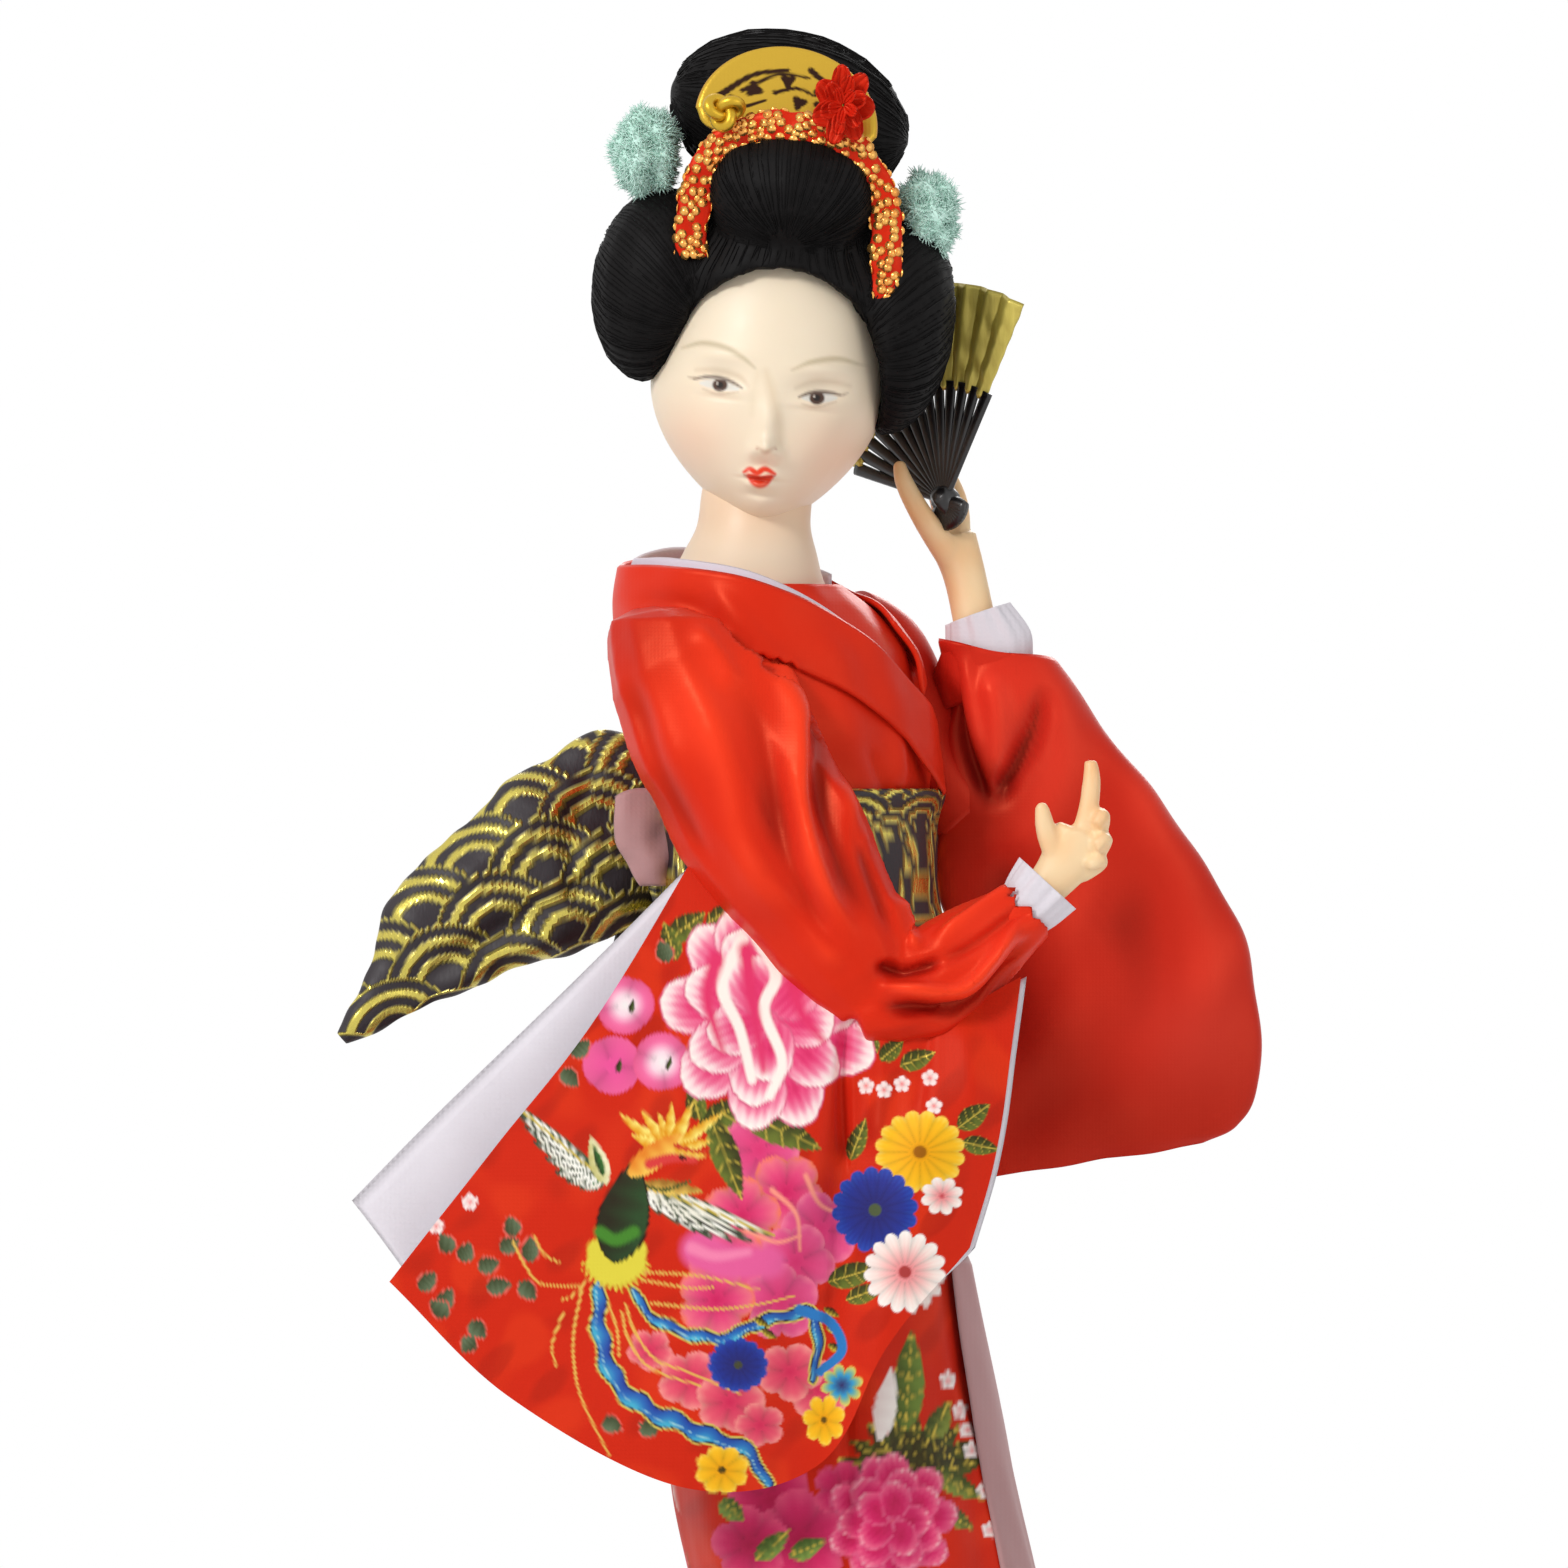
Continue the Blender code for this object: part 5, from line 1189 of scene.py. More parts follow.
# %% Sash
outside = 2 * FIT + CLOTH + 1.3
low, high = WAIST[2] - 10.5, WAIST[2] + 10.5
SASH_EDGE = [
    (low + 1.5, -1.1), (low + 0.3, -0.4), (low, 0.6), (low + 1, 1.2), (low + 5, 0.5), (high - 5, 0.3),
    (high - 1, 0.9), (high, 0.4), (high - 0.4, -0.5), (high - 1.6, -1.1),
]
sash_stations = np.array([station(height, 0, 0, 0, 0, outside + out) for height, out in SASH_EDGE])
SASH_ROWS, SASH_SIDES = 74, 220
sash_angle = np.linspace(0, 2 * math.pi, SASH_SIDES, endpoint=False)
sash = rings(through(sash_stations, SASH_ROWS), sash_angle)
flat = sash.reshape(-1, 3)
out = outward(sash_angle, SASH_ROWS)
flat = flat + out * (0.25 * unevenness(flat * [0.5, 0.5, 1], 9, 8) - 0.12)[:, None]
sash_mesh = mesh_of("sash", flat, grid_faces(SASH_ROWS, SASH_SIDES, wrap=True))
round_sash = np.tile(sash_angle * 12.5, SASH_ROWS)
sash_piece = wave_piece("brocade_sash", sash_mesh, round_sash, flat[:, 2] + 2.0, 5.0, ["obi_sash"])
size, area = flat_size(sash)


# %% Tubes along a path
def tube_grid(stations, sides, axis=(0, 1, 0)):
    """Rings square to a path. A station is x, y, z, half width across it and half depth along the axis."""
    points, axis = stations[:, :3], np.array(axis, float)
    along = np.gradient(points, axis=0)
    along /= np.linalg.norm(along, axis=1)[:, None]
    deep = axis - along * (along @ axis)[:, None]
    deep /= np.linalg.norm(deep, axis=1)[:, None]
    wide = np.cross(along, deep)
    angle = np.linspace(0, 2 * math.pi, sides, endpoint=False)
    grid = points[:, None] + wide[:, None] * (stations[:, 3:4] * np.cos(angle))[..., None]
    return grid + deep[:, None] * (stations[:, 4:5] * np.sin(angle))[..., None]


def even_tube(path, wide, deep, sides, axis=(0, 1, 0)):
    """Rings of one half width and half depth all along a path."""
    return tube_grid(np.column_stack([path, np.full(len(path), wide), np.full(len(path), deep)]), sides, axis)


def tube_mesh(name, grid):
    """A closed mesh from rings, each end gathered to its middle."""
    down, sides = grid.shape[:2]
    points = np.vstack([grid.reshape(-1, 3), grid[0].mean(0), grid[-1].mean(0)])
    faces = grid_faces(down, sides, wrap=True).tolist()
    last, n = (down - 1) * sides, down * sides
    faces += [((j + 1) % sides, j, n) for j in range(sides)]
    faces += [(last + j, last + (j + 1) % sides, n + 1) for j in range(sides)]
    mesh = bpy.data.meshes.new(name)
    mesh.from_pydata((points * MM).tolist(), [], faces)
    tidy(mesh)
    return mesh


# %% Bow
BOW_WING = [(-18.0, 8.0, 6.4, 8.0, 3.0), (-22.8, 6.0, 6.4, 11.6, 4.2), (-30.0, 4.0, 1.8, 12.0, 4.6),
            (-37.6, 2.2, -2.6, 10.2, 4.3), (-44.6, 0.6, -8.0, 8.2, 3.6), (-50.0, -0.6, -13.6, 5.5, 2.8),
            (-54.4, -1.6, -18.0, 2.8, 1.9), (-57.2, -2.0, -20.6, 0.8, 0.8)]


def other_side(stations, share):
    out = []
    for x, y, z, wide, deep in stations:
        point = np.array([x, y, 0.0]) - 2 * (np.array([x, y, 0.0]) @ RIGHT) * RIGHT
        out.append((point[0], point[1], z, wide * share, deep))
    return out


def bow_wing(name, keys, axis, node, seed):
    keys = np.array(keys, float)
    keys[:, :3] += WAIST
    in_view = node == "bow_wing_right"
    count, sides = (170, 124) if in_view else (90, 64)
    mesh = tube_mesh(name, tube_grid(through(keys, count), sides, axis))
    points, square = points_of(mesh), normals_of(mesh)
    lift = 0.5 * unevenness(points, 15, seed) + 0.2 * unevenness(points, 6, seed + 1)
    if in_view:
        x, y = seen(points)
        front = square[:, 1] < 0
        for line, width, depth in (
            ([(610, 790), (560, 800), (500, 850), (440, 900)], 16, 0.9),
            ([(640, 860), (560, 900), (470, 950), (400, 1000)], 14, -0.9),
            ([(600, 930), (520, 950), (430, 1000)], 12, 0.8),
            ([(600, 740), (570, 850), (590, 930)], 12, -0.6),
        ):
            lift += front * crease(x, y, line, width, depth)
    set_points(mesh, points + square * (lift - 0.3)[:, None])
    along = keys[-1, :3] - keys[0, :3]
    along /= np.linalg.norm(along)
    up = np.cross(along, np.array(axis, float))
    up /= np.linalg.norm(up)
    if up[2] < 0:
        up = -up
    u, v = (points - keys[0, :3]) @ along, (points - keys[0, :3]) @ up
    slant = 0.25
    over = u * math.cos(slant) + v * math.sin(slant)
    upward = v * math.cos(slant) - u * math.sin(slant) + 3.0
    piece = wave_piece(name, mesh, over, upward, 8.2, [node])
    return piece


bow_wing("bow_wing_near", BOW_WING, (0, 1, 0), "bow_wing_right", 12)
bow_wing("bow_wing_far", other_side(BOW_WING, 0.9), FORWARD, "bow_wing_left", 14)

# %% Bow knot and hanging ends
knot_mesh = soft_copy("bow_knot", 0.45, 3)
points = points_of(knot_mesh)
lift = 0.35 * unevenness(points * [1, 1, 0.3], 4, 16)
set_points(knot_mesh, points + normals_of(knot_mesh) * lift[:, None])
aside = (points - WAIST) @ RIGHT
wave_piece("bow_knot_wrap", knot_mesh, aside, points[:, 2], 4.2, ["bow_knot"])
HANGING_ENDS = (("sash_end_right", 5.4, "obi_tail_right"), ("sash_end_left", -5.4, "obi_tail_left"))
for name, aside, node in HANGING_ENDS:
    top = WAIST - 21.5 * FORWARD + aside * RIGHT
    rows = []
    for drop, back, half in ((6.5, 0.0, 4.6), (18.0, 2.0, 5.0), (30.0, 3.2, 5.2), (40.0, 3.6, 5.2)):
        middle = top - np.array([0, 0, drop]) - back * FORWARD
        rows.append([middle - half * RIGHT, middle - 0.8 * FORWARD, middle + half * RIGHT])
    grid = waved(net(rows, 84, 30), 0.3, 8, 17)
    mesh = closed_sheet(name, grid, 1.1)
    points = points_of(mesh)
    piece = wave_piece(name, mesh, (points - top) @ RIGHT, points[:, 2], 4.6, [node])
    size, area = flat_size(grid)

# %% [markdown]
# ## Sleeves on the arms
# The satin of the right sleeve is pulled tight over the bent elbow, so its creases fan out from there. A
# crease is drawn where the photograph shows it, as a line in its pixels, on the side of the sleeve that
# faces the camera.
# The colour of the sleeve satin holds painted shade in the pockets of its creases and painted highlight on
# their ridges.


# %% Sleeves
def toned(mesh, lift, tones, patches):
    """Painted light and shade on satin: painted shade in its pockets, painted highlight on its ridges, and
    soft spots of painted highlight and painted shade.
    """
    low, mid, high = tones
    paint = Paint(*seen(points_of(mesh)), mid)
    paint.wash(smooth(lift / 1.5), high)
    paint.wash(smooth(-lift / 1.5), low)
    for x, y, reach, cover, rgb in patches:
        i, dx, dy = paint.window(x, y, 2.4 * reach)
        paint.lay(i, cover * np.exp(-(dx**2 + dy**2) / reach**2), rgb)
    paint.store(mesh)


def creased(mesh, lines, tones, patches=(), waves_mm=0.25, size=11, seed=40, proud=0.0):
    points, square = points_of(mesh), normals_of(mesh)
    x, y = seen(points)
    front = smooth((0.35 - square[:, 1]) / 0.5)
    lift = waves_mm * unevenness(points, size, seed) + proud
    for line, width, depth, sharp in lines:
        lift += front * crease(x, y, line, width, depth, sharp)
    set_points(mesh, points + square * lift[:, None])
    # The crease heights also set the painted shade and painted highlight of the satin.
    toned(mesh, lift - proud, tones, patches)
    return mesh


# Painted shade, middle and painted highlight colours for crease pockets and ridges, then soft spots of
# painted highlight and painted shade.
RED_SHADE_AND_HIGHLIGHT = ((150, 20, 12), (212, 38, 18), (246, 62, 32))
DEEP_SHADE_AND_HIGHLIGHT = ((132, 20, 16), (196, 38, 26), (230, 60, 42))
RIGHT_LIGHT_AND_SHADE_SPOTS = [
    (700, 690, 60, 0.7, (250, 62, 32)), (640, 640, 50, 0.6, (176, 30, 16)),
    (1000, 935, 50, 0.6, (244, 58, 34)), (640, 800, 45, 0.4, (186, 34, 18)),
    (760, 900, 50, 0.4, (190, 34, 20)),
]
LEFT_LIGHT_AND_SHADE_SPOTS = [
    (990, 690, 40, 0.6, (238, 54, 36)), (1060, 720, 60, 0.4, (222, 56, 40)),
    (1080, 1100, 90, 0.35, (168, 32, 24)), (1200, 1040, 60, 0.5, (214, 62, 50)),
    (1000, 1050, 70, 0.4, (160, 30, 22)),
]
RIGHT_CREASES = [
    ([(722, 626), (774, 663), (796, 707), (800, 751), (803, 803), (825, 884), (862, 950)], 15, 1.7, 1.6),
    ([(750, 624), (798, 658), (817, 703), (820, 751), (826, 800), (848, 875), (884, 940)], 15, -1.3, 1.5),
    ([(700, 650), (748, 700), (768, 760), (778, 830), (803, 900), (842, 962)], 20, -1.0, 1.3),
    ([(655, 640), (700, 700), (724, 770), (750, 850), (800, 930)], 22, 0.9, 1.2),
    ([(622, 660), (645, 730), (672, 800), (720, 880)], 14, -0.8, 1.4),
    ([(690, 620), (716, 650), (740, 690)], 12, 0.7, 1.5),
    ([(868, 982), (910, 988), (958, 988), (990, 960), (1026, 910)], 9, 1.9, 2.0),
    ([(868, 1003), (915, 1008), (966, 1006), (1002, 978), (1038, 930)], 11, -2.2, 1.8),
    ([(872, 966), (912, 967), (946, 958)], 9, -1.8, 1.8),
    ([(898, 890), (910, 930), (920, 956)], 9, 1.2, 1.6),
    ([(928, 945), (965, 918), (1000, 893), (1046, 872)], 8, 1.1, 1.6),
    ([(930, 966), (972, 945), (1012, 915), (1052, 886)], 9, -1.2, 1.6),
    ([(850, 800), (866, 850), (884, 900), (900, 940)], 9, -0.9, 1.8),
    ([(838, 770), (855, 815), (872, 860)], 8, 0.8, 1.6),
    ([(770, 870), (810, 930), (850, 975)], 12, 0.7, 1.5),
]
right_sleeve = soft_copy("sleeve_right", 0.5, 5)
points = points_of(right_sleeve)
points[:, 2] -= 0.75 * np.maximum(points[:, 2] - 231.5, 0)  # the collar lies over the shoulder
set_points(right_sleeve, points)
creased(right_sleeve, RIGHT_CREASES, RED_SHADE_AND_HIGHLIGHT, RIGHT_LIGHT_AND_SHADE_SPOTS)
sleeve_piece = show("satin_sleeve_right", right_sleeve, SATIN_WITH_PAINTED_LIGHT, ["sleeve_right"])


# %% [markdown]
# ## Collars
# The red collar is a folded band that crosses on the chest, low at the back of the neck as this dress has
# it, with a white band inside it. Both follow one line of points round the neck.

# %% Collars
COLLAR_TOP = [
    (17.4, -14.4, 18.9), (18.8, -9.4, 22.5), (18.4, -4, 27.0), (15.6, 4, 32.4), (9.6, 12.6, 36.6),
    (-2, 15.6, 38.3), (-12.0, 12, 38.5), (-15.6, 0, 40), (-13, -11, 39.5), (-3, -14, 38), (7, -11.8, 34.8),
    (11.6, -9.6, 31.4),
]
SPINE = WAIST + np.array([-5.5, -1.2, 0.0])


def collar_grid(drop, spread, lower, down, across):
    rows = []
    for t in (0.0, 0.5, 1.0):
        row = []
        for ahead, aside, rise in COLLAR_TOP:
            grow = 1 + (spread + 1.6 * t) / math.hypot(ahead, aside)
            place = SPINE + ahead * grow * FORWARD + aside * grow * RIGHT
            row.append(place + np.array([0, 0, rise - drop - lower * t]))
        rows.append(row)
    return net(rows, down, across)


def clear_of_body(grid, stations, clearance):
    """Moves the points of a grid that are inside the rings straight out."""
    table = through(stations, 80)
    order = np.argsort(table[:, 0])
    flat = grid.reshape(-1, 3).copy()
    cx, cy, deep, wide = (np.interp(flat[:, 2], table[order, 0], table[order, k]) for k in range(1, 5))
    d = flat[:, :2] - np.stack([cx, cy], -1)
    ahead, aside = d @ FORWARD[:2], d @ RIGHT[:2]
    share = np.hypot(ahead / (deep + clearance), aside / (wide + clearance))
    grow = np.where((share > 0) & (share < 1), 1 / np.maximum(share, 1e-6), 1.0)
    flat[:, :2] = np.stack([cx, cy], -1) + d * grow[:, None]
    return flat.reshape(grid.shape)


def laid_over(grid, mesh, clearance):
    """Moves the points of a grid that are inside a mesh, or too close to it, out over its surface."""
    tree = BVHTree.FromPolygons([v.co for v in mesh.vertices], [tuple(p.vertices) for p in mesh.polygons])
    flat = grid.reshape(-1, 3).copy()
    for k, point in enumerate(flat):
        spot, square, _, _ = tree.find_nearest(Vector(point * MM), 0.01)
        if spot is not None:
            out = (Vector(point * MM) - spot).dot(square) / MM
            if out < clearance:
                flat[k] = np.array(spot + square * clearance * MM) / MM
    return flat.reshape(grid.shape)


def calmed(grid, rounds):
    """Evens out a grid by moving each inner point towards the middle of its neighbours."""
    grid = grid.copy()
    for _ in range(rounds):
        inner = (grid[:-2, 1:-1] + grid[2:, 1:-1] + grid[1:-1, :-2] + grid[1:-1, 2:]) / 4
        grid[1:-1, 1:-1] += 0.6 * (inner - grid[1:-1, 1:-1])
    return grid


torso = torso_stations(FIT + CLOTH)
band = clear_of_body(collar_grid(0.0, 0.0, 9.4, 24, 270), torso, 3 * FIT + 0.5 * CLOTH)
press = 0.75 * smooth((np.linspace(0, 1, len(band)) - 0.45) / 0.5)[:, None, None]
inward = SPINE - band
inward[..., 2] = 0
band = band + press * inward / np.linalg.norm(inward, axis=-1, keepdims=True)
band = calmed(laid_over(band, right_sleeve, 0.7), 34)
square = grid_normals(band)
px, py = seen(band.reshape(-1, 3))
lift = 0.22 * unevenness(band.reshape(-1, 3), 8, 31)
for line, width, depth in (
    ([(700, 575), (760, 640), (800, 700)], 10, 0.5), ([(620, 600), (690, 606), (740, 650)], 10, -0.5),
):
    lift += crease(px, py, line, width, depth)
which_way = np.sign((square * (band - SPINE)).sum(-1).mean())
band = band + square * lift.reshape(band.shape[:2])[..., None] * which_way
collar_mesh = closed_sheet("collar", band, 0.7)
collar = show("kimono_collar_band", collar_mesh, RED_SATIN, ["kimono_collar"])
size, area = flat_size(band)
inner = clear_of_body(collar_grid(-0.9, -2.0, 3.6, 12, 240), torso, 2 * FIT + 0.3 * CLOTH)[:, 27:-33]
under_mesh = closed_sheet("under", inner, 0.6)
under = show("white_under_collar", under_mesh, UNDER_CLOTH, ["under_collar"])
size, area = flat_size(inner)

# %% Left sleeve
LEFT_BAG = [
    (17.5, 29.3, 31.9, 26.6, 7.0, 4.2), (18.0, 22.0, 37.5, 19.5, 7.4, 4.4),
    (17.6, 12.0, 44.8, 9.0, 8.0, 4.4), (17.3, 0.0, 53.5, -2.5, 8.6, 4.2),
    (20.4, -13.0, 57.6, -16.0, 9.0, 3.8), (22.5, -26.0, 58.0, -27.5, 9.0, 3.2),
    (23.2, -34.0, 55.4, -32.2, 8.8, 2.2), (24.0, -38.4, 51.0, -34.4, 8.6, 0.8),
]
LEFT_UPPER_ARM = [(6.0, 9.0, 32.0, 4.0, 4.5), (9.0, 11.5, 28.0, 6.4, 6.4), (13.0, 12.0, 20.0, 7.0, 6.6),
                  (17.0, 11.0, 12.0, 6.4, 6.0), (21.5, 9.0, 6.0, 4.4, 4.4)]
LEFT_CREASES = [
    ([(943, 641), (950, 690), (962, 735), (993, 816)], 11, -2.2, 1.8),
    ([(993, 816), (1004, 781), (1033, 729), (1044, 680)], 12, -1.7, 1.6),
    ([(985, 660), (998, 720), (996, 788)], 17, 1.7, 1.2),
    ([(965, 650), (972, 700), (984, 760)], 9, 0.8, 1.5),
    ([(1052, 668), (1062, 740), (1040, 820), (1012, 880)], 26, 1.0, 1.0),
    ([(1000, 840), (1012, 940), (1014, 1080)], 22, -0.8, 1.0),
    ([(1095, 720), (1160, 830), (1205, 950), (1220, 1060)], 30, 0.7, 1.0),
    ([(1100, 880), (1130, 980), (1140, 1120)], 30, -0.5, 1.0),
    ([(1060, 830), (1075, 960), (1080, 1120)], 26, 0.5, 1.0),
]


def bag_grid(rows, sides, count):
    rows = through(rows, count)
    angle = np.linspace(0, 2 * math.pi, sides, endpoint=False)
    side = np.sign(np.cos(angle)) * np.abs(np.cos(angle)) ** 0.8
    deep = np.sign(np.sin(angle)) * np.abs(np.sin(angle)) ** 0.8
    lx, lz, rx, rz, y, thick = rows.T
    middle = WAIST + np.stack([(lx + rx) / 2, y, (lz + rz) / 2], -1)
    half = np.stack([(rx - lx) / 2, 0 * lx, (rz - lz) / 2], -1)
    across = middle[:, None] + half[:, None] * side[:, None]
    return across + (thick[:, None] * deep)[..., None] * np.array([0, 1.0, 0])


bag = bag_grid(LEFT_BAG, 144, 136)
middle = bag[0].mean(0)
MOUTH = ((0.72, 7.0), (0.86, 4.0), (0.93, 1.0), (0.97, 0.2))
mouth = [middle + (bag[0] - middle) * share - np.array([0, 0, drop]) for share, drop in MOUTH]
left_sleeve = tube_mesh("left_bag", np.concatenate([np.stack(mouth), bag]))
creased(left_sleeve, LEFT_CREASES, DEEP_SHADE_AND_HIGHLIGHT, LEFT_LIGHT_AND_SHADE_SPOTS, 0.28, 14, 44, -0.1)
left_piece = show("satin_sleeve_left", left_sleeve, SATIN_WITH_PAINTED_LIGHT, ["sleeve_left"])
arm_keys = np.array(LEFT_UPPER_ARM)
arm_keys[:, :3] += WAIST
arm = creased(tube_mesh("arm", tube_grid(through(arm_keys, 40), 56)), [], DEEP_SHADE_AND_HIGHLIGHT, (), 0.3, 8, 45)
show("arm_left_upper", arm, SATIN_WITH_PAINTED_LIGHT, ["sleeve_left"])

# %% [markdown]
# ## The printed hanging sleeve
# The long front panel is one cloth in the air, so its whole shape is a net of points, with soft waves and
# the pull that comes from the elbow. Behind it hangs the white back panel, wider than the front one.

# %% Hanging sleeve
SLEEVE_FRONT = [
    [
        (-13.5, -22, 1.5), (-3.0, -24, -6.0), (4.4, -26, -12.6), (9.6, -26.5, -16.0), (18.0, -26, -17.0),
        (27.2, -25.5, -12.6)
    ],
    [
        (-25.3, -26, -18), (-13.8, -28, -28.4), (0.0, -30.5, -36.5), (5.6, -27, -37.1),
        (15.6, -29.5, -30.9), (25.6, -28, -24)
    ],
    [
        (-38.0, -26, -34.1), (-24.4, -28.5, -47.7), (-7.5, -31, -57.1), (4.4, -27, -54.6),
        (13.1, -29.5, -43.4), (23.8, -28, -35.9)
    ],
    [
        (-50.6, -25, -50.2), (-35.6, -28, -64.4), (-14.4, -30.5, -75.2), (2.2, -28, -72.6),
        (11.0, -29, -57.5), (20.8, -28, -45.9)
    ],
]
SLEEVE_BACK = [
    [
        (-14.2, -20, 0.5), (-3.5, -21, -7.0), (4.0, -21.6, -13.4), (9.0, -22, -16.6), (17.0, -22, -17.6),
        (25.6, -22, -13.6)
    ],
    [
        (-29.5, -21, -14.8), (-16.0, -22, -28.0), (-1.0, -22.6, -36.0), (5.0, -22.4, -36.6),
        (14.4, -22.6, -30.6), (24.0, -22.6, -24)
    ],
    [
        (-43.0, -20, -27.8), (-26.5, -22, -47.0), (-9.0, -23, -56.4), (3.6, -22.6, -54.0),
        (12.0, -22.8, -43.0), (22.4, -22.8, -35.6)
    ],
    [
        (-55.4, -19, -40.4), (-37.0, -22.4, -62.9), (-14.8, -23.4, -74.2), (2.0, -23, -72.8),
        (10.0, -23, -57.0), (19.6, -23, -45.6)
    ],
]
FRONT_ROWS, FRONT_COLUMNS = 233, 273
front = net(SLEEVE_FRONT, FRONT_ROWS, FRONT_COLUMNS) + WAIST
flat = front.reshape(-1, 3)
px, py = seen(flat)
toward = -grid_normals(front).reshape(-1, 3)
toward *= np.where(toward[:, 1:2] > 0, -1, 1)
lift = 0.3 * unevenness(flat, 22, 50)
for line, width, depth, sharp in (
    ([(850, 1000), (848, 1080), (846, 1180)], 9, -1.6, 2.5),
    ([(880, 1010), (882, 1080), (878, 1160)], 12, 0.9, 1.0),
    ([(960, 1010), (970, 1080), (975, 1150)], 16, 0.6, 1.0),
    ([(760, 930), (700, 1060), (640, 1200)], 40, 0.5, 1.0),
    ([(830, 1180), (820, 1300), (800, 1420)], 14, 0.6, 1.4),
    ([(930, 1000), (925, 1060), (915, 1130)], 10, -0.5, 1.4),
):
    lift += crease(px, py, line, width, depth, sharp)
flat = flat + toward * lift[:, None]
front_mesh = mesh_of("sleeve_front", flat, grid_faces(FRONT_ROWS, FRONT_COLUMNS))
paint = Paint(*seen(flat), PRINT_RED)
sleeve_flowers(paint)
paint.store(front_mesh)
front_piece = show("printed_sleeve_front", front_mesh, PRINT, ["sleeve_right_front"])
size, area = flat_size(front)
print("front panel cut", [round(v, 3) for v in size])
back = waved(net(SLEEVE_BACK, 64, 64) + WAIST, 0.3, 20, 53)
back_mesh = closed_sheet("sleeve_back", back, 0.6)
back_piece = show("white_sleeve_back", back_mesh, WHITE_CLOTH, ["sleeve_right_back"])
size, area = flat_size(back)

# %% Linings that show at edges
behind = flat.reshape(front.shape)[::4, ::4] + np.array([0, 1.7, 0])
behind[..., 0] += 0.7 * smooth((np.linspace(0, 1, behind.shape[1]) - 0.9) / 0.1)
behind_mesh = closed_sheet("front_lining", behind, 0.5)
lining_of_sleeve = show("sleeve_front_lining", behind_mesh, WHITE_CLOTH)
size, area = flat_size(behind)

# %% Flap of lining beside the bow
FLAP = [
    [(-30.6, -5.0, 209.6), (-28.0, -5.6, 210.6), (-24.0, -4.0, 210.4), (-19.6, -2.5, 210.0)],
    [(-30.4, -5.6, 203.6), (-27.2, -7.0, 204.2), (-23.6, -5.0, 204.0), (-19.2, -3.5, 204.0)],
    [(-27.4, -6.4, 198.4), (-24.6, -7.0, 198.4), (-21.8, -5.4, 198.6), (-17.6, -4.0, 198.6)],
]
flap = waved(net(FLAP, 30, 30), 0.35, 5, 61)
flap_piece = show("lining_flap", closed_sheet("lining_flap", flap, 0.4), LINING)
size, area = flat_size(flap)

# %% [markdown]
# ## Hands and cuffs
# The hands are moulded in one, so the arm, the palm and the fingers flow into each other. They start as
# tapered tubes that overlap, and a voxel remesh melts those into a single skin.


# %% Hands
def moulded(fingers):
    """A hand from overlapping tubes of (x, y, z, half width, half depth), counted from the waist."""
    joined = bmesh.new()
    for keys in fingers:
        keys = np.array(keys, float)
        keys[:, :3] += WAIST
        joined.from_mesh(tube_mesh("finger", tube_grid(through(keys, 26), 24)))
    return melted(joined, 0.34, 5)


RIGHT_HAND = [
    [
        (26.6, -23.8, -5.0, 2.0, 1.8), (30.8, -23.8, -1.0, 2.7, 2.2), (33.4, -24.0, 2.6, 3.4, 2.2),
        (34.6, -24.2, 5.4, 3.1, 2.0)
    ],
    [
        (34.6, -24.2, 4.0, 1.5, 1.4), (35.5, -24.4, 8.0, 1.25, 1.3), (35.9, -24.4, 11.4, 1.15, 1.1),
        (35.8, -24.2, 14.0, 0.8, 0.8)
    ],
    [
        (35.8, -23.6, 3.4, 1.3, 1.5), (37.0, -24.6, 6.0, 1.1, 1.3), (37.2, -25.8, 7.2, 0.9, 1.1),
        (36.4, -26.6, 6.0, 0.8, 0.8)
    ],
    [
        (35.6, -23.8, 1.6, 1.3, 1.4), (37.2, -24.6, 3.6, 1.1, 1.3), (37.4, -26.0, 4.2, 0.9, 1.1),
        (36.2, -26.8, 3.4, 0.8, 0.8)
    ],
    [
        (34.6, -23.8, 0.0, 1.2, 1.3), (36.6, -24.4, 1.2, 1.1, 1.2), (36.8, -25.8, 1.6, 0.9, 1.0),
        (35.4, -26.4, 1.0, 0.7, 0.8)
    ],
    [
        (32.0, -24.2, 1.4, 1.6, 1.4), (30.4, -25.2, 5.0, 1.35, 1.2), (29.8, -25.6, 7.8, 0.95, 0.9),
        (29.6, -25.6, 8.8, 0.6, 0.6)
    ],
]
LEFT_HAND = [
    [
        (24.6, 7.0, 16.0, 2.6, 2.4), (22.4, 7.4, 29.0, 2.7, 2.3), (20.8, 8.4, 37.0, 2.7, 2.3),
        (19.2, 9.4, 42.0, 3.1, 2.2)
    ],
    [
        (18.6, 10.2, 42.0, 1.5, 1.4), (17.6, 11.6, 47.0, 1.3, 1.3), (16.0, 12.6, 51.0, 1.1, 1.1),
        (14.8, 12.8, 53.4, 0.8, 0.8)
    ],
    [
        (20.2, 10.0, 41.6, 1.4, 1.4), (20.0, 11.6, 46.4, 1.25, 1.3), (18.6, 12.8, 50.0, 1.1, 1.1),
        (17.0, 13.0, 52.0, 0.8, 0.8)
    ],
    [
        (19.0, 8.2, 39.6, 1.9, 1.6), (15.6, 6.0, 44.4, 1.5, 1.4), (13.2, 6.4, 48.8, 1.2, 1.2),
        (12.4, 7.2, 51.6, 0.8, 0.8)
    ],
]


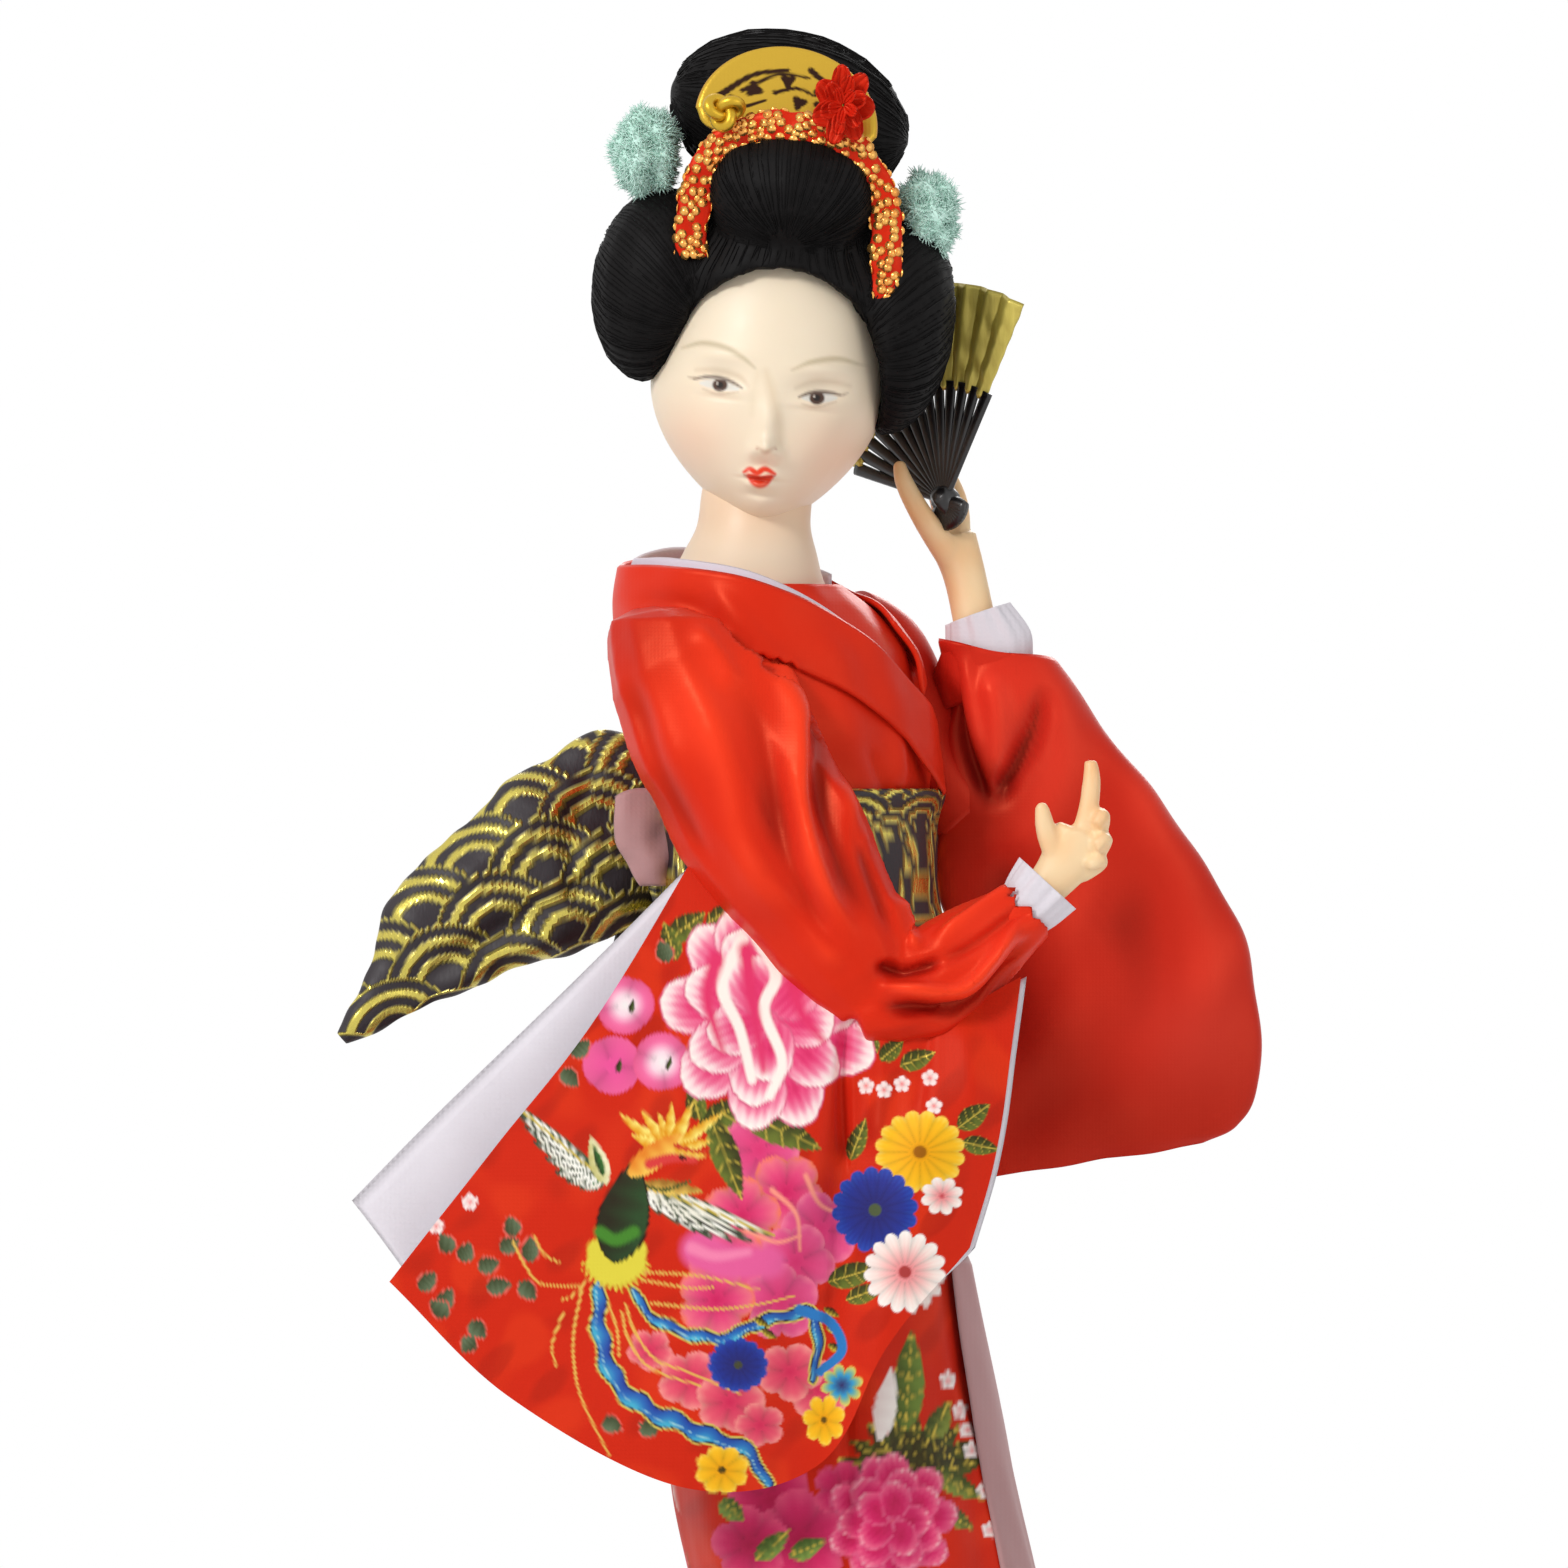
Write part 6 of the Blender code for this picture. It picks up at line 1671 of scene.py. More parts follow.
def blushed(mesh, tip_low, tip_high):
    """Skin paint: ivory at the wrist and a warm orange tone towards the tips, as the moulded hands have."""
    points = points_of(mesh)
    paint = Paint(points[:, 0], points[:, 2], (246, 214, 168))
    warm = smooth((points[:, 2] - tip_low) / (tip_high - tip_low)) * 0.5 + 0.22 * unevenness(points, 6, 61)
    paint.wash(warm, (247, 190, 132))
    paint.store(mesh)
    return mesh


show("moulded_hand_right", blushed(moulded(RIGHT_HAND), 196, 212), FACE_PAINT, ["hand_right"])
show("moulded_hand_left", blushed(moulded(LEFT_HAND), 222, 246), FACE_PAINT, ["hand_left"])


# %% Cuffs
def cuff(name, keys, flare, node, seed):
    """A white cuff: a gathered ring of cloth that opens round the wrist, with a turned rim."""
    keys = np.array(keys, float)
    keys[:, :3] += WAIST
    grid = tube_grid(through(keys, 40), 120)
    rows = np.linspace(0, 1, grid.shape[0])[:, None]
    angle = np.linspace(0, 2 * math.pi, grid.shape[1], endpoint=False)
    middle = grid.mean(1, keepdims=True)
    gather = 1 + flare * rows * (0.6 * np.sin(9 * angle + seed) + 0.4 * np.sin(16 * angle + 2 * seed))
    grid = middle + (grid - middle) * gather[..., None]
    inner = [middle[-k] + (grid[-k] - middle[-k]) * (0.86 - 0.02 * k) for k in (1, 4, 8)]
    mesh = tube_mesh(name, np.concatenate([grid, np.stack(inner)]))
    piece = show(name, mesh, WHITE_CLOTH, [node])
    return piece


cuff(
    "white_cuff_right",
    [(25.6, -23.8, -6.0, 2.8, 2.6), (28.2, -23.8, -3.8, 4.0, 3.2), (30.6, -23.8, -1.2, 4.6, 3.5)], 0.07,
    "cuff_right", 1.0,
)
cuff(
    "white_cuff_left",
    [(24.8, 7.0, 25.5, 4.8, 3.2), (23.8, 7.2, 28.5, 5.5, 3.4), (22.4, 7.4, 32.5, 4.2, 3.3)], 0.06,
    "cuff_left", 2.0,
)

# %% [markdown]
# ## Head
# The face is moulded and painted. Its mesh is a ball whose rows and columns crowd towards the face, pushed
# into shape by soft bumps for brow, lids, nose, lips and chin. The painted features then lie on its points.
# Besides the features, the painting holds painted shade beside and under the nose and above the upper lids,
# and a small painted highlight on each iris.

# %% Head
HEAD = WAIST + np.array([-4.0, -1.0, 61.0])
HEAD_TURN = np.array(Matrix.Rotation(math.radians(6.5), 3, "Y") @ Matrix.Rotation(math.radians(4), 3, "X"))
FACE_WIDE, FACE_DEEP, CHIN, CROWN = 14.7, 15.5, 17.2, 22.0


def head_place(points):
    return HEAD + np.asarray(points, float) @ HEAD_TURN.T


def hump(x, z, cx, cz, sx, sz):
    return np.exp(-(((x - cx) / sx) ** 2) - ((z - cz) / sz) ** 2)


turn = spaced([-math.pi, -math.pi / 2 - 0.9, -math.pi / 2 + 0.9, math.pi], [20, 172, 28])[:-1]
fall_angle = spaced([0.01, 1.15, 2.75, math.pi - 0.01], [18, 150, 10])
unit = np.stack([np.outer(np.sin(fall_angle), np.cos(turn)), np.outer(np.sin(fall_angle), np.sin(turn)),
                 np.outer(np.cos(fall_angle), np.ones(len(turn)))], -1)
x, y, z = unit[..., 0].copy(), unit[..., 1].copy(), unit[..., 2]
low = np.clip(-z, 0, 1)
level = np.maximum(np.hypot(x, y), 0.03)
x *= 1 - 0.3 * low**2
fullness = np.where(low > 0, (1 - low**3) ** (1 / 3) / level, 1.0)
y *= np.where(
    y > 0, 1.06, (1 - 0.10 * low) * (1 + np.clip(fullness - 1, 0, None) * np.clip(-y / level, 0, 1)),
)
across, up = x * FACE_WIDE + 0.9 * low**3, z * np.where(z > 0, CROWN, CHIN)
FACE_HUMPS = [
    (-5.9, 0.5, 3.2, 1.9, -1.1), (6.3, 0.1, 3.2, 1.9, -1.1), (-5.8, -0.7, 2.6, 0.95, 0.8),
    (6.2, -1.0, 2.6, 0.95, 0.8), (-5.8, -1.7, 2.7, 0.4, -0.25), (6.2, -2.0, 2.7, 0.4, -0.25),
    (0.7, -7.2, 1.4, 1.4, 1.9), (0.6, -4.2, 1.5, 3.0, 1.1), (-0.8, -7.8, 0.75, 0.8, 0.55),
    (2.1, -7.8, 0.75, 0.8, 0.55), (0.6, -9.4, 1.5, 0.55, -0.4), (-0.5, -10.7, 1.1, 0.5, 0.8),
    (1.1, -10.7, 1.1, 0.5, 0.8), (0.3, -12.0, 1.35, 0.6, 0.9), (0.3, -11.3, 2.2, 0.22, -0.35),
    (0.6, -13.3, 1.9, 0.5, -0.35), (1.0, -15.0, 2.6, 1.6, 0.5), (-6.5, 3.6, 4.0, 1.0, 0.5),
    (7.0, 3.2, 4.0, 1.0, 0.5), (-7.6, -6.5, 3.4, 4.0, 0.6), (8.4, -6.8, 3.4, 4.0, 0.6),
]
relief = sum(height * hump(across, up, cx, cz, sx, sz) for cx, cz, sx, sz, height in FACE_HUMPS)
y = np.where(unit[..., 1] < 0, y - relief / FACE_DEEP, y)
head_grid = head_place(np.stack([across, y * FACE_DEEP, up], -1).reshape(-1, 3)).reshape(unit.shape)
head_mesh = tube_mesh("head_form", head_grid)
print("head grid", head_grid.shape)


# %% Paint the face
def face_painting(mesh, skin=(241, 223, 196)):
    points, square = points_of(mesh), normals_of(mesh)
    x, y = seen(points)
    paint = Paint(x, y, skin)
    for cx, cy, reach, strength in ((690, 440, 40, 0.5), (838, 455, 42, 0.55), (758, 530, 34, 0.25)):
        paint.wash(strength * np.exp(-(((x - cx) / reach) ** 2) - ((y - cy) / reach) ** 2), (240, 190, 160))
    front = square[:, 1] < 0

    def line(points, width, rgb, taper=0.0, soft=1.6, strength=1.0):
        line_points = through(points, 12 * len(points))
        cx, cy = line_points.mean(0)
        i, dx, dy = paint.window(cx, cy, 60)
        d, t, _ = line_distance(dx + cx, dy + cy, line_points)
        half = width / 2 * (1 - taper * np.abs(2 * t - 1) ** 2)
        paint.lay(i, strength * np.clip((half - d) / soft + 0.5, 0, 1) * front[i], rgb)

    line([(682, 348), (702, 343), (724, 347), (742, 357), (755, 368)], 5.4, (188, 170, 132), 0.8, 4.0, 0.7)
    line([(792, 370), (812, 362), (838, 359), (862, 365)], 5.4, (188, 168, 130), 0.8, 4.0, 0.7)
    # Painted shade along both sides of the nose bridge.
    line([(766, 372), (774, 400), (779, 425), (780, 442)], 8, (222, 196, 162), 0.4, 9.0, 0.55)
    line([(758, 372), (753, 392), (752, 414)], 6, (226, 204, 172), 0.4, 8.0, 0.35)
    # Painted shade above the upper lids, under the brows.
    line([(696, 370), (716, 370), (738, 376), (748, 386)], 5, (214, 190, 160), 0.5, 5.0, 0.6)
    line([(796, 388), (812, 382), (832, 382), (850, 386)], 5, (214, 190, 160), 0.5, 5.0, 0.6)
    for lid, white, iris, under, tail in (
        (
            [(694, 379), (706, 377), (720, 378), (732, 382), (742, 388)],
            [(701, 383), (720, 385), (738, 389)], (720, 385), [(703, 389), (718, 394), (738, 392)],
            [(688, 377), (694, 378), (700, 378)],
        ),
        (
            [(799, 397), (810, 393), (821, 392), (832, 393), (840, 395)],
            [(803, 398), (818, 398), (836, 398)], (817, 398), [(802, 404), (816, 407), (836, 402)],
            [(836, 394), (842, 395), (848, 393)],
        ),
    ):
        line(white, 10.0, (226, 220, 210), 0.7, 2.0)
        i, dx, dy = paint.window(*iris, 18)
        above = np.clip((dy + 6.5) / 2.0, 0, 1) * front[i]
        paint.lay(i, (8.6 - np.hypot(dx, dy * 1.15)) / 2.2 * above, (74, 48, 36))
        paint.lay(i, (4.4 - np.hypot(dx, dy * 1.1)) / 1.8 * above, (22, 12, 10))
        # A small painted highlight on each iris, up and to the left of its middle.
        paint.lay(i, 0.8 * (1.7 - np.hypot(dx + 2.8, dy + 1.6)) / 1.2 * above, (236, 226, 214))
        line(lid, 3.8, (74, 50, 40), 0.6, 2.6, 0.9)
        line(tail, 2.6, (150, 120, 96), 0.8, 2.8, 0.6)
        line(under, 2.0, (196, 166, 138), 0.5, 3.0, 0.6)
    # Painted shade under the tip of the nose.
    line([(757, 447), (766, 452), (775, 447)], 4.0, (214, 182, 152), 0.5, 3.0, 0.7)
    for cx in (757, 776):
        i, dx, dy = paint.window(cx, 449, 10)
        paint.lay(i, 0.6 * (2.2 - np.hypot(dx, dy * 1.3)) / 2.0 * front[i], (190, 130, 104))
    line([(744, 472), (750, 469), (757, 473), (765, 469), (775, 474)], 6.0, (226, 60, 30), 0.5, 2.4)
    line([(749, 476), (760, 482), (771, 477)], 12.5, (228, 62, 32), 0.55, 3.0)
    line([(744, 475), (758, 478), (775, 476)], 2.0, (178, 34, 18), 0.6, 2.2, 0.8)
    line([(754, 483), (760, 486), (766, 482)], 2.6, (244, 124, 92), 0.6, 3.0, 0.6)
    line([(700, 300), (745, 268), (790, 266), (835, 292)], 9, (196, 186, 168), 0.8, 9.0, 0.35)
    paint.store(mesh)


face_painting(head_mesh)
show("painted_head", head_mesh, FACE_PAINT, ["head"])

# %% Neck and shoulder plate
neck_x, neck_y, shoulder = WAIST[0] - 5.8, WAIST[1] - 1.2, WAIST[2] + 27.3
neck_stations = np.array([
    (shoulder, neck_x + 1.4, neck_y, 10.0, 12.6), (shoulder + 5.0, neck_x, neck_y, 10.0, 12.0),
    (shoulder + 9.0, neck_x - 0.9, neck_y, 9.3, 10.4), (shoulder + 12.5, neck_x - 0.5, neck_y, 8.3, 8.6),
    (shoulder + 16.0, neck_x, neck_y, 7.1, 7.2), (shoulder + 20.0, neck_x + 0.4, neck_y + 0.6, 6.9, 7.0),
    (HEAD[2] - CHIN + 8.0, neck_x + 0.8, neck_y + 1.4, 6.6, 6.6)])
neck = tube_mesh("neck", rings(through(neck_stations, 70), np.linspace(0, 2 * math.pi, 90, endpoint=False)))
points = points_of(neck)
paint = Paint(*seen(points), (238, 214, 186))
shade = smooth((points[:, 2] - (HEAD[2] - CHIN - 5)) / 6)
paint.wash(0.5 * shade, (230, 190, 154))
paint.store(neck)
show("neck_and_shoulders", neck, FACE_PAINT, ["head"])

# %% [markdown]
# ## Wig
# The wig is black floss brushed over pads: back hair, two side wings, a forelock and a top bun. Each pad's
# surface gets combed grooves, and single strands lie on it. The strands are polylines that Geometry Nodes
# turns into thin round threads, so one radius holds for all of them.


# %% Strands
def node_group(name, inputs):
    """A geometry tree with named inputs, its group input and its group output."""
    tree = bpy.data.node_groups.new(name, "GeometryNodeTree")
    tree.interface.new_socket("Geometry", in_out="INPUT", socket_type="NodeSocketGeometry")
    for title, kind in inputs:
        tree.interface.new_socket(title, in_out="INPUT", socket_type=kind)
    tree.interface.new_socket("Geometry", in_out="OUTPUT", socket_type="NodeSocketGeometry")
    return tree, tree.nodes.new("NodeGroupInput"), tree.nodes.new("NodeGroupOutput")


def grown(mesh, tree, values):
    """Runs a geometry tree on a mesh, with its inputs set by name, and gives back the finished mesh."""
    work = bpy.data.objects.new("grow_work", mesh)
    bpy.context.scene.collection.objects.link(work)
    modifier = work.modifiers.new("Grow", "NODES")
    modifier.node_group = tree
    for item in tree.interface.items_tree:
        if item.item_type == "SOCKET" and item.in_out == "INPUT" and item.name in values:
            modifier[item.identifier] = values[item.name]
    return baked(work)


def add(tree, kind, **values):
    """A node of a tree, with its inputs set by name."""
    made = tree.nodes.new(kind)
    for name, value in values.items():
        made.inputs[name.replace("_", " ")].default_value = value
    return made


def wire(tree, links):
    """Links between nodes, each as a node, its output, the next node and the input there."""
    for source, output, target, entry in links:
        tree.links.new(source.outputs[output], target.inputs[entry])


def coated(tree, source, output, finish, end):
    """The end of a tree: what was placed is made real and gets its finish."""
    real = add(tree, "GeometryNodeRealizeInstances")
    coat = add(tree, "GeometryNodeSetMaterial", Material=finish)
    wire(tree, [
        (source, output, real, "Geometry"),
        (real, "Geometry", coat, "Geometry"),
        (coat, "Geometry", end, "Geometry"),
    ])
    return tree


def thread_tree(finish):
    tree, start, end = node_group("threads", [("Thread radius", "NodeSocketFloat")])
    to_curve = add(tree, "GeometryNodeMeshToCurve")
    profile = add(tree, "GeometryNodeCurvePrimitiveCircle", Resolution=3)
    skin = add(tree, "GeometryNodeCurveToMesh", Fill_Caps=True)
    wire(tree, [
        (start, "Geometry", to_curve, "Mesh"),
        (start, "Thread radius", profile, "Radius"),
        (to_curve, "Curve", skin, "Curve"),
        (profile, "Curve", skin, "Profile Curve"),
    ])
    return coated(tree, skin, "Mesh", finish, end)


THREADS = thread_tree(HAIR)


def threads_on(surface, strands, proud, reach, radius, seed):
    """Lays polylines on a surface, drops what is too far from it, and makes them into round threads."""
    tree = BVHTree.FromPolygons(
        [v.co for v in surface.vertices], [tuple(p.vertices) for p in surface.polygons],
    )
    points, edges = [], []
    rng = np.random.default_rng(seed)
    for strand in strands:
        lift, last = proud * rng.uniform(0.2, 1.0), None
        for point in strand:
            spot, square, _, far = tree.find_nearest(Vector(point * MM))
            if spot is None or far > reach * MM:
                last = None
                continue
            points.append(spot + square * lift * MM)
            if last is not None:
                edges.append((last, len(points) - 1))
            last = len(points) - 1
    mesh = bpy.data.meshes.new("strands")
    mesh.from_pydata(points, edges, [])
    return grown(mesh, THREADS, {"Thread radius": radius * MM})


def pad_frame(axis):
    """A pad's axis and two directions across it."""
    axis = np.array(axis, float) / np.linalg.norm(axis)
    first = np.cross(axis, (0.0, 0.3, 1.0))
    first /= np.linalg.norm(first)
    return axis, first, np.cross(axis, first)


def pad_point(centre, radii, axis, along, around):
    """A point of a pad, given on meridians round an axis: along from pole to pole, around it in radians."""
    axis, first, second = pad_frame(axis)
    a = along[:, None] * math.pi
    unit = np.cos(a) * axis + np.sin(a) * (math.cos(around) * first + math.sin(around) * second)
    return head_place(np.array(centre) + unit * radii)


def grooved(mesh, centre, radii, axis, depth, count, seed, where):
    """Combed grooves along the meridians of a pad, for the points that belong to it."""
    points, square = points_of(mesh), normals_of(mesh)
    local = ((points - HEAD) @ HEAD_TURN - centre) / radii
    _, first, second = pad_frame(axis)
    around = np.arctan2(local @ second, local @ first)
    rng = np.random.default_rng(seed)
    lift = sum(
        rng.uniform(0.4, 1.0) * np.sin(around * k + rng.uniform(0, 6.3))
        for k in (count, count * 2 - 3, count * 3 + 5)
    ) / 3
    away = np.clip(np.hypot(local @ first, local @ second) * 1.6, 0, 1)
    set_points(mesh, points + square * (depth * lift * away * where)[:, None])


PADS = {
    "hair_back": ((0.5, 2.0, 11.0), (16.0, 17.2, 14.5), (0.0, -0.35, 1.0)),
    "hair_wing_right": ((-14.6, -1.0, 10.8), (8.4, 10.6, 12.0), (0.75, -0.75, -0.35)),
    "hair_wing_left": ((14.4, -1.0, 9.6), (7.6, 10.6, 13.8), (-0.75, -0.75, -0.35)),
    "hair_forelock": ((0.2, -5.0, 24.0), (11.2, 11.2, 9.0), (0.0, -1.0, -0.9)),
    "hair_bun": ((-0.2, 4.0, 33.6), (15.4, 9.7, 10.8), (1.0, 0.0, -0.15)),
}
low_pads = [node for node in PADS if node != "hair_bun"]
for title, nodes in (("brushed_hair", low_pads), ("brushed_bun", ["hair_bun"])):
    pad = soft_copy(nodes, 0.7, 7, 0.5 if len(nodes) > 1 else 0.2)
    points = points_of(pad)
    points[:, 0] -= 0.17 * np.maximum(points[:, 2] - HEAD[2] - 31, 0)
    points[:, 0] -= 0.08 * np.maximum(points[:, 0] - HEAD[0] - 6, 0) * (len(nodes) == 1)
    set_points(pad, points)
    local = (points - HEAD) @ HEAD_TURN
    away = [np.abs(np.linalg.norm((local - PADS[node][0]) / PADS[node][1], axis=1) - 1) for node in nodes]
    nearest = np.argmin(away, axis=0)
    strands = []
    for k, node in enumerate(nodes):
        centre, radii, axis = PADS[node]
        grooved(pad, centre, radii, axis, 0.2, 26, k, nearest == k)
        rng = np.random.default_rng(70 + k)
        for around in np.linspace(0, 2 * math.pi, 150, endpoint=False):
            along = np.linspace(0.08, 0.92, 18) + rng.uniform(-0.03, 0.03)
            strands.append(pad_point(centre, np.array(radii), axis, along, around + rng.normal(0, 0.02)))
    show(title, pad, HAIR, nodes)
    threads = threads_on(pad, strands, 0.12, 1.6, 0.07, len(nodes))
    show(title + "_strands", threads, HAIR, nodes)

# %% [markdown]
# ## Comb, ribbon and knot
# The half-moon comb is gilt, with black drawing on it. The ribbon is red with gold sequins: Geometry Nodes
# sets a small disc on each of the points that it scatters over the band.

# %% Comb
COMB_AT = head_place([(-1.4, -8.6, 33.0)])[0]
COMB_TURN = HEAD_TURN @ np.array(
    Matrix.Rotation(math.radians(3), 3, "Y") @ Matrix.Rotation(math.radians(72), 3, "X")
)
arc = np.linspace(0, math.pi, 90)
outline = np.vstack([np.stack([11.4 * np.cos(arc), 9.8 * np.sin(arc)], -1),
                     through([(-11.4, 0.0), (-9.1, -2.4), (0, -3.6), (9.1, -2.4), (11.4, 0.0)], 50)[1:-1]])
plate, middle = [], np.array([0.0, 2.4])
front_rings = [(share, 0.55) for share in np.linspace(0.01, 0.95, 34)]
back_rings = [(share, -0.55) for share in np.linspace(0.95, 0.01, 8)]
for scale, thick in front_rings + [(0.985, 0.4), (1.0, 0.0), (0.985, -0.4)] + back_rings:
    ring = middle + (outline - middle) * scale
    plate.append(COMB_AT + np.column_stack([ring, np.full(len(ring), thick)]) @ COMB_TURN.T)
comb = tube_mesh("comb_plate", np.array(plate))
flat_points = (points_of(comb) - COMB_AT) @ COMB_TURN
paint = Paint(flat_points[:, 0] * 10, -flat_points[:, 1] * 10, (206, 168, 58))
paint.gold[:] = 1.0
for line, width in (
    ([(-88, -18), (-50, -52), (-8, -66)], 9), ([(-60, -30), (-20, -58), (20, -60)], 6),
    ([(20, -70), (52, -48), (88, -14)], 8), ([(-96, -6), (-60, -8), (-30, -22)], 7),
    ([(34, -28), (60, -20), (92, -6)], 8), ([(-20, -34), (6, -44), (30, -38)], 6),
):
    stroke(paint, line, width, (22, 16, 14), taper=0.5, soft=1.4)
for cx, cy, size in ((-46, -34, 10), (-6, -52, 9), (40, -46, 11), (62, -24, 8), (-70, -16, 7), (12, -26, 9)):
    i, dx, dy = paint.window(cx, cy, 24)
    paint.lay(
        i, (size - np.hypot(dx, dy) * (1 + 0.25 * np.sin(3 * np.arctan2(dy, dx) + cx))) / 2.0, (22, 16, 14),
    )
paint.store(comb)
show("comb_halfmoon", comb, PRINT, ["comb"])

# %% Ribbon with sequins
RIBBON_PATH = [
    (-11.2, -10.4, 15.2), (-11.6, -10.2, 21.0), (-10.6, -9.4, 26.6), (-6.0, -11.0, 31.4),
    (0.2, -12.0, 32.6), (6.4, -11.0, 31.2), (11.0, -9.4, 26.2), (12.6, -10.0, 20.4), (13.4, -10.4, 12.6),
]
grid = even_tube(head_place(through(RIBBON_PATH, 220)), 1.9, 0.5, 40)
wobble = 0.18 * unevenness(grid.reshape(-1, 3), 3.5, 90).reshape(grid.shape[:2])
middle = grid.mean(1, keepdims=True)
grid = grid + (grid - middle) / np.linalg.norm(grid - middle, axis=-1, keepdims=True) * wobble[..., None]
ribbon = tube_mesh("ribbon_band", grid)
show("hair_ribbon_band", ribbon, RIBBON, ["hair_ribbon"])


def sequin_tree():
    tree, start, end = node_group("sequins", [
        ("Disc radius", "NodeSocketFloat"), ("Spacing", "NodeSocketFloat"),
        ("Per square metre", "NodeSocketFloat"), ("Seed", "NodeSocketInt")])
    spots = add(tree, "GeometryNodeDistributePointsOnFaces")
    spots.distribute_method = "POISSON"
    disc = add(tree, "GeometryNodeMeshCylinder", Vertices=9, Depth=0.00012)
    place = add(tree, "GeometryNodeInstanceOnPoints")
    wire(tree, [
        (start, "Geometry", spots, "Mesh"),
        (start, "Spacing", spots, "Distance Min"),
        (start, "Per square metre", spots, "Density Max"),
        (start, "Seed", spots, "Seed"),
        (start, "Disc radius", disc, "Radius"),
        (spots, "Points", place, "Points"),
        (spots, "Rotation", place, "Rotation"),
        (disc, "Mesh", place, "Instance"),
    ])
    return coated(tree, place, "Instances", SEQUIN, end)


scattered = {"Disc radius": 0.62 * MM, "Spacing": 0.86 * MM, "Per square metre": 3.2e6, "Seed": 4}
sequins = grown(ribbon.copy(), sequin_tree(), scattered)
show("ribbon_sequins", sequins, SEQUIN, ["hair_ribbon"])

# %% Knot and flower
t = np.linspace(0, 2 * math.pi, 240, endpoint=False)
loop = np.stack(
    [np.sin(t) + 2 * np.sin(2 * t), 0.9 * np.sin(3 * t), np.cos(t) - 2 * np.cos(2 * t)], -1,
) * (0.8, 0.9, 0.72)
knot_path = head_place(loop * 0.9 + (-9.2, -12.6, 33.6))
knot = tube_mesh("knot", even_tube(np.vstack([knot_path, knot_path[:1]]), 0.72, 0.72, 14, (0, 1, 0.02)))
show("gold_cord_knot", knot, GOLD, ["ribbon_knot"])
petals = bmesh.new()
for layer, (count, reach, rise) in enumerate(((7, 4.2, 0.5), (6, 3.1, 1.3), (5, 2.0, 2.0))):
    for k in range(count):
        angle = 2 * math.pi * (k + 0.37 * layer) / count
        u, v = np.meshgrid(np.linspace(0, 1, 16), np.linspace(-1, 1, 14), indexing="ij")
        width = 1.55 * (reach / 4.2) * np.sin(np.clip(u * 2.7, 0, math.pi)) ** 0.7 * v
        out = u * reach * (1 + 0.1 * (1 - v**2))
        lift = rise + 1.5 * u**2 * (0.4 + 0.3 * layer) + 0.35 * v**2 + 0.12 * np.sin(9 * v + 5 * u)
        x = out * math.cos(angle) - width * math.sin(angle)
        z = (out * math.sin(angle) + width * math.cos(angle)) * 1.18
        local = np.stack([x, -lift, z], -1).reshape(-1, 3)
        petal_grid = head_place(local * (0.86, 1, 0.94) + (5.4, -11.6, 36.0)).reshape(*u.shape, 3)
        petals.from_mesh(closed_sheet("petal", petal_grid[1:], 0.28))
flower = bpy.data.meshes.new("flower")
petals.to_mesh(flower)
petals.free()
flower.shade_smooth()
show("ribbon_flower_petals", flower, RIBBON, ["ribbon_flower"])

# %% [markdown]
# ## Fluffy puffs
# Two tufts of mint floss sit between the wings and the bun. Each is a soft ball covered in short fibres
# that lean at random, and fewer long ones that stand out between them.


# %% Puffs
def fluff_tree(finish):
    tree, start, end = node_group(
        "fluff",
        [
            ("Count per square metre", "NodeSocketFloat"), ("Length", "NodeSocketFloat"),
            ("Seed", "NodeSocketInt")
        ],
    )
    spots = add(tree, "GeometryNodeDistributePointsOnFaces")
    fibre = add(tree, "GeometryNodeMeshCone", Vertices=3, Side_Segments=2)
    fibre.inputs["Radius Top"].default_value = 0.00002
    fibre.inputs["Radius Bottom"].default_value = 0.00013
    wander = add(tree, "FunctionNodeRandomValue")
    wander.data_type = "FLOAT_VECTOR"
    wander.inputs["Min"].default_value = (-0.75, -0.75, 0)
    wander.inputs["Max"].default_value = (0.75, 0.75, 6.28)
    turned = add(tree, "FunctionNodeRotateEuler")
    turned.space = "LOCAL"
    place = add(tree, "GeometryNodeInstanceOnPoints")
    wire(tree, [
        (start, "Geometry", spots, "Mesh"),
        (start, "Count per square metre", spots, "Density"),
        (start, "Seed", spots, "Seed"),
        (start, "Seed", wander, "Seed"),
        (start, "Length", fibre, "Depth"),
        (spots, "Rotation", turned, "Rotation"),
        (wander, "Value", turned, "Rotate By"),
        (spots, "Points", place, "Points"),
        (turned, "Rotation", place, "Rotation"),
        (fibre, "Mesh", place, "Instance"),
    ])
    return coated(tree, place, "Instances", finish, end)


FLUFF = fluff_tree(MINT)
for node, title, seed in (("puff_right", "mint_puff_right", 5), ("puff_left", "mint_puff_left", 6)):
    ball = soft_copy(node, 0.5, 4)
    points = points_of(ball)
    middle = points.mean(0)
    points = middle + (points - middle) * (0.86, 0.9, 0.92) + (
        (-1.2, 0, 0) if node == "puff_left" else (0.6, 0, 0.5)
    )
    set_points(ball, points + normals_of(ball) * (0.55 * unevenness(points, 3.0, seed) - 0.2)[:, None])
    show(title, ball, MINT, [node])
    for kind, count, length in (("fibres", 8.0e6, 0.8), ("fringe", 3.0e6, 1.15)):
        fibres = grown(
            ball.copy(), FLUFF, {"Count per square metre": count, "Length": length * MM, "Seed": seed},
        )
        show(f"{title}_{kind}", fibres, MINT, [node])

# %% [markdown]
# ## Fan
# A gilt paper leaf on black sticks. The paper is pleated, with two folds for each stick, and the sticks are
# one bar that Geometry Nodes repeats about the rivet.

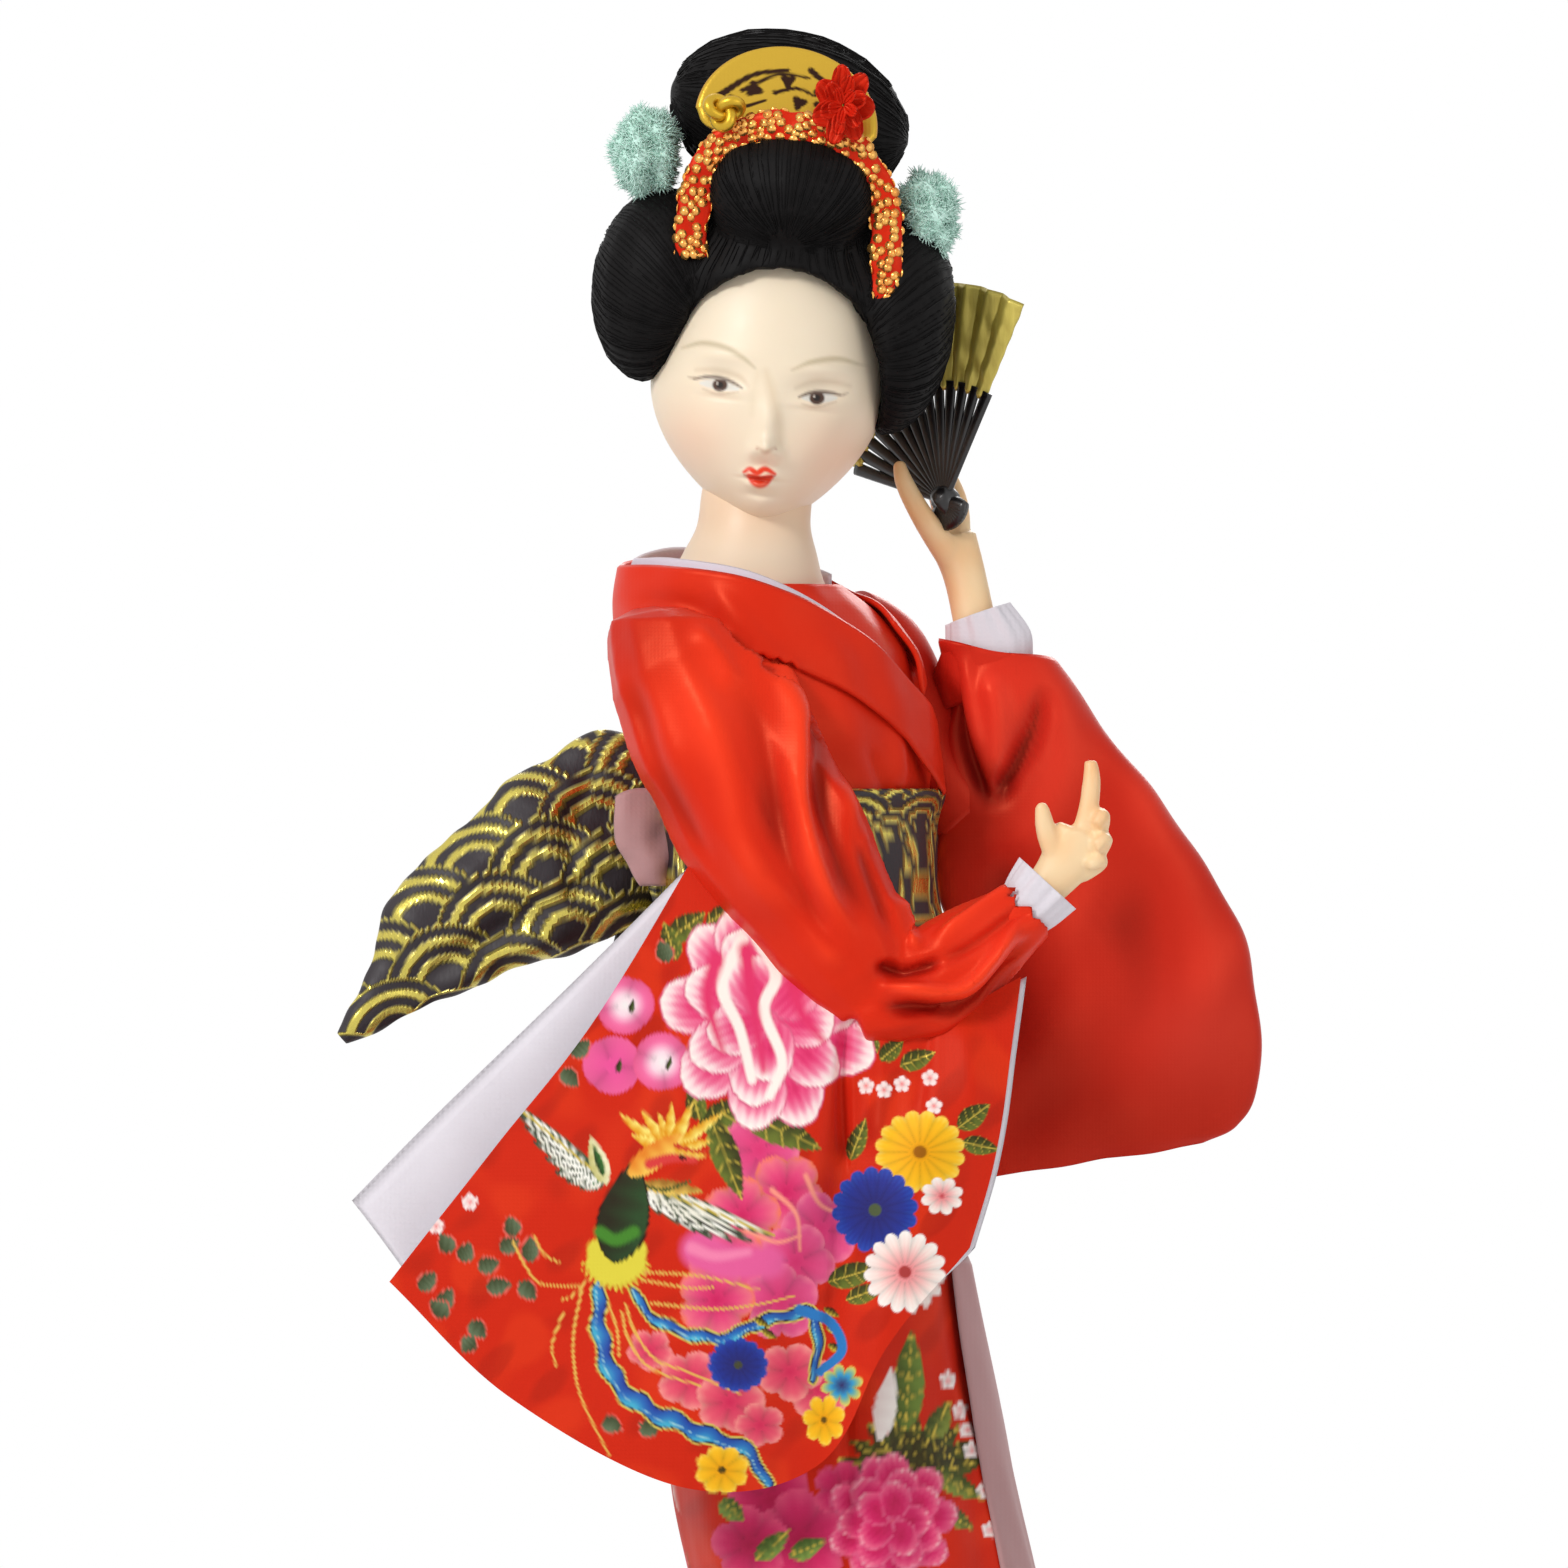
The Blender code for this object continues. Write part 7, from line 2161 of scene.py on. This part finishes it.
# %% Fan leaf
FAN_PIVOT = WAIST + np.array([18.2, 6.4, 46.6])
FAN_TURN = math.radians(40)
FAN_ACROSS = np.array([math.cos(FAN_TURN), -math.sin(FAN_TURN), 0.0])
FAN_FRONT = np.array([-math.sin(FAN_TURN), -math.cos(FAN_TURN), 0.0])
FAN_START, FAN_OPEN, PLEATS = math.radians(63), math.radians(100), 13
t = np.linspace(0, 1, 2 * PLEATS * 8 + 1)
ridge = 1 - 2 * np.abs((t * 2 * PLEATS) % 2 - 1)
radius = np.linspace(14.0, 27.5, 26)
angle = FAN_START + FAN_OPEN * t
rays = np.cos(angle)[:, None] * FAN_ACROSS + np.sin(angle)[:, None] * np.array([0, 0, 1.0])
leaf_grid = FAN_PIVOT + radius[:, None, None] * rays
leaf_grid = leaf_grid + (0.5 * (radius / 27.5)[:, None] * ridge)[..., None] * FAN_FRONT
buckle = 0.1 * unevenness(leaf_grid.reshape(-1, 3), 3, 96).reshape(leaf_grid.shape[:2])
leaf_grid = leaf_grid + buckle[..., None] * FAN_FRONT
leaf_mesh = closed_sheet("fan_leaf", leaf_grid, 0.4)
leaf_piece = show("gilt_fan_leaf", leaf_mesh, GOLD_PAPER, ["fan_leaf"])
size, area = flat_size(leaf_grid)


# %% Fan sticks
def stick_tree():
    tree, start, end = node_group("fan_sticks", [
        ("Sticks", "NodeSocketInt"), ("First angle", "NodeSocketFloat"), ("Step", "NodeSocketFloat"),
        ("Pivot", "NodeSocketVector"), ("Fan turn", "NodeSocketFloat")])
    row = add(tree, "GeometryNodePoints")
    number = add(tree, "GeometryNodeInputIndex")
    times = add(tree, "ShaderNodeMath")
    times.operation = "MULTIPLY_ADD"
    turn_to = add(tree, "ShaderNodeCombineXYZ")
    place = add(tree, "GeometryNodeInstanceOnPoints")
    real = add(tree, "GeometryNodeRealizeInstances")
    swing = add(tree, "GeometryNodeTransform")
    swing_to = add(tree, "ShaderNodeCombineXYZ")
    coat = add(tree, "GeometryNodeSetMaterial", Material=BLACK)
    wire(tree, [
        (start, "Sticks", row, "Count"),
        (number, 0, times, 0),
        (start, "Step", times, 1),
        (start, "First angle", times, 2),
        (times, 0, turn_to, "Y"),
        (row, 0, place, "Points"),
        (start, "Geometry", place, "Instance"),
        (turn_to, 0, place, "Rotation"),
        (place, "Instances", real, "Geometry"),
        (real, "Geometry", swing, "Geometry"),
        (start, "Fan turn", swing_to, "Z"),
        (swing_to, 0, swing, "Rotation"),
        (start, "Pivot", swing, "Translation"),
        (swing, "Geometry", coat, "Geometry"),
        (coat, "Geometry", end, "Geometry"),
    ])
    return tree


reach = np.linspace(-3.6, 15.2, 30)
width = 0.42 + 0.03 * np.abs(reach) + 0.75 * np.exp(-(((reach + 2.0) / 1.9) ** 2))
stations = np.column_stack(
    [reach, 0 * reach, 0 * reach, width, 0.34 + 0.5 * np.exp(-(((reach + 1.0) / 2.6) ** 2))]
)
stick = tube_mesh("stick", tube_grid(stations, 10))
sticks = grown(
    stick, stick_tree(),
    {
        "Sticks": PLEATS + 1, "First angle": -FAN_START, "Step": -FAN_OPEN / PLEATS,
        "Pivot": tuple(FAN_PIVOT * MM), "Fan turn": -FAN_TURN,
    },
)
show("fan_sticks_black", sticks, BLACK, ["fan_sticks"])
knob = soft_copy("fan_grip", 0.35, 5)
set_points(knob, FAN_PIVOT + (points_of(knob) - FAN_PIVOT) * (0.72, 0.8, 0.72))
show("fan_rivet_knob", knob, BLACK, ["fan_grip"])

# %% [markdown]
# ## Floor
# The floor only holds the object's shadow. Where the camera looks at it beyond the shadow it is as white as
# the background.

# %% Floor
floor = bpy.data.meshes.new("floor")
FLOOR_RADIUS = 1.5
corners = [
    (FLOOR_RADIUS * math.cos(a), FLOOR_RADIUS * math.sin(a), 0.0)
    for a in np.linspace(0, 2 * math.pi, 64, False)
]
floor.from_pydata(corners, [], [tuple(range(len(corners)))])
floor_piece = bpy.data.objects.new("floor", floor)
bpy.context.scene.collection.objects.link(floor_piece)
table = Finish("white_table", (250, 250, 250), 0.9)
glow = table.node("Emission")
glow.inputs["Color"].default_value = (1, 1, 1, 1)
to_camera = white_to_the_camera(table.tree, table.shader.outputs[0], glow.outputs[0])
reach = table.node("VectorMath", operation="LENGTH")
table.link(table.place, reach.inputs[0])
away = table.node("MapRange", interpolation_type="SMOOTHSTEP")
away.inputs["From Min"].default_value, away.inputs["From Max"].default_value = 0.1, 0.42
table.link(reach.outputs["Value"], away.inputs["Value"])
fade = table.node("MixShader")
table.link(away.outputs[0], fade.inputs[0])
table.link(table.shader.outputs[0], fade.inputs[1])
table.link(to_camera.outputs[0], fade.inputs[2])
table.link(fade.outputs[0], table.tree.nodes["Material Output"].inputs["Surface"])
floor.materials.append(table.material)

# %% Size and finish
print("triangles added:", sum(SHOWN.values()), "largest piece:", max(SHOWN.values()))
